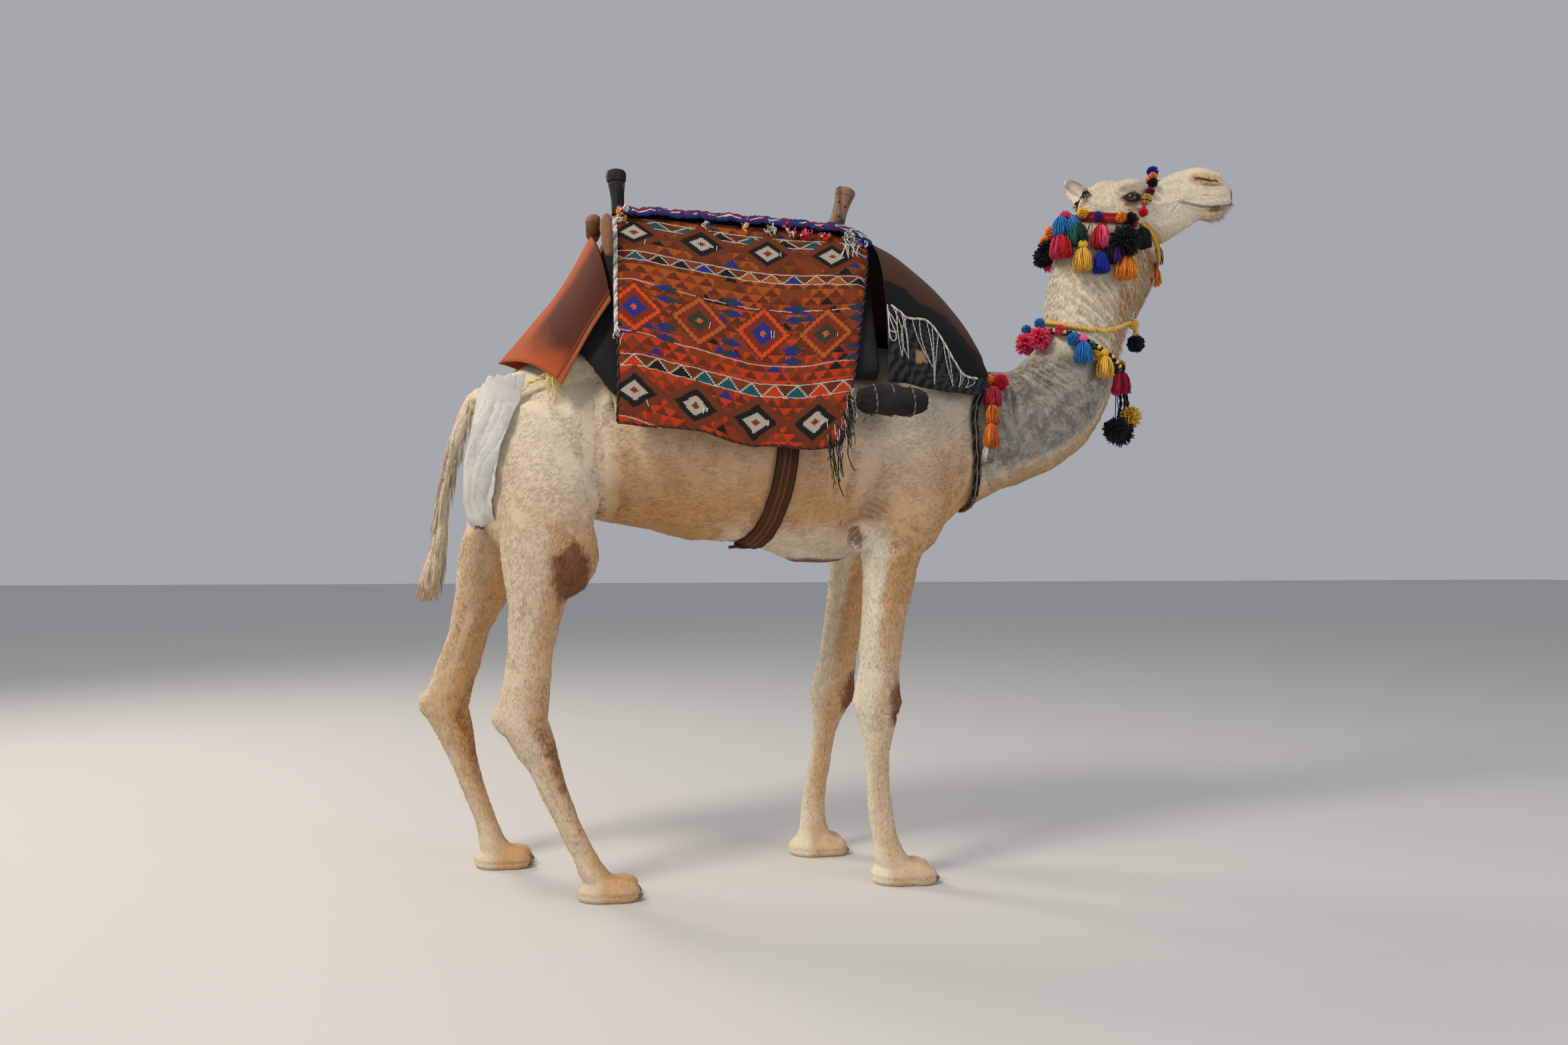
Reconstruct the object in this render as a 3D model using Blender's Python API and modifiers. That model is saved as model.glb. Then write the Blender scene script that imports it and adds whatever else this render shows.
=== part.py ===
"""A standing dromedary camel in its riding saddle, halter and collars.

Metres, +X towards its head, +Z up, its own right side at -Y. The shapes are laid out with the
body's middle plane at y = 0 and the ground at z = 0, and centred on the floor at the end.
"""

import math

import bmesh
import bpy
from mathutils import Matrix, Vector
from mathutils.bvhtree import BVHTree

GAP = 0.0003
FIT = 0.002
BODY_VOXEL = 0.010
BODY_RATIO = 0.0178
HEAD_DETAIL = 0.62
RING_SIDES = 20
STEPS = 4
SIDES = {"right": -1, "left": 1}


# Scene, materials and small helpers


def clear_scene():
    for old in list(bpy.data.objects):
        bpy.data.objects.remove(old, do_unlink=True)
    for old in list(bpy.data.collections):
        bpy.data.collections.remove(old)


clear_scene()
PARTS = bpy.data.collections.new("dromedary_camel")
CUTTERS = bpy.data.collections.new("cutters")
for new_collection in (PARTS, CUTTERS):
    bpy.context.scene.collection.children.link(new_collection)
CUTTERS.hide_render = True


def finish(name, colour, roughness=0.7, metallic=0.0):
    """A plain material with the part's own colour."""
    material = bpy.data.materials.new(name)
    material.use_nodes = True
    shader = material.node_tree.nodes["Principled BSDF"]
    shader.inputs["Base Color"].default_value = (*colour, 1.0)
    shader.inputs["Roughness"].default_value = roughness
    shader.inputs["Metallic"].default_value = metallic
    return material


COAT = finish("coat_cream", (0.78, 0.69, 0.55), 0.85)
EYE = finish("eye_dark", (0.03, 0.018, 0.012), 0.08)
NAIL = finish("nail_horn", (0.22, 0.17, 0.13), 0.5)
WOOD = finish("wood_turned", (0.50, 0.36, 0.24), 0.5)
DARK_WOOD = finish("wood_dark", (0.08, 0.06, 0.05), 0.5)
KILIM = finish("kilim_wool", (0.42, 0.12, 0.06), 0.9)
BLANKET = finish("blanket_blue", (0.06, 0.09, 0.25), 0.9)
BLACK_WOOL = finish("wool_black", (0.03, 0.03, 0.035), 0.9)
TAN_LEATHER = finish("leather_tan", (0.55, 0.20, 0.07), 0.45)
PALE_LEATHER = finish("leather_pale", (0.62, 0.44, 0.30), 0.6)
DARK_LEATHER = finish("leather_dark", (0.10, 0.045, 0.025), 0.5)
WHITE_CLOTH = finish("cotton_white", (0.80, 0.80, 0.78), 0.9)
YELLOW_ROPE = finish("rope_yellow", (0.60, 0.40, 0.14), 0.85)
OCHRE_STRAP = finish("webbing_ochre", (0.55, 0.33, 0.07), 0.8)
RED_STRAP = finish("webbing_red", (0.45, 0.03, 0.04), 0.8)
MIXED_WOOL = finish("pompom_wool", (0.45, 0.20, 0.10), 0.95)
GREY_ROPE = finish("rope_grey", (0.22, 0.18, 0.14), 0.85)


def new_object(name, mesh, material=None, collection=PARTS):
    made = bpy.data.objects.new(name, mesh)
    collection.objects.link(made)
    if material:
        mesh.materials.clear()
        mesh.materials.append(material)
    return made


def mesh_of(bm, name):
    bmesh.ops.recalc_face_normals(bm, faces=bm.faces)
    mesh = bpy.data.meshes.new(name)
    bm.to_mesh(mesh)
    bm.free()
    return mesh


def applied(source, name=None, material=None):
    """A plain mesh object with the source's modifiers and placing applied; the source is removed."""
    bpy.context.view_layer.update()
    graph = bpy.context.evaluated_depsgraph_get()
    mesh = bpy.data.meshes.new_from_object(source.evaluated_get(graph))
    mesh.transform(source.matrix_world)
    name = name or source.name
    material = material or (source.active_material if source.active_material else None)
    bpy.data.objects.remove(source, do_unlink=True)
    bm = bmesh.new()
    bm.from_mesh(mesh)
    bmesh.ops.remove_doubles(bm, verts=bm.verts, dist=1e-6)
    bmesh.ops.triangulate(bm, faces=bm.faces)
    bm.to_mesh(mesh)
    bm.free()
    mesh.name = name
    return new_object(name, mesh, material)


def joined(pieces, name, material):
    """One mesh object that holds every piece, still as loose shells."""
    bm = bmesh.new()
    for piece in pieces:
        piece = applied(piece)
        bm.from_mesh(piece.data)
        bpy.data.objects.remove(piece, do_unlink=True)
    mesh = bpy.data.meshes.new(name)
    bm.to_mesh(mesh)
    bm.free()
    return new_object(name, mesh, material)


def fused(pieces, name, material, voxel, smoothing, ratio):
    """The pieces grown into one closed skin, smoothed where they meet, then thinned to a faceted solid."""
    whole = joined(pieces, name, material)
    remesh = whole.modifiers.new("grow together", "REMESH")
    remesh.mode = "VOXEL"
    remesh.voxel_size = voxel
    soften = whole.modifiers.new("soften", "SMOOTH")
    soften.factor = 0.5
    soften.iterations = smoothing
    whole = applied(whole)
    if ratio:
        thin = whole.modifiers.new("facets", "DECIMATE")
        thin.ratio = ratio
        whole = applied(whole)
    return whole


def boolean(target, cutter, operation):
    cut = target.modifiers.new(operation.lower(), "BOOLEAN")
    cut.operation = operation
    cut.object = cutter
    return applied(target)


def copy_of(source, name, collection=PARTS):
    return new_object(name, source.data.copy(), source.active_material, collection)


def grown(source, distance):
    """A cutter a little larger than the source all round."""
    cutter = copy_of(source, source.name + "_clearance", CUTTERS)
    cutter.display_type = "WIRE"
    cutter.hide_render = True
    bm = bmesh.new()
    bm.from_mesh(cutter.data)
    bm.normal_update()
    for vertex in bm.verts:
        vertex.co += vertex.normal * distance
    bm.to_mesh(cutter.data)
    bm.free()
    return cutter


def largest(piece):
    """Keeps the biggest of the piece's shells."""
    bm = bmesh.new()
    bm.from_mesh(piece.data)
    left = set(bm.verts)
    shells = []
    while left:
        shell, edge = set(), [left.pop()]
        while edge:
            vertex = edge.pop()
            shell.add(vertex)
            for link in vertex.link_edges:
                other = link.other_vert(vertex)
                if other in left:
                    left.discard(other)
                    edge.append(other)
        shells.append(shell)
    shells.sort(key=len)
    for shell in shells[:-1]:
        bmesh.ops.delete(bm, geom=list(shell), context="VERTS")
    bm.to_mesh(piece.data)
    bm.free()
    return piece


def clear_of(piece, *others):
    """Trims the piece back from each neighbour by the gap."""
    for other in others:
        piece = largest(boolean(piece, grown(other, GAP), "DIFFERENCE"))
    return piece


class Skin:
    """The body's outer surface, to rest things on."""

    def __init__(self, body):
        bm = bmesh.new()
        bm.from_mesh(body.data)
        self.tree = BVHTree.FromBMesh(bm)
        bm.free()

    def above(self, point, lift):
        """The point itself, or one lifted off the skin if it is nearer than lift."""
        foot, normal, _, _ = self.tree.find_nearest(point)
        return foot + normal * lift if (point - foot).dot(normal) < lift else point

    def snug(self, point, lift):
        """The nearest place at exactly this height over the skin."""
        foot, normal, _, _ = self.tree.find_nearest(point)
        return foot + normal * lift

    def outward(self, point, centre, lift):
        """Moves a point away from the centre until the skin on that line is lift below it."""
        line = point - centre
        reach = line.length
        line.normalize()
        hit, _, _, _ = self.tree.ray_cast(centre + line * 1.5, -line, 1.5)
        if hit is None:
            return point
        return centre + line * max(reach, (hit - centre).length + lift)


# Sections and lofts


def between(rows, steps):
    """The rows with smooth rows added between them, by Catmull-Rom."""
    ends = [rows[0], *rows, rows[-1]]
    out = []
    for before, start, stop, after in zip(ends, ends[1:], ends[2:], ends[3:]):
        for step in range(steps):
            t = step / steps
            out.append(
                tuple(
                    0.5
                    * (
                        2 * q
                        + (r - p) * t
                        + (2 * p - 5 * q + 4 * r - s) * t * t
                        + (3 * q - p - 3 * r + s) * t**3
                    )
                    for p, q, r, s in zip(before, start, stop, after)
                )
            )
    out.append(tuple(rows[-1]))
    return out


def oval(top, low, y, half_width, fullness=0.0, sides=RING_SIDES):
    """A cross-section through top and low, wider near low when fullness is positive."""
    middle = (Vector((top[0], y, top[1])) + Vector((low[0], y, low[1]))) / 2
    reach = Vector((top[0], y, top[1])) - middle
    ring = []
    for i in range(sides):
        turn = 2 * math.pi * i / sides
        width = half_width * (1 - fullness * math.cos(turn)) * math.sin(turn)
        ring.append(middle + reach * math.cos(turn) + Vector((0, width, 0)))
    return ring


def loft(name, rings, material=COAT, closed=True):
    """A skin over rings of equal count, capped at both ends."""
    bm = bmesh.new()
    loops = [[bm.verts.new(point) for point in ring] for ring in rings]
    for low, high in zip(loops, loops[1:]):
        for i in range(len(low) if closed else len(low) - 1):
            j = (i + 1) % len(low)
            bm.faces.new((low[i], low[j], high[j], high[i]))
    if closed:
        bm.faces.new(loops[0][::-1])
        bm.faces.new(loops[-1])
    return new_object(name, mesh_of(bm, name), material)


def body_loft(name, rows, steps=STEPS):
    """A loft through rows of (top x, top z, low x, low z, y, half width, fullness)."""
    return loft(name, [oval(r[0:2], r[2:4], *r[4:7]) for r in between(rows, steps)])


def blob(name, centre, radii, pitch=0.0, yaw=0.0, material=COAT, level=3):
    """An ellipsoid: pitch lifts its +X end, yaw turns it to the left."""
    bm = bmesh.new()
    bmesh.ops.create_icosphere(bm, subdivisions=level, radius=1.0)
    turn = Matrix.Rotation(yaw, 4, "Z") @ Matrix.Rotation(-pitch, 4, "Y")
    place = Matrix.Translation(centre) @ turn @ Matrix.Diagonal((*radii, 1.0))
    bmesh.ops.transform(bm, matrix=place, verts=bm.verts)
    return new_object(name, mesh_of(bm, name), material)


def pair(name, centre, radii, pitch=0.0, yaw=0.0, material=COAT):
    """The same blob on the right and the left."""
    x, y, z = centre
    return [
        blob(f"{name}_{word}", (x, side * y, z), radii, pitch, side * yaw, material)
        for word, side in SIDES.items()
    ]


# The trunk and the neck, front to back along the middle plane

TRUNK = [
    (-0.940, 1.470, -0.935, 1.32, 0, 0.040, 0.0),
    (-0.905, 1.518, -0.915, 1.17, 0, 0.110, 0.0),
    (-0.830, 1.575, -0.830, 1.09, 0, 0.175, 0.0),
    (-0.700, 1.625, -0.700, 1.08, 0, 0.222, 0.0),
    (-0.570, 1.660, -0.570, 1.093, 0, 0.245, 0.1),
    (-0.440, 1.690, -0.440, 1.072, 0, 0.280, 0.15),
    (-0.300, 1.715, -0.300, 1.038, 0, 0.302, 0.15),
    (-0.140, 1.725, -0.140, 1.030, 0, 0.305, 0.15),
    (0.010, 1.720, 0.000, 0.985, 0, 0.290, 0.15),
    (0.140, 1.705, 0.130, 0.972, 0, 0.262, 0.1),
    (0.270, 1.680, 0.230, 0.990, 0, 0.235, 0.0),
    (0.410, 1.650, 0.370, 1.020, 0, 0.205, -0.05),
    (0.540, 1.622, 0.480, 1.058, 0, 0.165, -0.05),
    (0.630, 1.605, 0.565, 1.120, 0, 0.120, 0.0),
]
NECK = [
    (0.520, 1.615, 0.460, 1.080, 0, 0.150, 0.0),
    (0.650, 1.607, 0.590, 1.140, 0, 0.150, 0.0),
    (0.745, 1.606, 0.730, 1.207, 0, 0.132, 0.0),
    (0.805, 1.640, 0.890, 1.268, 0, 0.120, 0.0),
    (0.848, 1.685, 1.020, 1.363, 0, 0.112, 0.0),
    (0.872, 1.740, 1.098, 1.490, 0, 0.106, 0.0),
    (0.884, 1.805, 1.138, 1.655, 0, 0.101, 0.0),
    (0.898, 1.895, 1.182, 1.785, 0, 0.094, 0.0),
    (0.920, 1.990, 1.240, 1.875, -0.004, 0.087, 0.0),
    (0.968, 2.100, 1.262, 1.960, -0.010, 0.080, 0.0),
    (1.040, 2.190, 1.275, 2.040, -0.016, 0.070, 0.0),
]
TAIL = [
    (-0.900, 1.520, -0.930, 1.440, 0, 0.040, 0.0),
    (-0.970, 1.500, -0.950, 1.440, 0, 0.032, 0.0),
    (-1.015, 1.420, -0.972, 1.390, 0, 0.026, 0.0),
    (-1.045, 1.320, -1.003, 1.305, 0, 0.022, 0.0),
    (-1.066, 1.210, -1.024, 1.205, 0, 0.022, 0.0),
    (-1.078, 1.100, -1.030, 1.100, 0, 0.024, 0.0),
    (-1.098, 0.990, -1.040, 0.990, 0, 0.030, 0.0),
    (-1.125, 0.915, -1.052, 0.905, 0, 0.028, 0.0),
    (-1.112, 0.860, -1.075, 0.858, 0, 0.010, 0.0),
]


def trunk_masses():
    made = [
        body_loft("trunk_barrel", TRUNK),
        blob("hump", (-0.14, 0, 1.68), (0.36, 0.17, 0.25)),
        blob("chest_pad", (0.10, 0, 1.005), (0.125, 0.085, 0.038)),
        blob("breast", (0.462, 0, 1.165), (0.095, 0.120, 0.105), pitch=0.3),
    ]
    made += pair("hip_bone", (-0.635, 0.165, 1.555), (0.07, 0.05, 0.05))
    made += pair("shoulder_blade", (0.37, 0.130, 1.36), (0.13, 0.085, 0.24), pitch=-0.30)
    made += pair("upper_arm", (0.345, 0.165, 1.17), (0.140, 0.085, 0.185), pitch=0.22)
    made += pair("buttock", (-0.850, 0.10, 1.25), (0.105, 0.105, 0.25))
    return made


# The legs: each is a run of level sections hung on its own line of joints

FORE_SECTIONS = [
    (1.260, 0.280, 0.085),
    (1.140, 0.270, 0.088),
    (1.030, 0.222, 0.080),
    (0.920, 0.173, 0.068),
    (0.780, 0.147, 0.056),
    (0.655, 0.137, 0.052),
    (0.590, 0.150, 0.057),
    (0.540, 0.151, 0.058),
    (0.485, 0.124, 0.050),
    (0.410, 0.088, 0.041),
    (0.300, 0.078, 0.037),
    (0.200, 0.083, 0.041),
    (0.120, 0.090, 0.046),
    (0.065, 0.112, 0.058),
]
HIND_SECTIONS = [
    (1.440, 0.260, 0.080),
    (1.300, 0.290, 0.096),
    (1.190, 0.292, 0.098),
    (1.090, 0.285, 0.092),
    (1.020, 0.268, 0.084),
    (0.940, 0.225, 0.070),
    (0.866, 0.180, 0.058),
    (0.780, 0.148, 0.048),
    (0.675, 0.140, 0.043),
    (0.580, 0.148, 0.046),
    (0.515, 0.158, 0.050),
    (0.450, 0.138, 0.045),
    (0.370, 0.105, 0.038),
    (0.260, 0.084, 0.035),
    (0.180, 0.080, 0.037),
    (0.110, 0.082, 0.042),
    (0.065, 0.100, 0.052),
]
# Joint lines, top to bottom: (x, y, z).
LEG_LINES = {
    "fore_right": [
        (0.345, -0.150, 1.260),
        (0.309, -0.185, 1.030),
        (0.273, -0.190, 0.780),
        (0.254, -0.190, 0.560),
        (0.258, -0.190, 0.300),
        (0.268, -0.190, 0.180),
        (0.298, -0.190, 0.065),
    ],
    "fore_left": [
        (0.325, 0.150, 1.260),
        (0.290, 0.185, 1.030),
        (0.197, 0.190, 0.550),
        (0.155, 0.190, 0.300),
        (0.130, 0.190, 0.180),
        (0.134, 0.190, 0.065),
    ],
    "hind_right": [
        (-0.760, -0.120, 1.440),
        (-0.735, -0.160, 1.200),
        (-0.738, -0.185, 1.050),
        (-0.773, -0.200, 0.780),
        (-0.803, -0.212, 0.520),
        (-0.693, -0.220, 0.270),
        (-0.628, -0.222, 0.130),
        (-0.590, -0.222, 0.065),
    ],
    "hind_left": [
        (-0.780, 0.120, 1.440),
        (-0.800, 0.155, 1.200),
        (-0.878, 0.175, 1.050),
        (-0.978, 0.188, 0.780),
        (-1.062, 0.197, 0.520),
        (-0.980, 0.200, 0.270),
        (-0.927, 0.200, 0.130),
        (-0.905, 0.200, 0.065),
    ],
}
FEET = {
    "fore_right": (0.333, -0.190, 0.102, 0.078),
    "fore_left": (0.142, 0.190, 0.100, 0.078),
    "hind_right": (-0.556, -0.222, 0.092, 0.068),
    "hind_left": (-0.878, 0.200, 0.090, 0.068),
}
TOE_SPREAD = 0.52


def on_line(line, z):
    """The x and y where a joint line crosses height z."""
    for (x0, y0, z0), (x1, y1, z1) in zip(line, line[1:]):
        if z >= z1:
            t = (z0 - z) / (z0 - z1)
            return x0 + (x1 - x0) * t, y0 + (y1 - y0) * t
    return line[-1][:2]


def leg_masses(leg):
    line = LEG_LINES[leg]
    sections = FORE_SECTIONS if leg.startswith("fore") else HIND_SECTIONS
    rows = []
    for z, depth, half_width in sections:
        x, y = on_line(line, z)
        rows.append((x + depth / 2, z, x - depth / 2, z, y, half_width, 0.0))
    made = [body_loft(leg + "_column", rows)]
    x, y, length, width = FEET[leg]
    made.append(blob(leg + "_pad", (x - 0.008, y, 0.020), (length * 0.92, width * 0.96, 0.046)))
    for word, side in SIDES.items():
        toe = (x + length * 0.42, y + side * width * TOE_SPREAD, 0.026)
        made.append(blob(f"{leg}_toe_{word}", toe, (length * 0.58, width * 0.50, 0.040), yaw=-side * -0.10))
    outward = 1 if y > 0 else -1
    if leg.startswith("fore"):
        ex, ey = on_line(line, 1.05)
        made.append(blob(leg + "_elbow", (ex - 0.125, ey + outward * 0.045, 1.055), (0.045, 0.036, 0.055)))
        kx, ky = on_line(line, 0.56)
        made.append(blob(leg + "_knee", (kx + 0.038, ky, 0.550), (0.042, 0.050, 0.070)))
    else:
        sx, sy = on_line(line, 1.03)
        made.append(blob(leg + "_stifle", (sx + 0.088, sy + outward * 0.01, 0.985), (0.066, 0.066, 0.120), pitch=-0.22))
        hx, hy = on_line(line, 0.52)
        made.append(blob(leg + "_hock", (hx - 0.052, hy, 0.525), (0.036, 0.032, 0.050)))
    return made


# The head, in its own frame: +X along the muzzle from the pivot on the neck

HEAD_PIVOT = Vector((1.080, -0.012, 2.120))
HEAD_YAW = math.radians(-14)
HEAD_PLACE = Matrix.Translation(HEAD_PIVOT) @ Matrix.Rotation(HEAD_YAW, 4, "Z")
HEAD = [
    (-0.075, 0.060, -0.060, -0.030, 0, 0.045, 0.0),
    (-0.045, 0.105, -0.010, -0.085, 0, 0.068, 0.0),
    (0.005, 0.137, 0.040, -0.108, 0, 0.080, 0.0),
    (0.055, 0.132, 0.085, -0.106, 0, 0.082, 0.0),
    (0.105, 0.124, 0.125, -0.096, 0, 0.078, 0.0),
    (0.150, 0.122, 0.165, -0.082, 0, 0.066, 0.05),
    (0.200, 0.142, 0.205, -0.082, 0, 0.053, 0.05),
    (0.245, 0.162, 0.245, -0.058, 0, 0.046, 0.0),
    (0.290, 0.174, 0.290, -0.030, 0, 0.043, 0.0),
    (0.332, 0.178, 0.332, -0.002, 0, 0.045, 0.0),
    (0.366, 0.164, 0.366, -0.008, 0, 0.045, 0.0),
    (0.394, 0.142, 0.396, -0.002, 0, 0.042, 0.0),
    (0.418, 0.116, 0.418, 0.020, 0, 0.034, 0.0),
    (0.434, 0.090, 0.433, 0.048, 0, 0.020, 0.0),
]
EYE_PLACE = (0.090, 0.064, 0.056)
EYE_RADIUS = 0.021
EAR_ROOT = (-0.062, 0.056, 0.080)
EAR_LENGTH = 0.082
EAR_AIM = {"right": (-0.84, 0.34, 0.36), "left": (-0.30, 0.38, 0.87)}


def head_masses():
    made = [body_loft("head_skull", HEAD)]
    made += pair("brow", (0.088, 0.058, 0.100), (0.058, 0.026, 0.024), pitch=0.05, yaw=-0.1)
    made += pair("cheek", (0.050, 0.056, -0.030), (0.085, 0.026, 0.060), pitch=0.1)
    made += pair("cheek_bone", (0.150, 0.052, 0.035), (0.070, 0.016, 0.018), pitch=0.35, yaw=-0.25)
    made += pair("nostril_rim", (0.352, 0.030, 0.138), (0.048, 0.018, 0.022), pitch=-0.1, yaw=-0.1)
    made += pair("upper_lip", (0.376, 0.022, 0.088), (0.050, 0.026, 0.038), pitch=-0.45)
    made.append(blob("lower_lip", (0.374, 0, 0.016), (0.040, 0.034, 0.024), pitch=0.35))
    for piece in made:
        piece.matrix_world = HEAD_PLACE
    return made


def ear(word, side):
    """A cupped leaf, thick at the root."""
    root = Vector((EAR_ROOT[0], side * EAR_ROOT[1], EAR_ROOT[2]))
    back, outward, up = EAR_AIM[word]
    along = Vector((back, side * outward, up)).normalized()
    across = Vector((0.45, side * 0.10, 0.85))
    across = (across - along * across.dot(along)).normalized()
    out = along.cross(across).normalized() * -side
    rings = []
    for t, width, thick, cup in (
        (-0.25, 0.017, 0.016, 0.000),
        (0.05, 0.022, 0.017, 0.001),
        (0.30, 0.027, 0.014, 0.005),
        (0.60, 0.025, 0.010, 0.006),
        (0.85, 0.015, 0.008, 0.003),
        (1.00, 0.005, 0.005, 0.000),
    ):
        middle = root + along * (t * EAR_LENGTH)
        ring = []
        for i in range(12):
            turn = 2 * math.pi * i / 12
            bend = cup * math.cos(turn) ** 2
            ring.append(middle + across * (width * math.cos(turn)) + out * (thick * math.sin(turn) / 2 + bend))
        rings.append(ring)
    made = loft("ear_" + word, rings)
    made.matrix_world = HEAD_PLACE
    return applied(made)


# The whole body grown together, then parted where a person would name its parts


def whole_body():
    pieces = trunk_masses() + [body_loft("neck_column", NECK), body_loft("tail_column", TAIL)]
    for leg in LEG_LINES:
        pieces += leg_masses(leg)
    pieces += head_masses()
    body = fused(pieces, "body", COAT, BODY_VOXEL, 5, None)
    floor = block("floor_cut", (-2, 2), (-1, 1), (-0.5, 0.0))
    body = boolean(body, floor, "DIFFERENCE")
    head_group = body.vertex_groups.new(name="coarse")
    for vertex in body.data.vertices:
        local = HEAD_PLACE.inverted() @ vertex.co
        on_head = local.x > -0.09 and local.z > -0.13
        on_foot = vertex.co.z < 0.14
        head_group.add([vertex.index], 1 - HEAD_DETAIL if on_head else 0.55 if on_foot else 1.0, "REPLACE")
    thin = body.modifiers.new("facets", "DECIMATE")
    thin.ratio = BODY_RATIO
    thin.vertex_group = "coarse"
    thin.vertex_group_factor = 1.0
    return applied(body)


def block(name, xs, ys, zs, top_xs=None):
    """A box cutter between the given limits; top_xs gives its upper face other x limits."""
    bm = bmesh.new()
    bmesh.ops.create_cube(bm, size=1.0)
    for vertex in bm.verts:
        high = vertex.co.z > 0
        x_limits = top_xs if top_xs and high else xs
        vertex.co = (x_limits[vertex.co.x > 0], ys[vertex.co.y > 0], zs[high])
    made = new_object(name, mesh_of(bm, name), None, CUTTERS)
    made.display_type = "WIRE"
    made.hide_render = True
    return made


def part_off(body, name, cutter):
    """Takes the part of the body inside the cutter away as its own piece, and leaves a thin gap."""
    piece = boolean(copy_of(body, name), cutter, "INTERSECT")
    body = boolean(body, grown(cutter, GAP), "DIFFERENCE")
    return piece, body


def tilted_block(name, low, high, front, half_width):
    """A cutter ahead of the slanted line from low to high, as far as front."""
    bm = bmesh.new()
    bmesh.ops.create_cube(bm, size=1.0)
    corners = {(False, False): low, (False, True): high, (True, False): (front, low[1]), (True, True): (front, high[1])}
    for vertex in bm.verts:
        x, z = corners[vertex.co.x > 0, vertex.co.z > 0]
        vertex.co = (x, half_width if vertex.co.y > 0 else -half_width, z)
    made = new_object(name, mesh_of(bm, name), None, CUTTERS)
    made.display_type = "WIRE"
    made.hide_render = True
    return made


def parted_body():
    """Every part of the body by name, and the outer surface that they make up together."""
    body = whole_body()
    skin = Skin(body)
    cutters = {
        "head": tilted_block("head_cut", (1.400, 1.816), (0.823, 2.350), 1.9, 0.3),
        "neck": tilted_block("neck_cut", (0.550, 1.030), (0.760, 2.400), 1.9, 0.4),
        "tail": block("tail_cut", (-1.3, -0.965), (-0.1, 0.1), (0.7, 1.56), (-1.3, -0.952)),
        "leg_fore_right": block("fore_right_cut", (-0.1, 0.6), (-0.40, -0.078), (-0.1, 1.075), (0.125, 0.56)),
        "leg_fore_left": block("fore_left_cut", (-0.1, 0.6), (0.078, 0.40), (-0.1, 1.075), (0.095, 0.56)),
        "leg_hind_right": block("hind_right_cut", (-1.2, -0.3), (-0.45, -0.045), (-0.1, 1.36), (-1.1, -0.575)),
        "leg_hind_left": block("hind_left_cut", (-1.2, -0.3), (0.045, 0.45), (-0.1, 1.36), (-1.1, -0.575)),
    }
    pieces = {}
    for name, cutter in cutters.items():
        pieces[name], body = part_off(body, name, cutter)
    body.name = "trunk"
    pieces["trunk"] = body
    for piece in pieces.values():
        largest(piece)
    return pieces, skin


def add_eyes(pieces):
    for word, side in SIDES.items():
        x, y, z = EYE_PLACE
        eye = blob("eye_" + word, (x, side * y, z), (EYE_RADIUS,) * 3, material=EYE, level=2)
        eye.matrix_world = HEAD_PLACE @ eye.matrix_world
        eye = applied(eye)
        pieces["head"] = boolean(pieces["head"], grown(eye, GAP), "DIFFERENCE")


def add_ears(pieces):
    for word, side in SIDES.items():
        leaf = ear(word, side)
        boolean(leaf, grown(pieces["head"], GAP), "DIFFERENCE")


def add_nails(pieces):
    """Two blunt nails on each foot, seated on the tips of the toes."""
    for leg, (x, y, length, width) in FEET.items():
        for word, side in SIDES.items():
            tip = (x + length * 0.90, y + side * width * TOE_SPREAD * 0.85, 0.017)
            nail = blob(f"nail_{leg}_{word}", tip, (0.020, 0.014, 0.014), pitch=-0.5, material=NAIL, level=1)
            nail = boolean(applied(nail), block("under_nail", (-2, 2), (-1, 1), (-0.5, 0.001)), "DIFFERENCE")
            boolean(nail, grown(pieces["leg_" + leg], GAP), "DIFFERENCE")


# Tack: what is worn is laid on the body by finding the nearest skin


def smooth_path(points, steps=4):
    return [Vector(p) for p in between([tuple(q) for q in points], steps)]


def mirrored(points):
    """The run of points followed by its mirror image, from the right side round to the left."""
    rest = [p for p in points if abs(p[1]) > 1e-6]
    return list(points) + [(x, -y, z) for x, y, z in reversed(rest)]


def tube(name, path, radius, material, ring=False, roundness=0):
    """A round cord along the path, four-sided unless asked to be rounder."""
    data = bpy.data.curves.new(name, "CURVE")
    data.dimensions = "3D"
    spline = data.splines.new("POLY")
    spline.points.add(len(path) - 1)
    for target, point in zip(spline.points, path):
        target.co = (*point, 1.0)
    spline.use_cyclic_u = ring
    data.bevel_depth = radius
    data.bevel_resolution = roundness
    data.use_fill_caps = not ring
    data.materials.append(material)
    made = bpy.data.objects.new(name, data)
    PARTS.objects.link(made)
    return applied(made, name, material)


def ribbon(name, path, skin, width, thickness, material):
    """A flat strap along the path, its face turned to the skin below it."""
    rings = []
    for before, here, after in zip([path[0], *path], path, [*path[1:], path[-1]]):
        _, normal, _, _ = skin.tree.find_nearest(here)
        along = (after - before).normalized()
        across = along.cross(normal).normalized() * (width / 2)
        up = across.cross(along).normalized() * (thickness / 2)
        if up.dot(normal) < 0:
            up, across = -up, -across
        rings.append([here + across + up, here + across - up, here - across - up, here - across + up])
    return loft(name, rings, material)


def drape(name, place, columns, rows, thickness, material):
    """A cloth through place(u, v), u and v from 0 to 1, with its thickness on the inner side."""
    bm = bmesh.new()
    bmesh.ops.create_grid(bm, x_segments=columns, y_segments=rows, size=0.5)
    for vertex in bm.verts:
        vertex.co = place(vertex.co.x + 0.5, vertex.co.y + 0.5)
    bm.normal_update()
    mesh = bpy.data.meshes.new(name)
    bm.to_mesh(mesh)
    bm.free()
    cloth = new_object(name, mesh, material)
    wall = cloth.modifiers.new("thickness", "SOLIDIFY")
    wall.thickness = thickness
    wall.offset = -1.0
    wall.use_even_offset = True
    return applied(cloth)


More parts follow.
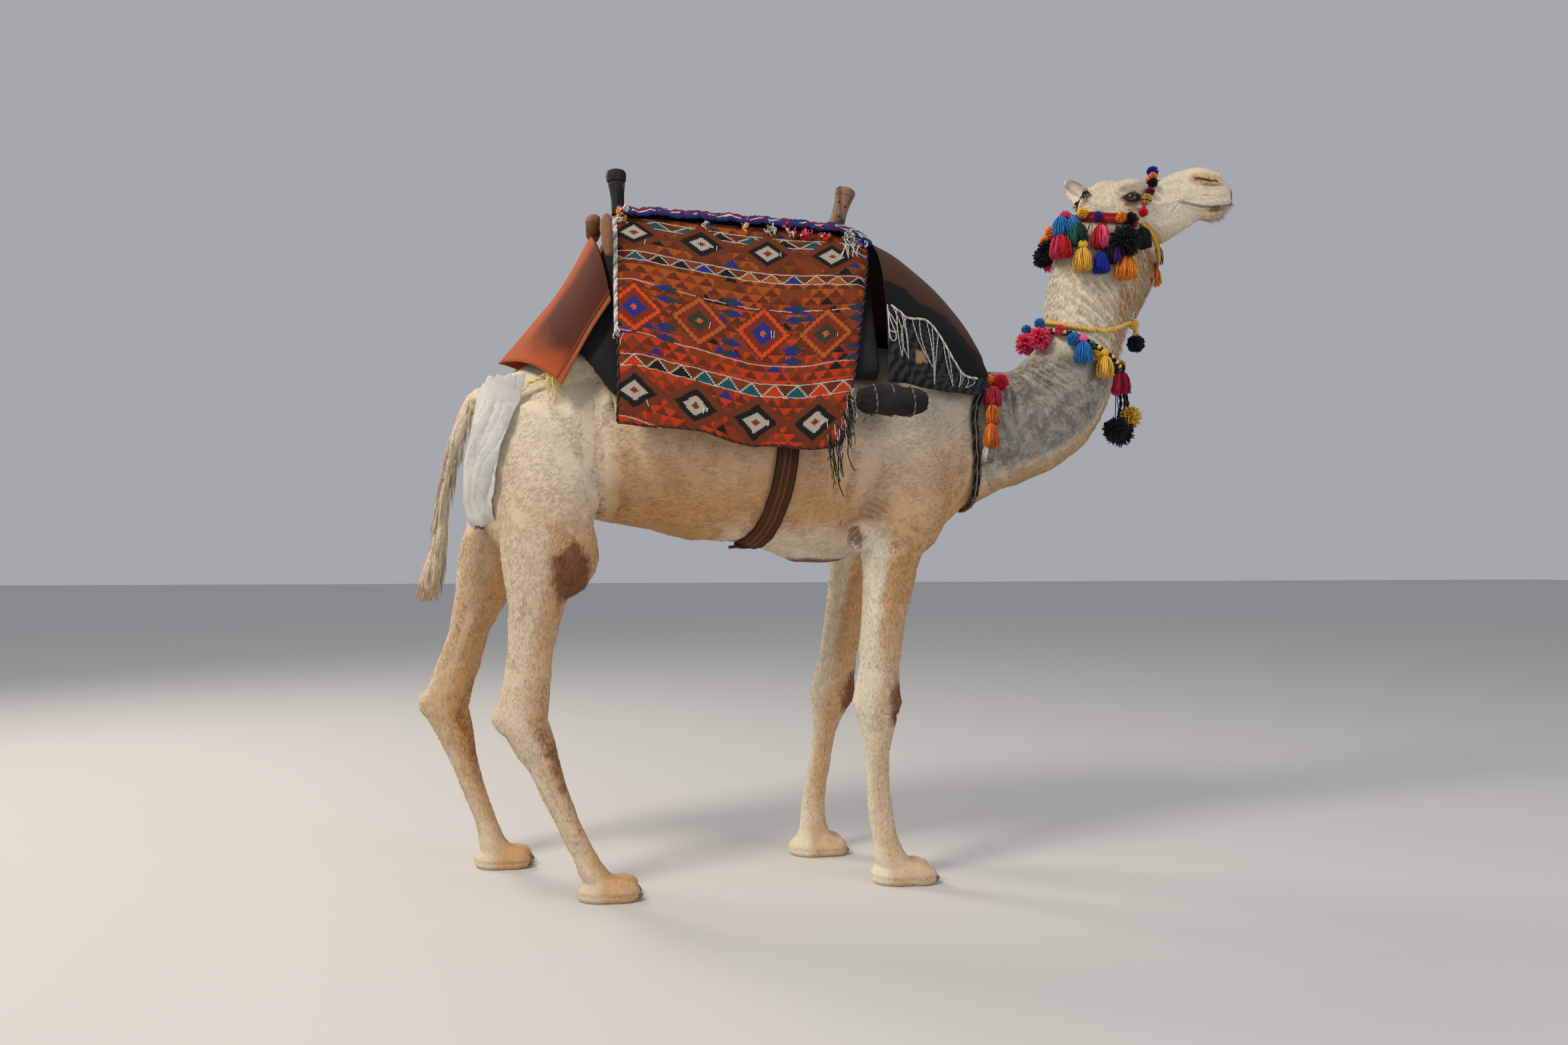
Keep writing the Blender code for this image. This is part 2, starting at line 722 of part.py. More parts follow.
def interpolate(table, x):
    """A straight-line reading of (x, value) rows."""
    for (x0, v0), (x1, v1) in zip(table, table[1:]):
        if x <= x1:
            t = max(0.0, (x - x0) / (x1 - x0))
            return v0 + (v1 - v0) * t
    return table[-1][1]


# The saddle: a thick pad round the hump, a kilim over it, and what hangs before and behind

SEAT_LINE = [(-0.66, 1.79), (-0.60, 1.90), (-0.56, 2.035), (-0.45, 2.040), (-0.25, 2.035), (0.10, 2.022), (0.20, 2.012), (0.26, 1.975)]
KILIM_HEM = [(-0.54, 1.362), (-0.42, 1.360), (-0.30, 1.342), (-0.15, 1.306), (0.00, 1.300), (0.25, 1.330)]
KILIM_REAR = -0.538
KILIM_FRONT = 0.252
KILIM_TAPER = 0.142
KILIM_THICK = 0.008
SEAT_HALF = 0.100
HEM_HALF = 0.375
SEAT_SHARE = 0.14
PAD_REAR, PAD_FRONT = -0.655, 0.252
PAD_HEM = [(-0.655, 1.585), (-0.62, 1.535), (-0.58, 1.485), (-0.54, 1.455), (0.08, 1.45), (0.13, 1.53), (0.25, 1.53)]
PAD_STATIONS, PAD_HALF = 9, 8
PAD_CLEARANCE = 0.012


def saddle_side(q, top, hem, skin, x, lift, inset=0.0):
    """A place on the saddle's surface at x: q runs from -1, the right hem, over the seat to 1, the left hem."""
    side = -1 if q < 0 else 1
    q = abs(q)
    if q < SEAT_SHARE:
        y, z = SEAT_HALF * q / SEAT_SHARE, top - 0.012 * (q / SEAT_SHARE) ** 2
    else:
        t = (q - SEAT_SHARE) / (1 - SEAT_SHARE)
        y = SEAT_HALF + (HEM_HALF - SEAT_HALF) * t**0.85
        z = top - 0.012 + (hem - top + 0.012) * t
    centre = Vector((x, 0, 1.30))
    point = skin.outward(Vector((x, side * y, z)), centre, lift)
    return point - (point - centre).normalized() * inset


def kilim_place(skin):
    def place(u, v):
        q = 2 * v - 1
        drop = max(0.0, (abs(q) - SEAT_SHARE) / (1 - SEAT_SHARE))
        front = KILIM_FRONT - KILIM_TAPER * drop**1.2
        x = KILIM_REAR + (front - KILIM_REAR) * u
        return saddle_side(q, interpolate(SEAT_LINE, x), interpolate(KILIM_HEM, x), skin, x, 0.034)

    return place


def saddle_pad(skin):
    """The stuffed pad between the hump and the kilim, closed below where it meets the flanks."""
    rings = []
    for i in range(PAD_STATIONS):
        x = PAD_REAR + (PAD_FRONT - PAD_REAR) * i / (PAD_STATIONS - 1)
        top, hem = interpolate(SEAT_LINE, x), interpolate(KILIM_HEM, x)
        reach = (interpolate(PAD_HEM, x) - top) / (hem - top)
        outer, inner = [], []
        for k in range(-PAD_HALF, PAD_HALF + 1):
            point = saddle_side(k / PAD_HALF * reach, top, hem, skin, x, 0.034, KILIM_THICK + PAD_CLEARANCE)
            centre = Vector((x, 0, 1.30))
            line = (point - centre).normalized()
            hit, _, _, _ = skin.tree.ray_cast(centre + line * 1.5, -line, 1.5)
            depth = (point - centre).length
            floor = depth - 0.045 if hit is None else (hit - centre).length + 0.036
            outer.append(point)
            inner.append(centre + line * min(floor, depth - 0.012))
        rings.append(outer + inner[::-1])
    bm = bmesh.new()
    loops = [[bm.verts.new(p) for p in ring] for ring in rings]
    count = len(loops[0])
    for low, high in zip(loops, loops[1:]):
        for i in range(count):
            j = (i + 1) % count
            bm.faces.new((low[i], low[j], high[j], high[i]))
    for loop in (loops[0], loops[-1]):
        for i in range(count // 2 - 1):
            bm.faces.new((loop[i], loop[i + 1], loop[count - 2 - i], loop[count - 1 - i]))
    return applied(new_object("saddle_pad", mesh_of(bm, "saddle_pad"), BLACK_WOOL))


def seat_blanket():
    """The striped strip along the top of the seat, turned down a little over both edges."""

    def place(u, v):
        x = -0.532 + (0.262 + 0.532) * u
        y = (2 * v - 1) * 0.124
        top = interpolate(SEAT_LINE, x) + 0.026
        return Vector((x, y, top - 0.030 * max(0.0, (abs(y) - 0.085) / 0.039) ** 1.5))

    return drape("saddle_seat_blanket", place, 7, 6, 0.010, BLANKET)


def horn(name, foot, head, radii, material):
    """A turned post: radii from its foot to its knob, as a profile spun about its own line."""
    foot, head = Vector(foot), Vector(head)
    length = (head - foot).length
    bm = bmesh.new()
    profile = [(radii[0], 0.0)] + [(r, length * k / (len(radii) - 1)) for k, r in enumerate(radii)][1:]
    points = [bm.verts.new((0, 0, length))] + [bm.verts.new((r, 0, h)) for r, h in reversed(profile)] + [bm.verts.new((0, 0, 0))]
    for a, b in zip(points, points[1:]):
        bm.edges.new((a, b))
    mesh = bpy.data.meshes.new(name)
    bm.to_mesh(mesh)
    bm.free()
    post = new_object(name, mesh, material)
    spin = post.modifiers.new("turned", "SCREW")
    spin.steps = spin.render_steps = 10
    spin.use_merge_vertices = True
    spin.merge_threshold = 0.0001
    post.matrix_world = Matrix.Translation(foot) @ (head - foot).to_track_quat("Z", "Y").to_matrix().to_4x4()
    made = applied(post)
    bm = bmesh.new()
    bm.from_mesh(made.data)
    bmesh.ops.recalc_face_normals(bm, faces=bm.faces)
    bm.to_mesh(made.data)
    bm.free()
    return made


SKIRT_RIDGE = [(-0.612, 0, 1.985), (-0.700, 0, 1.822), (-0.788, 0, 1.705), (-0.888, 0, 1.580)]
SKIRT_EDGE = [(-0.556, 0.250, 1.735), (-0.605, 0.262, 1.655), (-0.650, 0.268, 1.570), (-0.695, 0.272, 1.482)]


def along(points, t):
    """A place on the smooth run through the points, t from 0 to 1."""
    path = smooth_path(points, 6)
    at = min(t, 1.0) * (len(path) - 1)
    low = min(int(at), len(path) - 2)
    return path[low].lerp(path[low + 1], at - low)


def rear_skirt(skin):
    def place(u, v):
        w = 2 * v - 1
        side = -1 if w < 0 else 1
        ridge, edge = along(SKIRT_RIDGE, u), along(SKIRT_EDGE, u)
        point = ridge.lerp(edge, abs(w))
        point.z += 0.040 * math.sin(math.pi * abs(w)) ** 0.8 * (1 - 0.3 * u)
        point.y = side * (point.y + 0.012 * math.sin(math.pi * abs(w)))
        return skin.outward(point, Vector((point.x, 0, 1.30)), 0.012)

    return drape("saddle_skirt", place, 5, 8, 0.004, TAN_LEATHER)


FLAP_RIDGE = [(0.268, 0, 1.990), (0.355, 0, 1.947), (0.489, 0, 1.848), (0.585, 0, 1.745), (0.632, 0, 1.668), (0.645, 0, 1.618)]
FLAP_EDGE = [(0.268, 0.300, 1.515), (0.340, 0.285, 1.515), (0.430, 0.250, 1.500), (0.530, 0.205, 1.500), (0.600, 0.160, 1.510), (0.640, 0.125, 1.540)]


def front_blanket(skin):
    def place(u, v):
        w = 2 * v - 1
        side = -1 if w < 0 else 1
        ridge, edge = along(FLAP_RIDGE, u), along(FLAP_EDGE, u)
        turn = abs(w) * math.pi / 2
        point = Vector((
            ridge.x + (edge.x - ridge.x) * abs(w),
            side * edge.y * math.sin(turn) ** 0.9,
            edge.z + (ridge.z - edge.z) * math.cos(turn) ** 0.9,
        ))
        return skin.outward(point, Vector((point.x, 0, 1.25)), 0.016)

    return drape("saddle_front_blanket", place, 6, 10, 0.008, BLACK_WOOL)


def capsule(name, start, end, radius, material, sides=9):
    """A roll with rounded ends."""
    start, end = Vector(start), Vector(end)
    axis = end - start
    turn = axis.to_track_quat("X", "Z").to_matrix()
    rings = []
    for t, share in ((0.0, 0.50), (0.05, 0.92), (0.5, 1.03), (0.95, 0.92), (1.0, 0.50)):
        middle = start + axis * t
        rings.append([
            middle + turn @ Vector((0, math.cos(a) * radius * share, math.sin(a) * radius * share))
            for a in (2 * math.pi * k / sides for k in range(sides))
        ])
    return applied(loft(name, rings, material))


def build_saddle(skin, pieces):
    kilim = drape("saddle_kilim", kilim_place(skin), 6, 16, KILIM_THICK, KILIM)
    pad = clear_of(saddle_pad(skin), kilim)
    seat_blanket()
    horn("saddle_horn_rear", (-0.527, 0, 2.071), (-0.537, 0, 2.204), (0.022, 0.021, 0.022, 0.026, 0.031, 0.031, 0.026), DARK_WOOD)
    horn("saddle_horn_front", (0.168, 0, 2.052), (0.206, 0, 2.186), (0.028, 0.025, 0.024, 0.026, 0.030, 0.032, 0.030), WOOD)
    clear_of(pad, rear_skirt(skin))
    front_blanket(skin)
    capsule("saddle_roll_rear", (-0.603, -0.125, 2.014), (-0.603, 0.125, 2.014), 0.024, PALE_LEATHER)
    for word, side in SIDES.items():
        capsule("saddle_roll_" + word, (-0.566, side * 0.165, 2.000), (-0.566, side * 0.215, 1.885), 0.017, PALE_LEATHER)
        capsule("saddle_bundle_" + word, (0.163, side * 0.352, 1.452), (0.366, side * 0.330, 1.450), 0.046, BLACK_WOOL)


# Straps on the body

GIRTH_CENTRE_Z = 1.36
GIRTH_STEPS = 18


def girth(skin, pieces):
    path = []
    for k in range(GIRTH_STEPS + 1):
        turn = math.radians(-98 + 196 * k / GIRTH_STEPS)
        x = -0.128 + 0.090 * abs(math.sin(turn)) ** 1.4
        centre = Vector((x, 0, GIRTH_CENTRE_Z))
        line = Vector((0, math.sin(turn), -math.cos(turn)))
        path.append(skin.outward(centre + line * 0.05, centre, 0.0105))
    strap = applied(ribbon("girth_strap", path, skin, 0.068, 0.009, DARK_LEATHER))
    clear_of(strap, pieces["trunk"])
    capsule("girth_knot", (-0.172, -0.045, 0.994), (-0.108, 0.0, 0.988), 0.016, DARK_LEATHER)


BREAST_LINE = [
    (0.622, -0.112, 1.520),
    (0.590, -0.135, 1.450),
    (0.585, -0.148, 1.360),
    (0.596, -0.138, 1.290),
    (0.602, -0.120, 1.230),
    (0.602, -0.090, 1.180),
    (0.600, -0.045, 1.152),
    (0.598, 0, 1.146),
]


def breast_strap(skin, pieces):
    path = [skin.snug(p, 0.011) for p in smooth_path(mirrored(BREAST_LINE), 2)]
    strap = applied(ribbon("breast_strap", path, skin, 0.024, 0.010, BLACK_WOOL))
    clear_of(strap, pieces["trunk"], pieces["neck"])


BAG_REAR = [(1.07, -0.966), (1.15, -0.988), (1.27, -0.986), (1.37, -0.965), (1.45, -0.953), (1.53, -0.940)]
BAG_EDGE = [(1.07, -0.888), (1.12, -0.878), (1.17, -0.868), (1.26, -0.861), (1.38, -0.828), (1.45, -0.814), (1.53, -0.800)]


def rump_bag(pieces):
    """The white cloth slung round the buttocks, notched at the tail's root and passing in front of the tail."""
    flesh = [Skin(pieces[name]) for name in ("trunk", "leg_hind_left", "leg_hind_right")]

    def place(u, v):
        w = 2 * v - 1
        side = -1 if w < 0 else 1
        top = 1.405 + 0.115 * min(1.0, abs(w) / 0.45) ** 0.7
        z = top + (1.075 + 0.012 * abs(w) - top) * u
        rear, edge = interpolate(BAG_REAR, z), interpolate(BAG_EDGE, z)
        turn = abs(w) * math.pi / 2
        half = 0.185 if z > 1.2 else 0.165
        point = Vector((rear + (edge - rear) * (1 - math.cos(turn)), side * half * math.sin(turn) ** 0.7, z))
        for skin in flesh:
            point = skin.outward(point, Vector((-0.74, 0, z)), 0.010)
        return point

    bag = drape("rump_bag", place, 6, 10, 0.004, WHITE_CLOTH)
    return clear_of(bag, pieces["tail"], pieces["trunk"], pieces["leg_hind_left"], pieces["leg_hind_right"])


def crupper_cords(skin):
    for word, side in SIDES.items():
        path = [(-0.792, side * 0.178, 1.500), (-0.765, side * 0.182, 1.512), (-0.735, side * 0.190, 1.530), (-0.700, side * 0.196, 1.560)]
        tube("crupper_cord_" + word, [skin.above(p, 0.010) for p in smooth_path(path, 3)], 0.004, YELLOW_ROPE)


# The halter, in the head's frame


def on_head(point):
    return HEAD_PLACE @ Vector(point)


NOSEBAND_LINE = [
    (0.118, -0.075, -0.004),
    (0.126, -0.072, 0.036),
    (0.144, -0.059, 0.068),
    (0.158, -0.045, 0.096),
    (0.168, -0.022, 0.124),
    (0.170, 0, 0.132),
]
NOSEBAND_POMPOMS = [
    (0.174, 0.000, 0.168, 0.019),
    (0.170, -0.020, 0.142, 0.015),
    (0.160, -0.048, 0.108, 0.017),
    (0.148, -0.060, 0.078, 0.015),
    (0.130, -0.074, 0.042, 0.016),
    (0.120, -0.080, 0.002, 0.015),
]
HEADBAND_LINE = [
    (0.104, -0.076, -0.030),
    (0.070, -0.080, -0.021),
    (0.006, -0.076, -0.014),
    (-0.035, -0.066, -0.006),
    (-0.075, -0.055, 0.002),
    (-0.112, -0.030, 0.008),
    (-0.122, 0, 0.010),
]
THROAT_LINE = [
    (0.122, -0.078, -0.034),
    (0.146, -0.068, -0.050),
    (0.172, -0.052, -0.090),
    (0.186, -0.030, -0.140),
    (0.188, 0, -0.158),
]
# Tassels of the garland: (x, y, z) in the head's frame, radius, and how much longer than wide.
GARLAND = [
    (-0.125, -0.050, 0.006, 0.020, 1.0),
    (-0.067, -0.060, 0.008, 0.018, 1.0),
    (-0.021, -0.076, -0.006, 0.016, 1.0),
    (0.050, -0.088, -0.018, 0.019, 1.0),
    (0.074, -0.088, -0.022, 0.022, 1.0),
    (-0.172, -0.060, -0.050, 0.022, 1.0),
    (-0.140, -0.075, -0.034, 0.034, 1.0),
    (-0.100, -0.080, -0.030, 0.030, 1.0),
    (-0.088, -0.086, -0.070, 0.036, 1.0),
    (-0.140, -0.075, -0.106, 0.038, 1.0),
    (-0.184, -0.050, -0.106, 0.036, 1.0),
    (-0.079, -0.096, -0.154, 0.034, 1.15),
    (-0.021, -0.096, -0.080, 0.032, 1.25),
    (-0.019, -0.100, -0.165, 0.030, 1.2),
    (0.050, -0.096, -0.092, 0.054, 1.0),
    (0.062, -0.096, -0.178, 0.035, 1.2),
    (0.020, -0.092, -0.130, 0.030, 1.2),
    (0.122, -0.078, -0.078, 0.030, 1.2),
]
GARLAND_FAR = [(0.176, 0.070, -0.090, 0.034, 1.1), (0.170, 0.060, -0.165, 0.030, 1.2)]


def tassels(name, places, skin, material=MIXED_WOOL, voxel=0.009, triangles=200):
    """A bunch of tassels on short threads between neighbours, grown into one piece and thinned."""
    made, centres = [], []
    for k, (x, y, z, radius, longer) in enumerate(places):
        centre = skin.above(Vector((x, y, z)), radius * 0.85 + 0.006)
        made.append(blob(f"{name}_{k}", centre, (radius, radius, radius * longer), material=material, level=2))
        if centres:
            nearest = min(centres, key=lambda other: (other - centre).length)
            made.append(tube(f"{name}_thread_{k}", [centre, nearest], voxel, material))
        centres.append(centre)
    bunch = largest(fused(made, name, material, voxel, 1, None))
    thin = bunch.modifiers.new("facets", "DECIMATE")
    thin.ratio = min(1.0, triangles / len(bunch.data.polygons))
    return applied(bunch)


def build_halter(skin, pieces):
    nose = smooth_path([on_head(p) for p in mirrored(NOSEBAND_LINE)], 3)
    band = tube("noseband_tube", [skin.snug(p, 0.0085) for p in nose], 0.006, RED_STRAP)
    balls = [band]
    for word, side in SIDES.items():
        for k, (x, y, z, radius) in enumerate(NOSEBAND_POMPOMS[0 if side < 0 else 1 :]):
            centre = skin.above(on_head((x, -side * y, z)), radius + 0.004)
            balls.append(blob(f"nose_ball_{word}_{k}", centre, (radius,) * 3, material=MIXED_WOOL, level=2))
    noseband = largest(fused(balls, "halter_noseband", MIXED_WOOL, 0.005, 1, 0.05))
    noseband = clear_of(noseband, pieces["head"])
    cheek = smooth_path([on_head(p) for p in mirrored(HEADBAND_LINE)], 2)
    headband = ribbon("halter_headband", [skin.snug(p, 0.0075) for p in cheek], skin, 0.036, 0.005, RED_STRAP)
    headband = clear_of(applied(headband), noseband, pieces["head"], pieces["neck"])
    throat = smooth_path([on_head(p) for p in mirrored(THROAT_LINE)], 2)
    strap = ribbon("halter_throat_strap", [skin.above(p, 0.012) for p in throat], skin, 0.018, 0.005, OCHRE_STRAP)
    strap = clear_of(applied(strap), noseband, headband, pieces["head"])
    worn = {}
    for word, side in SIDES.items():
        places = [(*on_head((x, -side * y, z)), r, k) for x, y, z, r, k in GARLAND]
        if side > 0:
            places += [(*on_head((x, y, z)), r, k) for x, y, z, r, k in GARLAND_FAR]
        bunch = tassels("halter_garland_" + word, places, skin)
        worn[word] = clear_of(bunch, headband, strap, noseband, pieces["head"], pieces["neck"])
    clear_of(worn["left"], worn["right"])


# The collars on the neck and the tassels at the withers

ROPE_LINE = [
    (1.172, 0, 1.785),
    (1.150, -0.050, 1.768),
    (1.080, -0.085, 1.738),
    (1.010, -0.098, 1.731),
    (0.950, -0.088, 1.740),
    (0.900, -0.055, 1.757),
    (0.880, 0, 1.768),
]
BRAID_LINE = [
    (1.135, 0, 1.610),
    (1.110, -0.050, 1.625),
    (1.060, -0.088, 1.652),
    (1.000, -0.102, 1.684),
    (0.945, -0.094, 1.712),
    (0.890, -0.060, 1.730),
    (0.864, 0, 1.728),
]
COLLAR_SIDE = [
    (0.850, -0.050, 1.708, 0.036, 1.0),
    (0.905, -0.080, 1.732, 0.018, 1.0),
    (0.937, -0.110, 1.698, 0.024, 1.0),
    (0.964, -0.118, 1.655, 0.030, 1.15),
    (0.994, -0.112, 1.682, 0.016, 1.0),
    (1.010, -0.115, 1.648, 0.020, 1.0),
    (1.037, -0.108, 1.612, 0.030, 1.15),
]
COLLAR_FRONT = [
    (1.148, -0.010, 1.635, 0.020, 1.0),
    (1.142, -0.020, 1.575, 0.032, 1.2),
    (1.158, 0.000, 1.525, 0.020, 1.4),
    (1.180, -0.015, 1.462, 0.037, 1.0),
    (1.146, -0.010, 1.418, 0.050, 0.9),
    (1.120, -0.035, 1.416, 0.042, 0.9),
]
ROPE_TASSEL = [(1.202, -0.008, 1.772, 0.014, 1.0), (1.205, -0.010, 1.745, 0.018, 1.0), (1.205, -0.012, 1.712, 0.030, 1.0)]
WITHERS = [
    (0.650, -0.105, 1.552, 0.020, 1.0),
    (0.682, -0.110, 1.540, 0.028, 1.0),
    (0.652, -0.130, 1.495, 0.028, 1.2),
    (0.640, -0.150, 1.440, 0.022, 1.4),
    (0.630, -0.158, 1.380, 0.026, 1.6),
    (0.625, -0.158, 1.325, 0.020, 1.4),
]


def ring_of(points):
    """The half ring's points followed by their mirror, without repeating the two on the middle plane."""
    return list(points) + [(x, -y, z) for x, y, z in reversed(points[1:-1])]


def closed_path(points, steps=2):
    """A smooth closed run through the points."""
    count = len(points)
    path = []
    for k in range(count):
        four = [Vector(points[(k + d) % count]) for d in (-1, 0, 1, 2)]
        for step in range(steps):
            t = step / steps
            p, q, r, s = four
            path.append(0.5 * (2 * q + (r - p) * t + (2 * p - 5 * q + 4 * r - s) * t * t + (3 * q - p - 3 * r + s) * t**3))
    return path


def build_collars(skin, pieces):
    neck = pieces["neck"]
    rope = tube("collar_rope", [skin.snug(p, 0.011) for p in closed_path(ring_of(ROPE_LINE))], 0.008, YELLOW_ROPE, True)
    rope = clear_of(rope, neck)
    braid = tube("collar_braid", [skin.snug(p, 0.015) for p in closed_path(ring_of(BRAID_LINE))], 0.011, BLACK_WOOL, True, 1)
    braid = clear_of(braid, neck)
    knot = clear_of(tassels("collar_rope_tassel", ROPE_TASSEL, skin, voxel=0.007, triangles=100), rope, neck)
    front = clear_of(tassels("collar_front_tassel", COLLAR_FRONT, skin, triangles=180), braid, rope, knot, neck)
    sides = []
    for word, side in SIDES.items():
        places = [(x, -side * y, z, r, k) for x, y, z, r, k in COLLAR_SIDE]
        sides.append(clear_of(tassels("collar_tassels_" + word, places, skin, triangles=140), braid, rope, front, neck, *sides))
    tie = [(1.202, -0.012, 1.795), (1.220, -0.014, 1.830), (1.240, -0.016, 1.868), (1.258, -0.020, 1.905), (1.268, -0.024, 1.930)]
    clear_of(tube("halter_tie", [skin.above(p, 0.007) for p in smooth_path(tie, 2)], 0.004, GREY_ROPE), knot, neck, pieces["head"])
    for word, side in SIDES.items():
        places = [(x, -side * y, z, r, k) for x, y, z, r, k in WITHERS]
        bunch = tassels("withers_tassel_" + word, places, skin, triangles=110)
        clear_of(bunch, PARTS.objects["saddle_front_blanket"], PARTS.objects["breast_strap"], pieces["trunk"], neck)


def centre_on_floor():
    """Moves every part so that the bounding box stands centred on the origin."""
    bpy.context.view_layer.update()
    corners = [part.matrix_world @ vertex.co for part in PARTS.objects for vertex in part.data.vertices]
    low = Vector(min(c[k] for c in corners) for k in range(3))
    high = Vector(max(c[k] for c in corners) for k in range(3))
    move = Vector((-(low.x + high.x) / 2, -(low.y + high.y) / 2, -low.z))
    for part in PARTS.objects:
        part.data.transform(Matrix.Translation(move))
    print("moved by", tuple(round(v, 6) for v in move))


def build():
    pieces, skin = parted_body()
    add_eyes(pieces)
    add_ears(pieces)
    add_nails(pieces)
    build_saddle(skin, pieces)
    girth(skin, pieces)
    breast_strap(skin, pieces)
    rump_bag(pieces)
    crupper_cords(skin)
    build_halter(skin, pieces)
    build_collars(skin, pieces)
    centre_on_floor()


build()
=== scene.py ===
"""The looks of a standing dromedary camel in its riding saddle, halter and collars.

Metres. Shapes are laid out in the body's own frame, with its middle plane at y = 0, its right side at
-Y and the ground at z = 0, and moved by ROW_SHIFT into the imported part's frame when they are finished.
"""

import math

import bmesh
import bpy
import numpy as np
from mathutils import Matrix, Vector
from mathutils.bvhtree import BVHTree


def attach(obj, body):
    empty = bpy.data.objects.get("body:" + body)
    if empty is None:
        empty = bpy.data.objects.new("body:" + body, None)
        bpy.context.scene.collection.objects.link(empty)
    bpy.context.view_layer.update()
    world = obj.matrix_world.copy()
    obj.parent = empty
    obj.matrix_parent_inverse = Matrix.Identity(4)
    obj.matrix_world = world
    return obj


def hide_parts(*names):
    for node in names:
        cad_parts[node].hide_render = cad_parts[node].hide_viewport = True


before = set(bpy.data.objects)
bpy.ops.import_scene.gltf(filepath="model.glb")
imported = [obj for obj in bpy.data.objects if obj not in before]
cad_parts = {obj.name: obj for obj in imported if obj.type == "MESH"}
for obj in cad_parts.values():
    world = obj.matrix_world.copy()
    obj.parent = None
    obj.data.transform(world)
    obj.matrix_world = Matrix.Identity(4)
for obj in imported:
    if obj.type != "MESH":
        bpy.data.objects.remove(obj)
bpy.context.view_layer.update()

ROW_SHIFT = Vector((-0.177176, -0.001261, -0.000022))
SIDES = {"right": -1, "left": 1}
RNG = np.random.default_rng(20)


# Camera, light and floor


def aim(thing, place, target):
    thing.location = place
    thing.rotation_euler = (Vector(target) - Vector(place)).to_track_quat("-Z", "Y").to_euler()


CAMERA_PLACE = Vector((-0.6425, -3.6438, 0.99))
CAMERA_HEADING, CAMERA_PITCH = math.radians(10.0), math.radians(1.68)
LENS_MM, SENSOR_MM = 26.617, 36.0
FLOOR_HALF = 40.0


def add_camera():
    data = bpy.data.cameras.new("camera")
    data.lens = LENS_MM
    data.sensor_width = SENSOR_MM
    data.clip_end = 200.0
    camera = bpy.data.objects.new("camera", data)
    bpy.context.scene.collection.objects.link(camera)
    place = CAMERA_PLACE + ROW_SHIFT
    ahead = Vector((math.sin(CAMERA_HEADING), math.cos(CAMERA_HEADING), math.tan(CAMERA_PITCH)))
    aim(camera, place, place + ahead)
    bpy.context.scene.camera = camera


def add_area(name, place, target, size, power, colour):
    data = bpy.data.lights.new(name, "AREA")
    data.shape = "DISK"
    data.size = size
    data.energy = power
    data.color = colour
    lamp = bpy.data.objects.new(name, data)
    bpy.context.scene.collection.objects.link(lamp)
    aim(lamp, place, target)


def add_studio():
    world = bpy.data.worlds.new("studio_air")
    world.use_nodes = True
    air = world.node_tree.nodes["Background"].inputs
    air["Color"].default_value = (0.90, 0.93, 1.0, 1.0)
    air["Strength"].default_value = 0.42
    bpy.context.scene.world = world
    bpy.context.scene.view_settings.view_transform = "Standard"
    add_area("key_light", (-4.6, -3.2, 6.8), (0.1, 0, 1.3), 2.2, 380, (1.0, 0.91, 0.76))
    add_area("back_light", (-4.6, 3.4, 4.6), (0, 0, 1.4), 2.0, 170, (1.0, 0.90, 0.74))
    add_area("fill_light", (3.6, -4.6, 2.6), (0.2, 0, 1.1), 3.6, 72, (0.90, 0.94, 1.0))
    floor_mesh = bpy.data.meshes.new("studio_floor")
    bm = bmesh.new()
    bmesh.ops.create_grid(bm, x_segments=1, y_segments=1, size=FLOOR_HALF)
    bm.to_mesh(floor_mesh)
    bm.free()
    floor = bpy.data.objects.new("studio_floor", floor_mesh)
    bpy.context.scene.collection.objects.link(floor)
    plain = bpy.data.materials.new("studio_paper")
    plain.use_nodes = True
    paper = plain.node_tree.nodes["Principled BSDF"].inputs
    paper["Base Color"].default_value = (0.62, 0.61, 0.595, 1.0)
    paper["Roughness"].default_value = 0.9
    floor_mesh.materials.append(plain)


add_camera()
add_studio()


# Mesh helpers


def mesh_object(name, bm, recalc=True):
    """The bmesh as a new object; the bmesh is freed."""
    if recalc:
        bmesh.ops.recalc_face_normals(bm, faces=bm.faces)
    mesh = bpy.data.meshes.new(name)
    bm.to_mesh(mesh)
    bm.free()
    made = bpy.data.objects.new(name, mesh)
    bpy.context.scene.collection.objects.link(made)
    return made


def applied(source):
    """The object with its modifiers and placing applied to its mesh."""
    bpy.context.view_layer.update()
    graph = bpy.context.evaluated_depsgraph_get()
    shown = source.evaluated_get(graph)
    mesh = bpy.data.meshes.new_from_object(shown, preserve_all_data_layers=True, depsgraph=graph)
    mesh.transform(source.matrix_world)
    source.modifiers.clear()
    if source.type == "MESH":
        source.data = mesh
        source.matrix_world = Matrix.Identity(4)
        return source
    made = bpy.data.objects.new(source.name, mesh)
    bpy.context.scene.collection.objects.link(made)
    bpy.data.objects.remove(source, do_unlink=True)
    return made


def joined(pieces, name):
    bm = bmesh.new()
    for piece in pieces:
        applied(piece)
        bm.from_mesh(piece.data)
        bpy.data.objects.remove(piece, do_unlink=True)
    return mesh_object(name, bm, recalc=False)


def triangle_object(name, points, faces):
    """A new object from arrays of points and triangles."""
    mesh = bpy.data.meshes.new(name)
    mesh.vertices.add(len(points))
    mesh.vertices.foreach_set("co", points.ravel())
    mesh.loops.add(faces.size)
    mesh.loops.foreach_set("vertex_index", faces.ravel().astype(np.int32))
    mesh.polygons.add(len(faces))
    mesh.polygons.foreach_set("loop_start", np.arange(0, faces.size, 3, dtype=np.int32))
    mesh.update(calc_edges=True)
    made = bpy.data.objects.new(name, mesh)
    bpy.context.scene.collection.objects.link(made)
    return made


def modifier(piece, kind, **settings):
    made = piece.modifiers.new(kind.lower(), kind)
    for key, value in settings.items():
        setattr(made, key, value)


